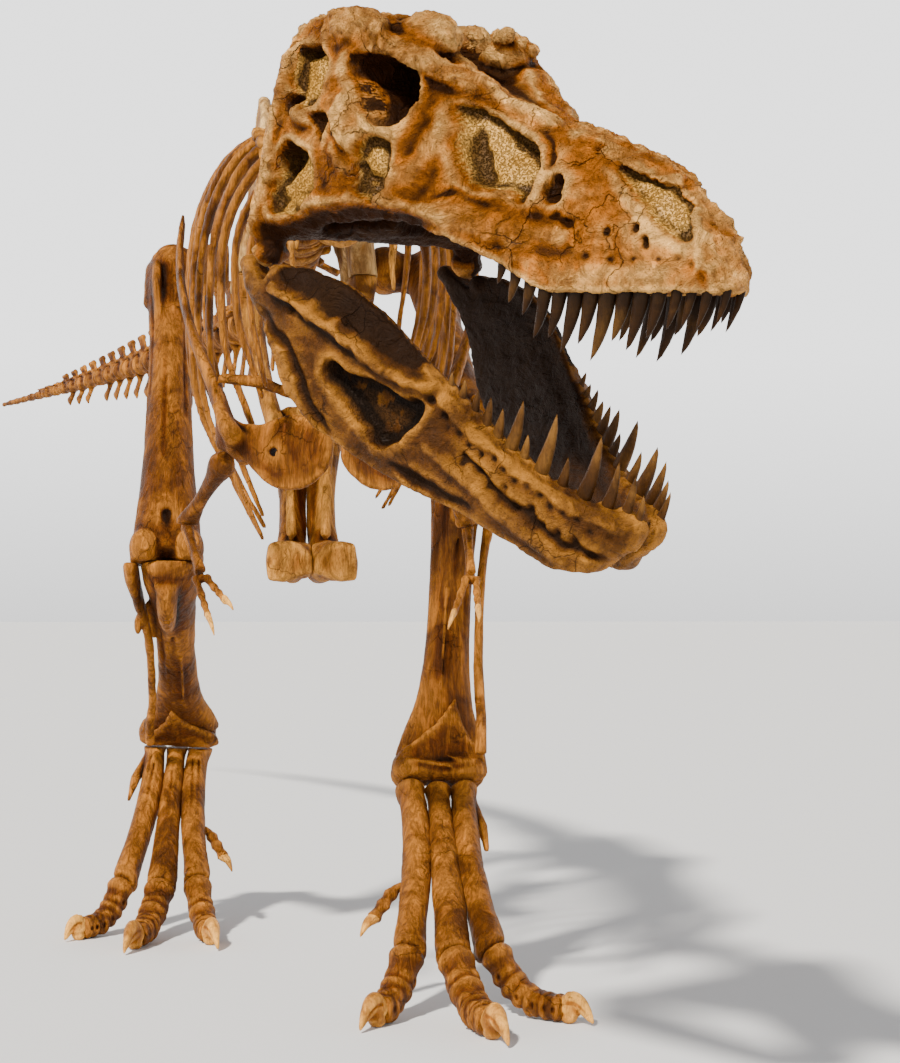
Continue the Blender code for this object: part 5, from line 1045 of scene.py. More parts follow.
def carve_jaw(side, node):
    """One half of the lower jaw."""
    jaw = Clay((-3.0, -97.0, -24.0), (32.0, 10.0, 14.0), JAW_CELL)
    x, y, z = jaw.axes
    low, top, centre, half = [c[:, None] for c in rows_at(JAW_ROWS, y, 2.6)]
    sheet = paint_jaw(y, z)
    middle = np.clip((z[None, :] - low) / np.maximum(top - low, 1.0), 0.0, 1.0)
    belly = half * (0.55 + 0.60 * np.sin(math.pi * np.clip(middle, 0.04, 0.96)) ** 0.6)
    outer = centre + belly + 0.35 * half + sheet.relief
    inner = centre - belly * 0.75 + 0.5 * np.exp(-((z[None, :] - top + 4.0) / 2.0) ** 2)
    block = np.maximum(x[:, None, None] - outer[None], inner[None] - x[:, None, None])
    block = np.maximum(block, (z[None, :] - top)[None])
    block = np.maximum(block, (low - z[None, :])[None])
    block = np.maximum(block, (-92.8 - y)[None, :, None] + 0.0 * block)
    block = np.maximum(block, (y - 6.4)[None, :, None] + 0.0 * block)
    block = np.clip(block, -6.0, 6.0)
    for axis in range(3):
        block = 0.5 * block + 0.25 * np.roll(block, 1, axis) + 0.25 * np.roll(block, -1, axis)
    jaw.field = block.astype(np.float32)
    # joint, spike of the rear blade and tooth sockets
    jaw.slab((26.5, 0.1, 4.6), (7.0, 4.6, 5.8), 0.8, 1.4, away=True)
    jaw.egg((26.6, -5.6, 1.2), (3.2, 2.2, 1.8), soft=1.2)
    jaw.egg((26.2, 4.6, -2.4), (2.6, 1.8, 1.6), soft=1.2)
    jaw.limb(((26.6, -13.0, -10.4), (27.0, -9.0, -8.2), (27.2, -6.6, -6.6)), (1.5, 1.2, 0.6), 1.0)
    for place, length, half_base in LOWER:
        rail = read(sorted(JAW_ROWS), place)
        jaw.egg((max(rail[2], 2.4), place, rail[1] - 0.3), (1.5, half_base + 0.6, 1.2), soft=0.9)
    jaw.trim((0.05, 0, 0), (-1, 0, 0))
    mirror = np.diag([side, 1.0, 1.0])

    def outside(points, key):
        u = np.clip(((points[:, 1] - y[0]) / JAW_CELL).round().astype(int), 0, len(y) - 1)
        v = np.clip(((points[:, 2] - z[0]) / JAW_CELL).round().astype(int), 0, len(z) - 1)
        return getattr(sheet, key)[u, v] * (points[:, 0] > centre[u, 0]), points[:, 0] - centre[u, 0]

    def painted_shade(points):
        """Painted shade in the outer hollows and over the whole inner face, less toward the chin."""
        outer_shade, side_way = outside(points, "painted_shade")
        inner_shade = np.clip(-side_way / 1.2, 0.0, 1.0) * np.interp(points[:, 1], (-92, -70, -50),
            (0.1, 0.5, 0.85))
        return np.maximum(outer_shade, inner_shade)

    # the inner mask paints shade on the jaw's hollows and inner face
    masks = {"infill": lambda points: outside(points, "infill")[0], "inner": painted_shade}
    item = cast(jaw, node, JAW_BONE, 0.26, 2.6, 21, (JAW_TURN[0] @ mirror, JAW_TURN[1]), masks, 0.2)
    if side < 0:
        item.data.flip_normals()
    return item


for side, node in ((-1, "mandible_right"), (1, "mandible_left")):
    carve_jaw(side, node)
pieces = []
for side in (-1, 1):
    for k, (y, length, half) in enumerate(LOWER):
        low, top, x, thick = read(sorted(JAW_ROWS), y)
        x = side * max(x, 2.2)
        size = length * (1.0 if side < 0 else (1.1, 0.86, 1.0, 0.8)[k % 4])
        pieces.append(spike((x, y, top - 2.4), (x + side * 0.9, y + 0.5 + 0.12 * size, top + size), half,
            half * 0.74, (0, -0.05, 0), (0, 1, 0)))
# the lower row's higher range paints it lighter than the upper row
place_teeth("lower_teeth", pieces, JAW_TURN, (0.30, 0.78))

# %% [markdown]
# ## Shafts, blades and vertebrae
#
# The rest of the skeleton needs three more tools. A loft is a shaft of oval sections, with
# its rows smoothed into a curve. A blade is a plate cut to an outline, thick in the middle
# and thin at the edge. A vertebra puts them together: a pinched spool, the arch over it,
# the spine, the side wings and the small knobs that lock it to its neighbours.

# %% Lofts and blades
def spot(x, y, z):
    """A point."""
    return np.array((x, y, z), float)


def loft(clay, rows, across, soft=0.01, fine=3, away=False, blunt=0.5):
    """A shaft of oval sections: each row is a centre, the half size along across, and the other one."""
    table = [np.append(np.array(centre, float), (wide, deep)) for centre, wide, deep in rows]
    table = curve(table, 1.0 / fine)[0]
    across = unit(across)
    before = clay.field.copy()
    for first, last in zip(table, table[1:]):
        a, b = first[:3], last[:3]
        length = max(float(np.linalg.norm(b - a)), 1e-5)
        w = (b - a) / length
        u = unit(across - w * np.dot(across, w))
        v = np.cross(w, u)
        reach = max(first[3:].max(), last[3:].max()) + soft + 3.0 * clay.cell
        cuts, (dx, dy, dz) = clay.part(np.minimum(a, b) - reach, np.maximum(a, b) + reach, a)
        travel = dx * w[0] + dy * w[1] + dz * w[2]
        t = np.clip(travel / length, 0.0, 1.0)
        over = travel - t * length
        p = dx * u[0] + dy * u[1] + dz * u[2]
        q = dx * v[0] + dy * v[1] + dz * v[2]
        wide = np.maximum(first[3] + t * (last[3] - first[3]), 0.001)
        deep = np.maximum(first[4] + t * (last[4] - first[4]), 0.001)
        cap = np.minimum(wide, deep) * blunt
        k0 = np.sqrt((p / wide) ** 2 + (q / deep) ** 2 + (over / cap) ** 2)
        k1 = np.sqrt((p / wide ** 2) ** 2 + (q / deep ** 2) ** 2 + (over / cap ** 2) ** 2)
        distance = np.where(k0 < 0.1, -0.9 * np.minimum(wide, deep), k0 * (k0 - 1.0) / np.maximum(k1, 1e-6))
        clay.join(cuts, distance, soft, away, before)


def blade(clay, outline, u, v, origin, half, soft=0.01, edge=0.10, thin=0.45, round_off=0.006, rounding=2):
    """A plate of an outline drawn along u and v, thick in its middle and thin at its edge."""
    u, v, origin = unit(u), unit(v), np.array(origin, float)
    normal = np.cross(u, v)
    corners = np.array([origin + u * a + v * b for a, b in outline])
    reach = half + soft + 3.0 * clay.cell
    cuts, (dx, dy, dz) = clay.part(corners.min(0) - reach, corners.max(0) + reach, origin)
    near = outline_distance(outline, dx * u[0] + dy * u[1] + dz * u[2], dx * v[0] + dy * v[1] + dz * v[2],
        rounding)
    level = np.abs(dx * normal[0] + dy * normal[1] + dz * normal[2])
    thick = half * (thin + (1.0 - thin) * np.clip(near / edge, 0.0, 1.0) ** 0.7)
    a, b = round_off - near, level - thick + round_off
    distance = np.hypot(np.maximum(a, 0.0), np.maximum(b, 0.0)) + np.minimum(np.maximum(a, b),
        0.0) - round_off
    clay.join(cuts, distance, soft)


def placer(origin, *axes):
    """A reader of places given by their steps from an origin along a bone's own axes."""
    return lambda *steps: origin + sum(step * axis for step, axis in zip(steps, axes))


def beside(side):
    """A reader of places on one side of the animal, given for its left."""
    return placer(spot(0, 0, 0), spot(side, 0, 0), spot(0, 1, 0), spot(0, 0, 1))


def placed(at, *rows):
    """Points from rows of three steps; the sizes that follow the steps stay with their point."""
    return [(at(*row[:3]), *row[3:]) if row[3:] else at(*row) for row in rows]


def shaft(a, b, *rows):
    """Rows of a loft between two points, from the share of the way and two half sizes."""
    return [(mix(a, b, t), wide, deep) for t, wide, deep in rows]


def block(points, margin, cell):
    """Clay that holds the points with a margin."""
    points = np.array([np.array(p, float) for p in points])
    return Clay(points.min(0) - margin, points.max(0) + margin, cell)


def side_block(side, low, high, cell):
    """Clay on one side of the animal, between two corners given for its left."""
    return block(placed(beside(side), low, high), 0.0, cell)


# %% One vertebra
def vertebra(clay, a, b, wide, spine, wing, arch=0.55, knob=0.30, pinch=0.74):
    """Spool from a to b; spine is (height, half length, half thickness, lean), wing (reach, half length,
    half thickness, lift, sweep)."""
    a, b = np.array(a, float), np.array(b, float)
    gauge = float(np.linalg.norm(b - a))
    along = unit(b - a)
    across = unit(np.cross(along, (0, 0, 1)))
    up = np.cross(across, along)
    at = placer(mix(a, b, 0.5), across, along, up)
    rim = min(0.10, 0.010 / gauge + 0.05)
    loft(clay, shaft(a, b, (0.045, wide * 0.88, wide * 0.90), (rim + 0.06, wide, wide * 1.02),
        (0.28, wide * 0.84, wide * 0.86), (0.5, wide * pinch, wide * (pinch + 0.04)),
        (0.72, wide * 0.84, wide * 0.86), (0.94 - rim, wide, wide * 1.02),
        (0.955, wide * 0.88, wide * 0.90)), across, 0.004, 2)
    clay.limb((a, b), wide * 0.66, 0.004)
    for side in (-1, 1) if arch else ():
        clay.limb(placed(at, (side * wide * 0.40, gauge * -0.26, wide * 0.62),
            (side * wide * 0.26, gauge * 0.20, wide * 1.22)), wide * arch * 0.52, wide * 0.22)
        for end in (-1, 1):
            clay.limb(placed(at, (0, 0, wide * 1.12), (side * wide * knob * 1.3, end * gauge * 0.52,
                wide * 1.24)), (wide * 0.26, wide * 0.17), wide * 0.14)
        clay.egg(at(side * wide * 0.78, 0, wide * 0.12), (wide * 0.16, gauge * 0.16, wide * 0.22),
            np.stack([across, along, up], 1), wide * 0.15, away=True)
    if spine:
        height, long_half, thick, lean = spine
        foot, tip = placed(at, (0, 0, wide * 0.8), (0, lean, height - 0.012))
        loft(clay, shaft(foot, tip, (0, thick * 1.7, long_half * 0.92), (0.25, thick, long_half * 0.84),
            (0.7, thick * 0.82, long_half * 0.94), (1, thick * 1.25, long_half)), across, wide * 0.12)
        clay.limb((tip - along * long_half * 0.8, tip + along * long_half * 0.8), thick * 1.35, 0.008)
        for end in (-1, 1):
            clay.limb((mix(foot, tip, 0.15) + along * end * long_half * 0.92,
                mix(foot, tip, 0.96) + along * end * long_half * 0.98), thick * 0.62, 0.006)
    if wing:
        reach, long_half, thick, lift, sweep = wing
        for side in (-1, 1):
            root, end = placed(at, (side * wide * 0.3, 0, wide * 0.85), (side * reach, sweep, lift))
            loft(clay, shaft(root, end, (0, long_half, thick * 1.5), (0.5, long_half * 0.74, thick),
                (0.86, long_half * 0.86, thick), (1, long_half * 0.8, thick * 1.1)), along, wide * 0.12)
    return at, across, along, up


print("lofts, blades and vertebrae are ready")

# %% [markdown]
# ## Neck, back and rib cage
#
# The backbone follows one smooth curve from the hips to the shoulders and a second, S-bent
# one up the neck. The neck is short and thick, with stout ribs of its own. The back's
# spines are tall plates, and the ribs hang from the wings in two deep baskets.

# %% Neck
NECK = ((0.0, -2.300, 2.350), (0.0, -2.430, 2.430), (0.005, -2.530, 2.535), (0.020, -2.640, 2.615),
    (0.045, -2.765, 2.640), (0.080, -2.880, 2.585), (0.110, -2.965, 2.500), (0.135, -3.010, 2.440))
BACK = ((0.0, 0.480, 2.780), (0.0, 0.0, 2.800), (0.0, -0.480, 2.790), (0.0, -1.000, 2.750),
    (0.0, -1.400, 2.685), (0.0, -1.800, 2.590), (0.0, -2.100, 2.475), (0.0, -2.300, 2.350))
TAIL = ((0.0, 0.480, 2.780), (-0.010, 1.000, 2.745), (-0.090, 1.900, 2.715), (-0.330, 2.900, 2.700),
    (-0.735, 3.950, 2.690), (-1.200, 4.950, 2.665), (-1.725, 5.870, 2.630))
CERVICALS, DORSALS, SACRALS, CAUDALS = 9, 13, 5, 36
BODY_LOOK = {"grain": 0.0020, "size": 0.030, "lumps": 0.0016}

path = curve(NECK)
joints = [along_curve(path, path[1][-1] * k / CERVICALS) for k in range(CERVICALS + 1)]
for name, first, last in (("neck_rear", 0, 5), ("neck_front", 5, CERVICALS)):
    clay = block(joints[first:last + 1], 0.30, 0.0075)
    for k in range(first, last):
        share = (k + 0.5) / CERVICALS
        wide = mix(0.088, 0.062, k / CERVICALS)
        if k == CERVICALS - 1:
            vertebra(clay, joints[k], joints[k + 1], wide, None, None, 0.5)
            continue
        spine = (read(((0.0, 0.180), (0.7, 0.135), (0.9, 0.085)), share)[0], 0.034, 0.019, 0.0)
        wing = read(((0.0, 0.150), (0.7, 0.115), (0.9, 0.085)), share)[0]
        at, across, along, _ = vertebra(clay, joints[k], joints[k + 1], wide, spine,
            (wing, 0.034, 0.020, 0.035, 0.0), 0.7, 0.6)
        for side in (-1, 1):
            # the short rib, forked onto the spool and the wing
            head, tip, fork = placed(at, (side * wing * 0.86, 0, 0.020),
                (side * wing * 0.95, -0.05, -mix(0.25, 0.10, share)), (side * wide * 0.8, 0, -wide * 0.3))
            loft(clay, ((head, 0.024, 0.018), (mix(head, tip, 0.35) + across * side * 0.010, 0.022, 0.012),
                (mix(head, tip, 0.75), 0.013, 0.009), (tip, 0.007, 0.006)), along, 0.012)
            clay.limb((mix(head, tip, 0.22), fork), (0.014, 0.017), 0.012)
            clay.egg(head + across * side * 0.006, (0.022, 0.022, 0.018), soft=0.012)
    if name == "neck_front":
        clay.trim(HEAD_TURN[0] @ (0, 91.8, 21) + HEAD_TURN[1], HEAD @ (0, -1, 0))
    cast(clay, name, BODY_BONE, seed=31 + first, **BODY_LOOK)

# %% Back
path = curve(BACK)
START = 0.985
back = [along_curve(path, mix(START, path[1][-1], k / DORSALS)) for k in range(DORSALS + 1)]
clay = Clay((-0.34, -2.42, 2.15), (0.34, -0.38, 3.28), 0.0084)
for k in range(DORSALS):
    t = k / (DORSALS - 1)
    tall = read(((0.0, 0.43), (0.5, 0.42), (0.8, 0.36), (1.0, 0.29)), t)[0]
    reach = read(((0.0, 0.17), (0.3, 0.20), (0.7, 0.23), (1.0, 0.21)), t)[0]
    vertebra(clay, back[k], back[k + 1], mix(0.096, 0.086, t), (tall, 0.052, 0.016, -0.02),
        (reach, 0.040, 0.017, 0.115, -0.01), 0.8, 0.55, 0.70)
neck_way = unit(np.subtract(NECK[1], NECK[0]))
clay.trim(back[-1] - neck_way * 0.004, neck_way)
column = cast(clay, "trunk_right", BODY_BONE, seed=41, name="back_vertebrae", **BODY_LOOK)
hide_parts("trunk_right", "trunk_left")


# %% Ribs
def rib_rows(index, side, start):
    """Centres and half sizes along one rib, from its head to its tip."""
    t = index / 11.0
    wide = read(((0.0, 0.255), (0.18, 0.330), (0.40, 0.410), (0.62, 0.435), (0.85, 0.38), (1.0, 0.30)),
        t)[0]
    reach = read(((0.0, 0.50), (0.12, 0.62), (0.30, 1.10), (0.50, 1.18), (0.68, 1.06), (0.85, 0.74),
        (1.0, 0.42)), t)[0]
    if side > 0:
        reach -= 0.10 * min(reach, 1.0)
    tuck = read(((0.0, 0.80), (0.30, 0.52), (0.55, 0.42), (0.75, 0.72), (1.0, 0.95)), t)[0]
    sweep = read(((0.0, 0.02), (0.3, 0.10), (0.7, 0.16), (1.0, 0.12)), t)[0]
    shape = ((0.16, -0.030, 0.0), (0.44, -0.105, 0.0), (0.78, 0.010, 0.15), (0.98, 0.240, 0.55),
        (0.965, 0.600, 1.00), (mix(0.955, tuck, 0.55), 0.840, 0.85), (tuck, 1.000, 0.55))
    sizes = (0.034, 0.036, 0.036, 0.032, 0.026, 0.022, 0.013)
    rows = []
    for (out, down, back_share), size in zip(shape, sizes):
        lift = down * reach if down > 0 else down
        rows.append((spot(side * out * wide, start[1] + back_share * sweep, start[2] - lift), size,
            size * 0.46))
    return rows


for side, tag in ((-1, "right"), (1, "left")):
    clay = side_block(side, (0, -2.30, 1.36), (0.50, -0.35, 2.95), 0.0078)
    for k in range(2, DORSALS):
        middle = mix(back[k], back[k + 1], 0.5)
        rows = rib_rows(12 - k, side, middle)
        loft(clay, rows, (0, 1, 0), 0.008, 4)
        head = spot(side * 0.075, middle[1] - 0.045, middle[2] + 0.020)
        clay.limb((rows[1][0], mix(rows[1][0], head, 0.5) - spot(0, 0, 0.03), head), (0.020, 0.016, 0.022),
            0.014)
        clay.egg(rows[1][0] + spot(-side * 0.02, 0, 0.012), (0.034, 0.030, 0.020), soft=0.012)
        # groove along the outer face
        line = [row[0] + spot(side * row[2] * 0.9, 0.004, 0) for row in rows[2:6]]
        clay.limb(line, 0.0065, 0.006, away=True)
    cast(clay, "ribs_" + tag, LIMB_BONE, seed=51 + side, name="ribs_" + tag, flow=(1, 1, 0.4), **BODY_LOOK)

# %% [markdown]
# ## Hips and tail
#
# Five fused vertebrae carry the hip blades. Each blade is a long thin plate, pale on its
# upper part, with a hood over the socket and a ridge that rises from it. The pubic bones
# run down and meet in a heavy boot, and the thin seat bones run back. The tail's spines
# and chevrons shrink toward the tip.

# %% Fused hip vertebrae
ends = (spot(0, -0.455, 2.790), spot(0, 0.480, 2.780))
clay = Clay((-0.16, -0.56, 2.60), (0.16, 0.52, 3.26), 0.010)
for k in range(SACRALS):
    a, b = mix(*ends, k / SACRALS), mix(*ends, (k + 1) / SACRALS)
    vertebra(clay, a, b, 0.112, (0.405, 0.084, 0.017, 0.01), None, 0.7, 0.3, 0.82)
    middle = mix(a, b, 0.5)
    for side in (-1, 1):
        loft(clay, [(middle + spot(side * out, 0, lift), wide, deep) for out, lift, wide,
            deep in ((0.05, 0.0, 0.040, 0.070), (0.11, 0.02, 0.026, 0.075), (0.138, 0.03, 0.040, 0.085))],
            (0, 1, 0), 0.02)
        clay.trim((side * 0.1392, 0, 0), (side, 0, 0))
clay.trim((0, along_curve(path, START)[1], 0), (0, -1, 0))
cast(clay, "sacrum", BODY_BONE, seed=61, **BODY_LOOK)

# %% Hip bones
ILIUM = ((-0.80, 0.14), (-0.80, 0.20), (-0.72, 0.30), (-0.60, 0.35), (-0.45, 0.385), (-0.2, 0.398),
    (0.0, 0.40), (0.25, 0.39), (0.45, 0.36), (0.62, 0.315), (0.74, 0.25), (0.80, 0.17), (0.80, 0.10),
    (0.68, 0.03), (0.55, -0.02), (0.34, -0.10), (0.30, -0.16), (0.26, -0.20), (0.19, -0.19), (0.13, -0.12),
    (0.04, -0.085), (-0.05, -0.11), (-0.11, -0.20), (-0.18, -0.24), (-0.30, -0.23), (-0.35, -0.16),
    (-0.36, -0.08), (-0.46, -0.04), (-0.62, 0.00), (-0.68, 0.04), (-0.70, 0.09))


def cut_hip(clay, side, inner, end, facing):
    """Trim a hip bone against the backbone or its twin, its neighbours and the thigh."""
    clay.trim((side * inner, 0, 0), (-side, 0, 0))
    clay.trim((0, 0, end), (0, 0, facing))
    clay.trim((side * 0.284, 0, 0), (side, 0, 0))


def model_hip(side, tag):
    """Blade, pubic bone and seat bone of one side."""
    at = beside(side)
    clay = side_block(side, (0.10, -0.86, 2.46), (0.32, 0.86, 3.24), 0.0092)
    blade(clay, ILIUM, (0, 1, 0), (side * -0.06, 0, 1), at(0.180, 0, 2.775), 0.030, 0.01, 0.13, 0.42, 0.010,
        1)
    for y, half in ((-0.25, 0.082), (0.205, 0.066)):
        loft(clay, placed(at, (0.19, y, 2.76, 0.060, half * 0.6), (0.215, y, 2.64, 0.050, half),
            (0.225, y, 2.50, 0.058, half * 0.95)), (1, 0, 0), 0.02)
    # hood over the socket, the ridge above it, and the rear shelf
    arch = [math.sin(math.pi * k / 6) for k in range(7)]
    clay.limb([at(0.205 + 0.030 * rise, mix(-0.33, 0.22, k / 6), 2.665 + 0.055 * rise) for k,
        rise in enumerate(arch)], (0.018, 0.024, 0.028, 0.030, 0.028, 0.022, 0.016), 0.02)
    clay.limb(placed(at, (0.205, -0.06, 2.74), (0.195, -0.03, 2.90), (0.172, 0.0, 3.12)),
        (0.022, 0.014, 0.008), 0.03)
    clay.limb(placed(at, (0.205, 0.26, 2.69), (0.205, 0.52, 2.76), (0.19, 0.76, 2.86)),
        (0.020, 0.016, 0.012), 0.02)
    for k in range(22):
        y = -0.72 + k * 0.066
        top = float(np.interp(y, *zip(*ILIUM[2:12]))) + 2.775
        clay.limb(placed(at, (0.176, y, top - 0.012), (0.185, y + 0.02 * math.sin(k * 2.1), top - 0.12)),
            (0.0075, 0.003), 0.008)
        clay.egg(at(0.168, y + 0.02, top - 0.006), (0.017, 0.024, 0.014), soft=0.01)
    clay.egg(at(0.30, -0.02, 2.60), (0.10, 0.150, 0.100), soft=0.01, away=True)
    cut_hip(clay, side, 0.1405, 2.5305, -1)
    cast(clay, "ilium_" + tag, PALE_BONE, 0.0022, 0.035, 71 + side, lumps=0.002, flow=(1, 1, 0.45))
    # pubic bone
    clay = side_block(side, (-0.01, -0.90, 1.32), (0.31, -0.10, 2.56), 0.0075)
    loft(clay, placed(at, (0.225, -0.235, 2.56, 0.056, 0.090), (0.215, -0.250, 2.44, 0.048, 0.084),
        (0.185, -0.29, 2.28, 0.038, 0.064), (0.155, -0.340, 2.10, 0.034, 0.052),
        (0.108, -0.395, 1.92, 0.034, 0.048), (0.074, -0.450, 1.75, 0.034, 0.050),
        (0.062, -0.490, 1.60, 0.038, 0.056), (0.060, -0.520, 1.50, 0.054, 0.066),
        (0.062, -0.540, 1.44, 0.058, 0.078)), (1, 0, 0), 0.01)
    loft(clay, placed(at, (0.082, -0.835, 1.432, 0.062, 0.054), (0.080, -0.790, 1.430, 0.072, 0.064),
        (0.074, -0.70, 1.436, 0.060, 0.060), (0.068, -0.600, 1.442, 0.058, 0.070),
        (0.052, -0.450, 1.432, 0.054, 0.072), (0.042, -0.300, 1.422, 0.042, 0.058),
        (0.036, -0.235, 1.416, 0.026, 0.038)), (1, 0, 0), 0.02)
    blade(clay, ((-0.38, 2.02), (-0.46, 1.72), (-0.53, 1.48), (-0.45, 1.48), (-0.36, 1.80), (-0.33, 2.02)),
        (0, 1, 0), (0, 0, 1), at(0.05, 0, 0), 0.050, 0.02, 0.03, 0.5, 0.010, 1)
    clay.limb(placed(at, (0.10, -0.475, 1.98), (0.070, -0.530, 1.76), (0.062, -0.600, 1.54)),
        (0.010, 0.014, 0.020), 0.012)
    clay.limb(((0, -0.50, 1.96), (0, -0.56, 1.74), (0, -0.64, 1.54)), (0.034, 0.026, 0.018), 0.012,
        away=True)
    clay.slab(at(0.076, -0.800, 1.436), (0.077, 0.078, 0.062), 0.03, 0.020)
    clay.egg(at(0.096, -0.850, 1.430), (0.056, 0.040, 0.068), soft=0.02)
    clay.slab(at(0.124, -0.850, 1.400), (0.030, 0.034, 0.036), 0.016, 0.010)
    clay.egg(at(0.003, -0.90, 1.512), (0.040, 0.11, 0.050), soft=0.03, away=True)
    clay.egg(at(0.003, -0.90, 1.358), (0.034, 0.11, 0.022), soft=0.03, away=True)
    cut_hip(clay, side, 0.0006, 2.529, 1)
    cast(clay, "pubis_" + tag, BODY_BONE, 0.0018, 0.03, 75 + side, lumps=0.002, flow=(1, 1, 0.3))
    # seat bone
    clay = side_block(side, (-0.01, 0.08, 1.70), (0.31, 1.10, 2.58), 0.0075)
    loft(clay, placed(at, (0.225, 0.205, 2.58, 0.052, 0.072), (0.215, 0.235, 2.45, 0.040, 0.074),
        (0.185, 0.345, 2.33, 0.026, 0.052), (0.150, 0.480, 2.22, 0.022, 0.038),
        (0.110, 0.640, 2.09, 0.020, 0.032), (0.070, 0.800, 1.95, 0.020, 0.028),
        (0.045, 0.92, 1.845, 0.022, 0.030), (0.030, 1.015, 1.762, 0.024, 0.034)), (1, 0, 0), 0.01)
    clay.limb(placed(at, (0.19, 0.27, 2.33), (0.16, 0.31, 2.22)), (0.020, 0.010), 0.02)
    cut_hip(clay, side, 0.0006, 2.529, 1)
    cast(clay, "ischium_" + tag, BODY_BONE, 0.0016, 0.03, 79 + side, lumps=0.0015)


for side, tag in ((-1, "right"), (1, "left")):
    model_hip(side, tag)

# %% Tail
path = curve(TAIL)
places = [0.0]
for k in range(CAUDALS):
    places.append(places[-1] + read(((0.0, 1.0), (0.5, 0.92), (1.0, 0.52)), k / (CAUDALS - 1))[0])
tail = [along_curve(path, p / places[-1] * path[1][-1]) for p in places]
gauges = [read(((0.0, 0.100), (0.3, 0.078), (0.6, 0.050), (0.85, 0.026), (1.0, 0.013)),
    k / CAUDALS)[0] * 1.06 for k in range(CAUDALS + 1)]
cuts = (0, 7, 15, 24, CAUDALS)
for n, cell in enumerate((0.0065, 0.006, 0.0055, 0.0045)):
    first, last = cuts[n], cuts[n + 1]
    clay = block(tail[first:last + 1], (0.27, 0.06, 0.42) if n == 0 else (0.16, 0.05, 0.36 - 0.07 * n),
        cell * 1.5)
    for k in range(first, last):
        t = k / (CAUDALS - 1)
        a, b = tail[k], tail[k + 1]
        gauge = float(np.linalg.norm(b - a))
        tall = read(((0.0, 0.36), (0.3, 0.27), (0.6, 0.145), (0.8, 0.075), (1.0, 0.0)), t)[0]
        spine = (tall, gauge * 0.22, 0.009 + 0.007 * (1 - t), gauge * 0.35) if t < 0.80 else None
        reach = 0.128 if b[1] < 0.86 else read(((0.0, 0.235), (0.25, 0.15), (0.30, 0.10)), t)[0]
        wing = (reach, gauge * 0.22, 0.014, 0.0, gauge * 0.04) if t < 0.34 else None
        _, across, along, up = vertebra(clay, a, b, gauges[k], spine, wing, 0.55 if t < 0.86 else 0,
            0.45 if t < 0.5 else 0.25, 0.78)
        drop = read(((0.0, 0.30), (0.15, 0.33), (0.4, 0.24), (0.7, 0.12), (0.85, 0.07)), t)[0]
        if k > first and 0.03 < t < 0.80:
            # chevron: two short arms that join in one blade
            knot, tip = a - up * (gauges[k] + 0.30 * drop * 0.5), a - up * drop + along * gauge * 0.45
            fresh = 1 - t
            for side in (-1, 1):
                clay.limb((a - up * gauges[k] * 0.85 + across * side * gauges[k] * 0.34, knot),
                    (0.010 + 0.006 * fresh, 0.009 + 0.006 * fresh), 0.008)
            loft(clay, shaft(knot, tip, (0, 0.010 + 0.005 * fresh, 0.014 + 0.01 * fresh),
                (0.5, 0.010, 0.020 + 0.012 * fresh), (1, 0.009, gauge * 0.24)), across, 0.01)
    axis = unit(tail[first + 1] - tail[max(first - 1, 0)])
    clay.trim(tail[first] + axis * 0.001, -axis)
    if n < 3:
        axis = unit(tail[last + 1] - tail[last - 1])
        clay.trim(tail[last] - axis * 0.001, axis)
    cast(clay, f"tail_{n + 1}", LIMB_BONE, 0.0018, 0.03, 90 + n, lumps=0.0012)

# %% [markdown]
# ## Legs and feet
#
# The right foot is planted under the hip and the left one is set far forward. The thigh
# bone has a head turned in to the socket, a finger-like crest in front and two rollers at
# the knee. Below it stand the shin bone, flattened at the ankle, and the thin fibula. The
# ankle block sends a tongue up the front of the shin. The middle of the three long foot
# bones is pinched, as it is only in the last tyrants.

# %% Leg points
LEGS = {"right": {"hip": (-0.505, 0.000, 2.590), "knee": (-0.511, -0.519, 1.422),
    "ankle": (-0.480, 0.405, 0.721), "knuckles": ((-0.400, -0.005, 0.215), (-0.533, -0.031, 0.205),
    (-0.672, 0.030, 0.215)), "claws": ((-0.320, -0.507), (-0.655, -0.551), (-0.887, -0.235)),
    "hallux": (-0.262, 0.090, 0.235), "splint": (-0.672, 0.300, 0.500), "side": -1, "shin_shift": -0.016,},
    "left": {"hip": (0.505, 0.000, 2.590), "knee": (0.488, -1.043, 1.856), "ankle": (0.403, -1.175, 0.679),
    "knuckles": ((0.262, -1.655, 0.215), (0.391, -1.710, 0.205), (0.508, -1.672, 0.215)),
    "claws": ((0.086, -1.975), (0.488, -2.228), (0.785, -1.959)), "hallux": (0.116, -1.560, 0.240),
    "splint": (0.548, -1.330, 0.480), "side": 1, "shin_shift": 0.008,},}
FLOOR_Z = 0.020
KNEE_CUT = -0.010
LEG_LOOK = {"grain": 0.0017, "size": 0.022, "lumps": 0.0022, "flow": (1.0, 1.0, 0.22)}


def leg_axes(leg, bone):
    """Outward and forward directions of a bone of the leg, both across it."""
    out = unit(spot(leg["side"], 0, 0) - bone * (bone[0] * leg["side"]))
    fore = np.cross(out, bone)
    return out, fore if fore[1] < 0 else -fore


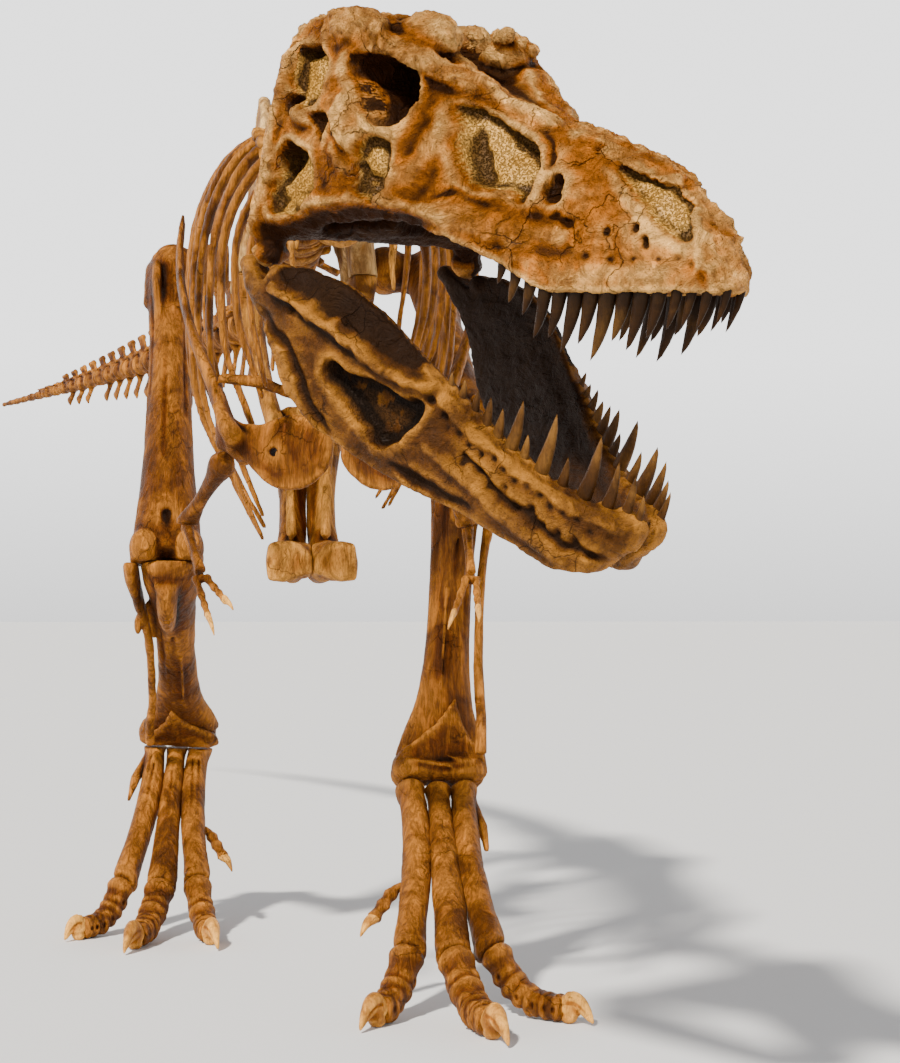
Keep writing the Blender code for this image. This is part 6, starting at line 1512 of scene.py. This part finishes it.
# %% Thigh bones
def model_thigh(leg, tag):
    """Shaft, head, crests and the two rollers of the knee."""
    hip, knee, ankle = [np.array(leg[k], float) for k in ("hip", "knee", "ankle")]
    side = leg["side"]
    thigh, shin = unit(knee - hip), unit(ankle - knee)
    out, fore = leg_axes(leg, thigh)
    length = np.linalg.norm(knee - hip)
    at, low = placer(hip, out, fore, thigh), placer(knee, out, fore, thigh)
    clay = block((hip, knee, hip - spot(side * 0.22, 0, -0.10)), 0.235, 0.0073)
    loft(clay, [(at(0, 0.035 * math.sin(math.pi * max(place, 0)), place * length), wide, deep) for place,
        wide, deep in ((-0.055, 0.050, 0.064), (-0.02, 0.084, 0.096), (0.06, 0.094, 0.104),
        (0.20, 0.086, 0.094), (0.35, 0.080, 0.086), (0.50, 0.083, 0.084), (0.64, 0.090, 0.086),
        (0.77, 0.104, 0.092), (0.88, 0.120, 0.100), (0.95, 0.122, 0.098))], out, 0.01, 2)
    loft(clay, [(at(0, 0, 0.02), 0.083, 0.092)] + [(hip + spot(-side * inward, 0, lift), wide,
        deep) for inward, lift, wide, deep in ((0.10, 0, 0.076, 0.080), (0.165, 0.01, 0.094, 0.096),
        (0.20, 0.006, 0.092, 0.094))], (0, 0, 1), 0.03)
    # front crest, outer crest and the ridge where the tail muscle ended
    loft(clay, placed(at, (0.055, 0.10, 0.05, 0.018, 0.034), (0.055, 0.11, 0.15, 0.020, 0.038),
        (0.045, 0.085, 0.27, 0.014, 0.020)), out, 0.02)
    clay.limb(placed(at, (0.075, -0.03, -0.01), (0.092, 0, 0.16)), (0.030, 0.016), 0.03)
    clay.limb(placed(at, (-0.060, -0.050, 0.42), (-0.062, -0.062, 0.56), (-0.055, -0.045, 0.68)),
        (0.014, 0.024, 0.012), 0.03)
    for across in (-0.078, 0.078):
        loft(clay, placed(low, (across, 0.115, -0.045, 0.044, 0.044), (across, 0.06, -0.045, 0.056, 0.074),
            (across, -0.02, -0.045, 0.056, 0.084), (across, -0.085, -0.045, 0.054, 0.084),
            (across, -0.130, -0.045, 0.042, 0.056)), out, 0.02)
        clay.egg(low(across * 1.8205, 0.01, -0.055), (0.018, 0.036, 0.036), soft=0.015, away=True)
    clay.limb(placed(low, (0, 0.10, -0.16), (0, 0.150, -0.05), (0, 0.12, 0.06)), (0.012, 0.030, 0.030),
        0.03, away=True)
    clay.limb(placed(low, (0, -0.10, -0.14), (0, -0.165, -0.02), (0, -0.12, 0.08)), (0.014, 0.034, 0.032),
        0.03, away=True)
    for k, (reach, turn) in enumerate(((0.30, 0.5), (0.42, 1.0), (0.52, 0.1), (0.60, 0.7), (0.38, -0.4),
        (0.66, -0.6))):
        # long muscle lines down the shaft
        bow = 0.035 * math.sin(math.pi * reach)
        middle = at(0.082 * math.sin(turn * 2.0), bow + 0.082 * math.cos(turn * 2.0), reach * length)
        clay.limb((middle - thigh * 0.20, middle, middle + thigh * 0.22), (0.002, 0.0055, 0.002), 0.012,
            away=k % 2 == 0)
    clay.trim((side * 0.2855, 0, 0), (-side, 0, 0))
    plane = unit(thigh * 0.72 + shin * 0.28)
    clay.trim(knee + plane * (KNEE_CUT - 0.0008), plane, 0.012)
    cast(clay, "femur_" + tag, LIMB_BONE, seed=101 + side, **LEG_LOOK)
    return plane


# %% Shin bones and ankles
TONGUE = ((-0.150, -0.06), (-0.152, 0.000), (-0.120, 0.045), (-0.070, 0.085), (-0.020, 0.130),
    (0.012, 0.185), (0.030, 0.215), (0.044, 0.180), (0.062, 0.120), (0.100, 0.065), (0.145, 0.025),
    (0.152, -0.02), (0.150, -0.06))


def model_shank(leg, tag, knee_plane):
    """Tibia with its crest, fibula and ankle block."""
    hip, knee, ankle = [np.array(leg[k], float) for k in ("hip", "knee", "ankle")]
    foot = np.array(leg["knuckles"][1], float)
    side = leg["side"]
    shin, sole = unit(ankle - knee), unit(foot - ankle)
    out, fore = leg_axes(leg, shin)
    length = np.linalg.norm(ankle - knee)
    shift = leg["shin_shift"]
    at = placer(knee, out, fore, shin)
    clay = block((knee, ankle), 0.215, 0.0066)
    loft(clay, [(at(shift, -0.02, place * length), wide, deep) for place, wide,
        deep in ((-0.03, 0.104, 0.114), (0.03, 0.110, 0.120), (0.09, 0.104, 0.112), (0.18, 0.086, 0.094),
        (0.28, 0.078, 0.078), (0.38, 0.074, 0.068), (0.52, 0.073, 0.062), (0.66, 0.079, 0.060),
        (0.78, 0.100, 0.058), (0.87, 0.136, 0.062), (0.94, 0.158, 0.068), (1.02, 0.164, 0.072))], out, 0.01,
        2)
    loft(clay, placed(at, (0, 0.10, -0.01, 0.044, 0.058), (0, 0.135, 0.08, 0.036, 0.066),
        (0, 0.110, 0.17, 0.030, 0.052), (0, 0.07, 0.27, 0.020, 0.030), (0, 0.030, 0.37, 0.014, 0.018)), out,
        0.03)
    clay.limb(placed(at, (0.075, 0.11, 0.02), (0.070, 0.11, 0.12)), (0.034, 0.016), 0.03, away=True)
    for across in (-0.060, 0.060):
        clay.egg(at(across, -0.075, 0.035), (0.050, 0.050, 0.045), soft=0.03)
    clay.limb(placed(at, (0, -0.155, 0.04), (0, -0.125, 0.20)), (0.026, 0.008), 0.03, away=True)
    clay.limb(placed(at, (0.075, 0.01, 0.22), (0.066, 0.01, 0.42)), (0.012, 0.006), 0.02)
    for sway, reach in ((-0.7, 0.25), (0.1, 0.35), (0.8, 0.45), (-0.3, 0.6), (0.45, 0.62)):
        middle = at(shift + 0.070 * math.sin(sway), 0.070 * math.cos(sway) - 0.02, reach * length)
        clay.limb((middle - shin * 0.18, middle, middle + shin * 0.16), (0.002, 0.005, 0.002), 0.012,
            away=sway > 0)
    low_plane = unit(shin * 0.75 + sole * 0.25)
    low_point = ankle - low_plane * 0.085
    low = placer(ankle, out, fore, shin)
    blade(clay, [(a * 1.06, b) for a, b in TONGUE], out, -shin, low(shift, 0.036, -0.08), 0.0001, 0.001)
    clay.trim(knee + knee_plane * (KNEE_CUT + 0.0008), -knee_plane, 0.010)
    clay.trim(low_point - low_plane * 0.002, low_plane, 0.006)
    cast(clay, "tibia_" + tag, LIMB_BONE, seed=111 + side, **LEG_LOOK)
    # ankle block
    clay = block((ankle, ankle + sole * 0.05, ankle - shin * 0.24), 0.215, 0.0055)
    loft(clay, [(low(place, 0, -0.04), wide, deep) for place, wide,
        deep in ((0.132, 0.050, 0.062), (0.112, 0.070, 0.090), (0.062, 0.064, 0.086), (0.0, 0.048, 0.068),
        (-0.066, 0.062, 0.080), (-0.112, 0.072, 0.086), (-0.132, 0.052, 0.060))], shin, 0.01)
    clay.limb(placed(low, (0, -0.13, 0.048), (0, 0.13, 0.048)), 0.026, 0.05, away=True)
    for line in range(7):
        # wrinkled ridges across the front of the rollers
        a, b = (-0.125 + 0.02 * line, 0.118 - 0.016 * line) if line % 2 else (0.125 - 0.015 * line, 0.020)
        drop = -0.090 + 0.016 * line
        clay.limb(placed(low, (a, 0.084, drop), (mix(a, b, 0.5), 0.074, drop + 0.012),
            (b, 0.082, drop - 0.004)), (0.002, 0.0045, 0.002), 0.012)
    blade(clay, TONGUE, out, -shin, low(shift, 0.042, -0.08), 0.022, 0.03, 0.07, 0.30, 0.010, 3)
    for across in (-0.176, 0.176):
        clay.egg(low(across, 0, -0.04), (0.020, 0.034, 0.034), soft=0.014, away=True)
    foot_plane = unit(shin * 0.45 + sole * 0.55)
    low_cut = ankle + foot_plane * 0.012
    clay.trim(low_cut - foot_plane * 0.001, foot_plane, 0.030)
    cast(clay, "astragalus_" + tag, LIMB_BONE, 0.0026, 0.022, 121 + side, lumps=0.003, crease=0.7)
    # fibula
    clay = block((knee + out * 0.14, ankle + out * 0.13 + fore * 0.09), 0.125, 0.0060)
    loft(clay, [(at(shift + outward, forward, place * length), wide, deep) for place, outward, forward,
        wide, deep in ((-0.03, 0.146, -0.02, 0.026, 0.080), (0.02, 0.146, -0.02, 0.028, 0.086),
        (0.07, 0.144, -0.018, 0.026, 0.078), (0.13, 0.134, -0.010, 0.022, 0.058),
        (0.19, 0.124, 0.00, 0.021, 0.043), (0.30, 0.108, 0.008, 0.017, 0.031),
        (0.42, 0.098, 0.015, 0.0165, 0.025), (0.66, 0.100, 0.050, 0.016, 0.021),
        (0.82, 0.118, 0.078, 0.017, 0.021), (1.00, 0.122, 0.096, 0.023, 0.020))], out, 0.008, 2)
    for step in (-0.045, -0.015, 0.02, 0.05):
        clay.limb(placed(at, (0.176, step - 0.02, 0), (0.176, step * 0.7 - 0.02, 0.10),
            (0.156, step * 0.25 - 0.02, 0.20)), (0.008, 0.007, 0.003), 0.007, away=True)
    clay.egg(at(0.118, 0.032, 0.27 * length), (0.016, 0.022, 0.040), soft=0.015)
    clay.trim(knee + knee_plane * (KNEE_CUT + 0.0008), -knee_plane, 0.010)
    clay.trim(low_point - low_plane * 0.002, low_plane, 0.006)
    cast(clay, "fibula_" + tag, LIMB_BONE, seed=131 + side, **LEG_LOOK)
    return low_cut, foot_plane


# %% Feet
def toe_points(start, tip, bones, gauge):
    """Knuckle centres and sizes of a toe, its heading, and the points of its claw."""
    start = np.array(start, float)
    ground = spot(tip[0], tip[1] + 0.03, FLOOR_Z + 0.010)
    flat = spot(ground[0] - start[0], ground[1] - start[1], 0)
    reach, heading = np.linalg.norm(flat), unit(flat)
    claw = (0.36, 0.30, 0.26)[bones - 3]
    places = np.concatenate([[0.0], np.cumsum([1.0 - 0.16 * k for k in range(bones)])])
    places = places / places[-1] * (1.0 - claw)
    knuckles = []
    for place in places:
        size = gauge * mix(1.0, 0.72, place)
        resting = FLOOR_Z + size * 0.95
        height = read(((0.0, start[2]), (0.20, mix(start[2], resting, 0.62)), (0.42, resting),
            (1.0, resting)), place)[0]
        centre = start + heading * (reach * place)
        knuckles.append((spot(centre[0], centre[1], height), size))
    base, thick = knuckles[-1]
    span = reach * claw
    horn = [(base + heading * 0.012, thick * 0.70, thick * 0.90)]
    for share, lift, size in ((0.22, 0.020, 0.92), (0.40, 0.022, 0.80), (0.58, 0.014, 0.64),
        (0.76, -0.002, 0.46), (0.90, -0.020, 0.28)):
        horn.append((base + heading * (span * share) + spot(0, 0, lift), thick * size * 0.66,
            thick * size * 0.92))
    horn.append((ground, 0.004, 0.004))
    return knuckles, heading, horn


def model_claw(clay, horn, across):
    """A curved claw with a groove down each side."""
    loft(clay, horn, across, 0.004, 3)
    clay.egg(horn[0][0] - spot(0, 0, horn[0][2] * 0.62), (horn[0][1] * 0.8, horn[0][1] * 1.0,
        horn[0][2] * 0.5), soft=0.012)
    for side in (-1, 1):
        line = [centre + across * side * wide * 1.02 + spot(0, 0, deep * 0.10) for centre, wide,
            deep in horn[1:6]]
        clay.limb(line, (0.005, 0.0048, 0.0042, 0.0035, 0.002), 0.004, away=True)


def model_foot(leg, tag, low_cut, foot_plane):
    """Three long foot bones, four toes and the claws."""
    ankle = np.array(leg["ankle"], float)
    side = leg["side"]
    knuckles = [np.array(k, float) for k in leg["knuckles"]]
    sole = unit(knuckles[1] - ankle)
    out, _ = leg_axes(leg, sole)
    lanes = (-0.090, 0.000, 0.084)
    reach = [spot(x, y, FLOOR_Z) for x, y in leg["claws"]] + knuckles + [np.array(leg["hallux"], float)]
    claws = block(reach, 0.075, 0.0042)
    for k, name in enumerate(("second", "third", "fourth")):
        top, end = ankle + out * lanes[k] - sole * 0.03, knuckles[k]
        axis = unit(end - top)
        pull = out * (0.023, 0.0, -0.023)[k]
        wide, deep = (0.046, 0.040, 0.041)[k], (0.078, 0.060, 0.076)[k]
        neck, waist, low, knuckle = ((0.046, 0.048, 0.047, 0.051), (0.041, 0.045, 0.050, 0.056),
            (0.045, 0.047, 0.045, 0.049))[k]
        clay = block((top, end, leg["splint"]) if k == 2 else (top, end), 0.105, 0.0055)
        loft(clay, [(top - axis * 0.040, wide * 1.04, deep)] + [(mix(top, end, t) + pull * bow,
            *sizes) for t, bow, *sizes in ((0.050, 0, wide * 1.16, deep * 1.05),
            (0.095, 0, wide * 1.06, deep * 1.02), (0.130, 0.2, wide * 0.96, deep * 0.90),
            (0.19, 0.5, wide * 0.97, deep * 0.82), (0.30, 0.8, neck, 0.058), (0.50, 1, waist, 0.052),
            (0.74, 0.6, low, 0.048), (0.87, 0.2, knuckle * 0.95, 0.052), (0.95, 0, knuckle * 1.02, 0.056),
            (1, 0, knuckle * 0.96, 0.056))], out, 0.008, 2)
        for across in (-1, 1):
            clay.egg(end + out * across * knuckle * 0.48 + axis * 0.006, (knuckle * 0.54, 0.036, 0.052),
                np.stack([out, axis, np.cross(out, axis)], 1), 0.012)
            clay.egg(end + out * across * knuckle * 1.08 - axis * 0.004, (0.012, 0.018, 0.018), soft=0.008,
                away=True)
        for shift in (-0.4, 0.1, 0.5):
            line = mix(top, end, 0.5) + pull + out * waist * shift + np.cross(out, axis) * 0.053
            clay.limb((line - axis * 0.20, line, line + axis * 0.16), (0.002, 0.004, 0.002), 0.008,
                away=True)
        if k == 2:
            splint = np.array(leg["splint"], float)
            start = mix(top, end, 0.14) + out * 0.012
            clay.limb((start, mix(start, splint, 0.55) + out * 0.012, splint), (0.022, 0.018, 0.009), 0.01)
        clay.trim(low_cut + foot_plane * 0.006, -foot_plane, 0.006)
        points, heading, horn = toe_points(end, leg["claws"][k], 3 + k, (0.058, 0.062, 0.054)[k])
        joint = unit(axis * 0.45 + heading * 0.55)
        clay.trim(end + joint * 0.020, joint, 0.006)
        cast(clay, f"metatarsal_{name}_{tag}", LIMB_BONE, seed=141 + k + side, **LEG_LOOK)
        # the toe's short bones
        across_toe = spot(heading[1], -heading[0], 0)
        clay = block([p for p, _ in points], 0.080, 0.0044)
        for n, ((a, big), (b, small)) in enumerate(zip(points, points[1:])):
            lean = unit(b - a)
            up = np.cross(across_toe, lean)
            up = up if up[2] > 0 else -up
            if n == 0:
                a = a + joint * 0.026
            gap = 0.003
            loft(clay, [(a + lean * gap, big * 0.86, big * 0.88),
                (mix(a, b, 0.12) + lean * gap, big * 0.96, big * 0.98),
                *shaft(a, b, (0.32, big * 0.87, big * 0.86), (0.55, big * 0.80, big * 0.78),
                (0.74, small * 0.88, small * 0.86)), (b - lean * (small * 0.42 + gap), small * 0.86,
                small * 0.88)], across_toe, 0.006, 2)
            for turn in (-small, small):
                clay.egg(b + across_toe * turn * 0.40 - lean * (small * 0.44 + gap),
                    (small * 0.50, small * 0.62, small * 0.84), np.stack([across_toe, lean, up], 1), 0.006)
                clay.egg(b + across_toe * turn * 0.98 - lean * small * 0.46,
                    (small * 0.12, small * 0.24, small * 0.24), soft=0.005, away=True)
            clay.limb((a, b), (big * 0.5, small * 0.5), 0.004)
        clay.trim(end + joint * 0.024, -joint)
        clay.trim((0, 0, FLOOR_Z + 0.0015), (0, 0, -1))
        cast(clay, f"toe_{name}_{tag}", LIMB_BONE, 0.0014, 0.020, 151 + k + side, lumps=0.0010)
        model_claw(claws, horn, across_toe)
    # first toe, held clear of the floor
    tip = np.array(leg["hallux"], float)
    root = mix(ankle, knuckles[0], 0.70) + out * (lanes[0] * 0.42 - 0.046) + spot(0, 0.050, 0)
    clay = block((root, tip, mix(ankle, knuckles[0], 0.63)), 0.05, 0.003)
    for joint in (((0, 0.020, 0.024), (0.12, 0.017, 0.019), (0.24, 0.023, 0.025)),
        ((0.27, 0.021, 0.023), (0.40, 0.017, 0.018), (0.54, 0.023, 0.025))):
        loft(clay, shaft(root, tip, *joint), (0, 0, 1), 0.004)
    clay.limb((root, mix(root, tip, 0.6)), 0.012, 0.004)
    anchor = mix(ankle, knuckles[0], 0.63) + out * (lanes[0] * 0.37 - 0.030)
    clay.limb((anchor, mix(anchor, root, 0.45) + spot(0, 0.006, 0), root), (0.009, 0.015, 0.020), 0.010)
    cast(clay, "toe_first_" + tag, LIMB_BONE, 0.0010, 0.015, 161 + side)
    bow = mix(root, tip, 0.78) + spot(0, 0, 0.012)
    horn = [(mix(root, tip, 0.57), 0.018, 0.024), (mix(root, tip, 0.68) + spot(0, 0, 0.008), 0.016, 0.021),
        (bow, 0.013, 0.017), (mix(bow, tip, 0.5) + spot(0, 0, 0.003), 0.008, 0.011), (tip, 0.003, 0.004)]
    loft(claws, horn, (0, 0, 1), 0.004, 3)
    claws.trim((0, 0, FLOOR_Z + 0.0015), (0, 0, -1))
    cast(claws, "claws_" + tag, CLAW, 0.0009, 0.014, 171 + side, name="claws_" + tag)


for tag, leg in LEGS.items():
    model_foot(leg, tag, *model_shank(leg, tag, model_thigh(leg, tag)))

# %% [markdown]
# ## Shoulders, arms and hands
#
# The arms are famously small: each would fit inside the jaws. The shoulder blade is a long
# strap over the front ribs, joined to a broad round plate at the chest. The hand has two
# fingers with curved claws.

# %% Arms
ARMS = {"right": {"side": -1, "elbow": (-0.430, -1.760, 1.520), "wrist": (-0.385, -1.890, 1.365),
    "tips": ((-0.290, -2.020, 1.262), (-0.345, -2.010, 1.190))},
    "left": {"side": 1, "elbow": (0.430, -1.760, 1.520), "wrist": (0.420, -1.900, 1.362),
    "tips": ((0.335, -2.035, 1.205), (0.425, -2.050, 1.225))},}


def model_arm(arm, tag):
    """Shoulder blade and chest plate, upper arm, forearm and hand."""
    side = arm["side"]
    at = beside(side)
    socket = at(0.290, -2.015, 1.740)
    elbow, wrist = np.array(arm["elbow"], float), np.array(arm["wrist"], float)
    clay = side_block(side, (0, -2.28, 1.54), (0.56, -1.48, 2.52), 0.0060)
    loft(clay, placed(at, (0.280, -2.060, 1.740, 0.090, 0.032), (0.312, -2.005, 1.800, 0.074, 0.028),
        (0.335, -1.992, 1.880, 0.056, 0.023), (0.370, -1.950, 1.970, 0.048, 0.019),
        (0.405, -1.900, 2.060, 0.046, 0.017), (0.432, -1.840, 2.160, 0.048, 0.015),
        (0.448, -1.780, 2.250, 0.054, 0.013), (0.453, -1.720, 2.340, 0.063, 0.012),
        (0.451, -1.670, 2.400, 0.069, 0.011), (0.447, -1.635, 2.445, 0.062, 0.009)), (0, -1, 0), 0.006, 2)
    face = unit((side * 0.42, -0.86, 0.10))
    flat = unit(np.cross((0, 0, 1), face))
    rise = np.cross(face, flat)
    outline = [(0.128 * math.cos(k * math.pi / 8) * (1.0 + 0.05 * math.sin(k * 1.7)),
        0.112 * math.sin(k * math.pi / 8)) for k in range(16)]
    disc = at(0.127, -2.112, 1.715)
    blade(clay, outline, flat, rise, disc, 0.019, 0.012, 0.07, 0.45, 0.007)
    clay.limb(placed(at, (0.300, -2.030, 1.760), (0.190, -2.085, 1.735)), (0.048, 0.060), 0.02, face, 0.42)
    # half of the wishbone, from the blade to the middle of the chest
    clay.limb(placed(at, (0.322, -2.030, 1.935), (0.215, -2.100, 1.918), (0.095, -2.130, 1.868)),
        (0.015, 0.018, 0.012), 0.012)
    # the hole through the plate and the socket for the arm
    hole = disc + unit(spot(side, 0, 0) - face * face[0] * side) * 0.045
    clay.limb((hole - face * 0.06, hole + face * 0.06), 0.012, 0.004, away=True)
    clay.egg(at(0.325, -2.025, 1.685), (0.040, 0.046, 0.036), soft=0.012, away=True)
    clay.limb(placed(at, (0.310, -2.090, 1.785), (0.340, -2.060, 1.85)), (0.022, 0.014), 0.02)
    cast(clay, "scapula_" + tag, LIMB_BONE, 0.0016, 0.025, 181 + side, lumps=0.0015, flow=(1, 1, 0.4))
    # upper arm
    upper, lower = unit(elbow - socket), unit(wrist - elbow)
    start = socket + upper * 0.055 + spot(side * 0.004, 0.010, -0.004)
    across = unit((side, 0.3, 0))
    clay = block((start, elbow), 0.075, 0.0038)
    loft(clay, [(start, 0.030, 0.034), (start + upper * 0.022, 0.041, 0.044),
        *shaft(start, elbow, (0.16, 0.036, 0.038), (0.28, 0.027, 0.031), (0.45, 0.022, 0.025),
        (0.62, 0.0205, 0.021), (0.78, 0.025, 0.022), (0.90, 0.031, 0.024)),
        (elbow - upper * 0.004, 0.028, 0.022)], across, 0.005, 2)
    clay.limb([mix(start, elbow, t) - spot(0, ahead, 0) for t, ahead in ((0.12, 0.022), (0.27, 0.038),
        (0.46, 0.030))], (0.009, 0.012, 0.006), 0.01)
    for turn in (-1, 1):
        clay.egg(elbow - upper * 0.016 + across * turn * 0.017, (0.018, 0.021, 0.019), soft=0.008)
    bend = unit(upper * 0.5 + lower * 0.5)
    clay.trim(elbow - bend * 0.001, bend, 0.004)
    cast(clay, "humerus_" + tag, LIMB_BONE, 0.0011, 0.018, 191 + side, lumps=0.0008, flow=(1, 1, 0.35))
    # forearm
    lean = unit(np.cross(lower, spot(side, 0, 0)))
    for name, shift, size in (("ulna", -0.0185, 0.0165), ("radius", 0.0185, 0.0140)):
        offset = lean * shift
        clay = block((elbow + offset, wrist + offset), 0.045, 0.0028)
        near, far = elbow + offset, wrist + offset
        loft(clay, [(near - lower * 0.006, size * 1.10, size * 1.05),
            (near + lower * 0.022, size * 1.05, size), *shaft(near, far, (0.34, size * 0.78, size * 0.76),
            (0.6, size * 0.70, size * 0.70), (0.85, size * 0.92, size * 0.88),
            (1, size * 1.04, size * 0.98))], across, 0.003, 2)
        clay.trim(elbow + bend * 0.001, -bend)
        clay.trim(wrist - lower * 0.001, lower)
        cast(clay, f"{name}_{tag}", LIMB_BONE, 0.0008, 0.014, 201 + side)
    # hand, with its claws
    tips = [np.array(t, float) for t in arm["tips"]]
    clay = block([wrist] + tips, 0.05, 0.0026)
    horns = block([wrist] + tips, 0.05, 0.0026)
    for turn in (-1, 0, 1):
        clay.egg(wrist + lower * 0.013 + across * turn * 0.018, (0.013, 0.012, 0.014), soft=0.004)
    for k, tip in enumerate(tips):
        root = wrist + lower * 0.012 + across * (0.016 * (1 if k else -1))
        for low, high, big in ((0.02, 0.29, 0.0130), (0.32, 0.45, 0.0120), (0.47, 0.65, 0.0115)):
            loft(clay, shaft(root, tip, (low, big, big * 1.05), ((low + high) / 2, big * 0.72, big * 0.75),
                (high, big * 0.95, big)), across, 0.002, 3)
        clay.limb((root, mix(root, tip, 0.66)), 0.0065, 0.003)
        bow = mix(root, tip, 0.87) + spot(0, -0.006, 0.006)
        horn = [(mix(root, tip, 0.665), 0.0095, 0.0150), (mix(root, tip, 0.76) + spot(0, -0.006, 0.005),
            0.0080, 0.0125), (bow, 0.0062, 0.0092), (mix(bow, tip, 0.6) + spot(0, -0.001, 0.001), 0.0040,
            0.0055), (tip, 0.0020, 0.0025)]
        loft(horns, horn, across, 0.003, 3)
    clay.trim(wrist + lower * 0.001, -lower)
    cast(clay, "hand_" + tag, LIMB_BONE, 0.0007, 0.012, 211 + side)
    cast(horns, "hand_claws_" + tag, CLAW, 0.0005, 0.010, 221 + side, name="hand_claws_" + tag)


for tag, arm in ARMS.items():
    model_arm(arm, tag)
print("bones made:", len(made))

# %% [markdown]
# ## Floor, light and camera
#
# A plain pale floor and a big soft light from the upper left of the view give the bones
# one clear shadow, as in a museum's studio picture. The camera stands in front of the
# right foot at a standing person's chest height and looks slightly up.

# %% Floor
FLOOR_HALF = 160.0
corners = [(x * FLOOR_HALF, y * FLOOR_HALF, 0) for x, y in ((-1, -1), (1, -1), (1, 1), (-1, 1))]
ground = to_mesh("studio_floor", corners, [(0, 1, 2, 3)])
pale = bpy.data.materials.new("pale_studio_floor")
pale.use_nodes = True
tree = pale.node_tree
mottle = add(tree, "ShaderNodeTexNoise", {"Scale": 0.6, "Detail": 2.0})
tree.links.new(blend_colour(tree, mottle.outputs["Fac"], (0.72, 0.72, 0.73), (0.75, 0.75, 0.76)),
    tree.nodes["Principled BSDF"].inputs["Base Color"])
tree.nodes["Principled BSDF"].inputs["Roughness"].default_value = 0.9
ground.data.materials.append(pale)

# %% Light
world = bpy.data.worlds.new("studio")
bpy.context.scene.world = world
world.use_nodes = True
sky = world.node_tree
sky.nodes["Background"].inputs["Color"].default_value = (1.0, 1.0, 1.0, 1.0)
# the wall of the studio is bright up to about twenty degrees and the ceiling is dim
upward = add(sky, "ShaderNodeSeparateXYZ", {0: add(sky,
    "ShaderNodeTexCoord").outputs["Generated"]}).outputs["Z"]
wall = remap(sky, upward, -0.01, 0.12, 1.34, 2.30)
sky.links.new(sums(sky, "MULTIPLY", wall, remap(sky, upward, 0.32, 0.55, 1.0, 0.08)),
    sky.nodes["Background"].inputs["Strength"])


# %% Key light
sun = bpy.data.lights.new("key_light", "SUN")
sun.energy = 6.6
sun.angle = math.radians(4.5)
sun.color = (1.0, 0.95, 0.86)
key = bpy.data.objects.new("key_light", sun)
key.rotation_euler = Vector((4.3, 6.0, -7.7)).to_track_quat("-Z", "Y").to_euler()
key.location = (-3.6, -9.6, 9.6)
bpy.context.scene.collection.objects.link(key)

# %% Camera
CAMERA_PLACE = np.array((-0.37, -7.893, 1.272)) + SHIFT
CAMERA_YAW = math.radians(6.92)
FOCAL_PIXELS = 2013.0
FRAME_HEIGHT = 1063.0
HORIZON_ROW = 606.8
SENSOR = 36.0
CAMERA_PITCH = math.atan((HORIZON_ROW - FRAME_HEIGHT / 2) / FOCAL_PIXELS)
lens = bpy.data.cameras.new("photo_camera")
lens.sensor_fit = "VERTICAL"
lens.sensor_height = SENSOR
lens.sensor_width = SENSOR
lens.lens = FOCAL_PIXELS / FRAME_HEIGHT * SENSOR
lens.clip_end = 200.0
camera = bpy.data.objects.new("photo_camera", lens)
camera.location = CAMERA_PLACE
ahead = Vector((math.sin(CAMERA_YAW) * math.cos(CAMERA_PITCH), math.cos(CAMERA_YAW)
    * math.cos(CAMERA_PITCH), math.sin(CAMERA_PITCH)))
camera.rotation_euler = ahead.to_track_quat("-Z", "Y").to_euler()
bpy.context.scene.collection.objects.link(camera)
bpy.context.scene.camera = camera
print("lens", round(lens.lens, 2), "mm")
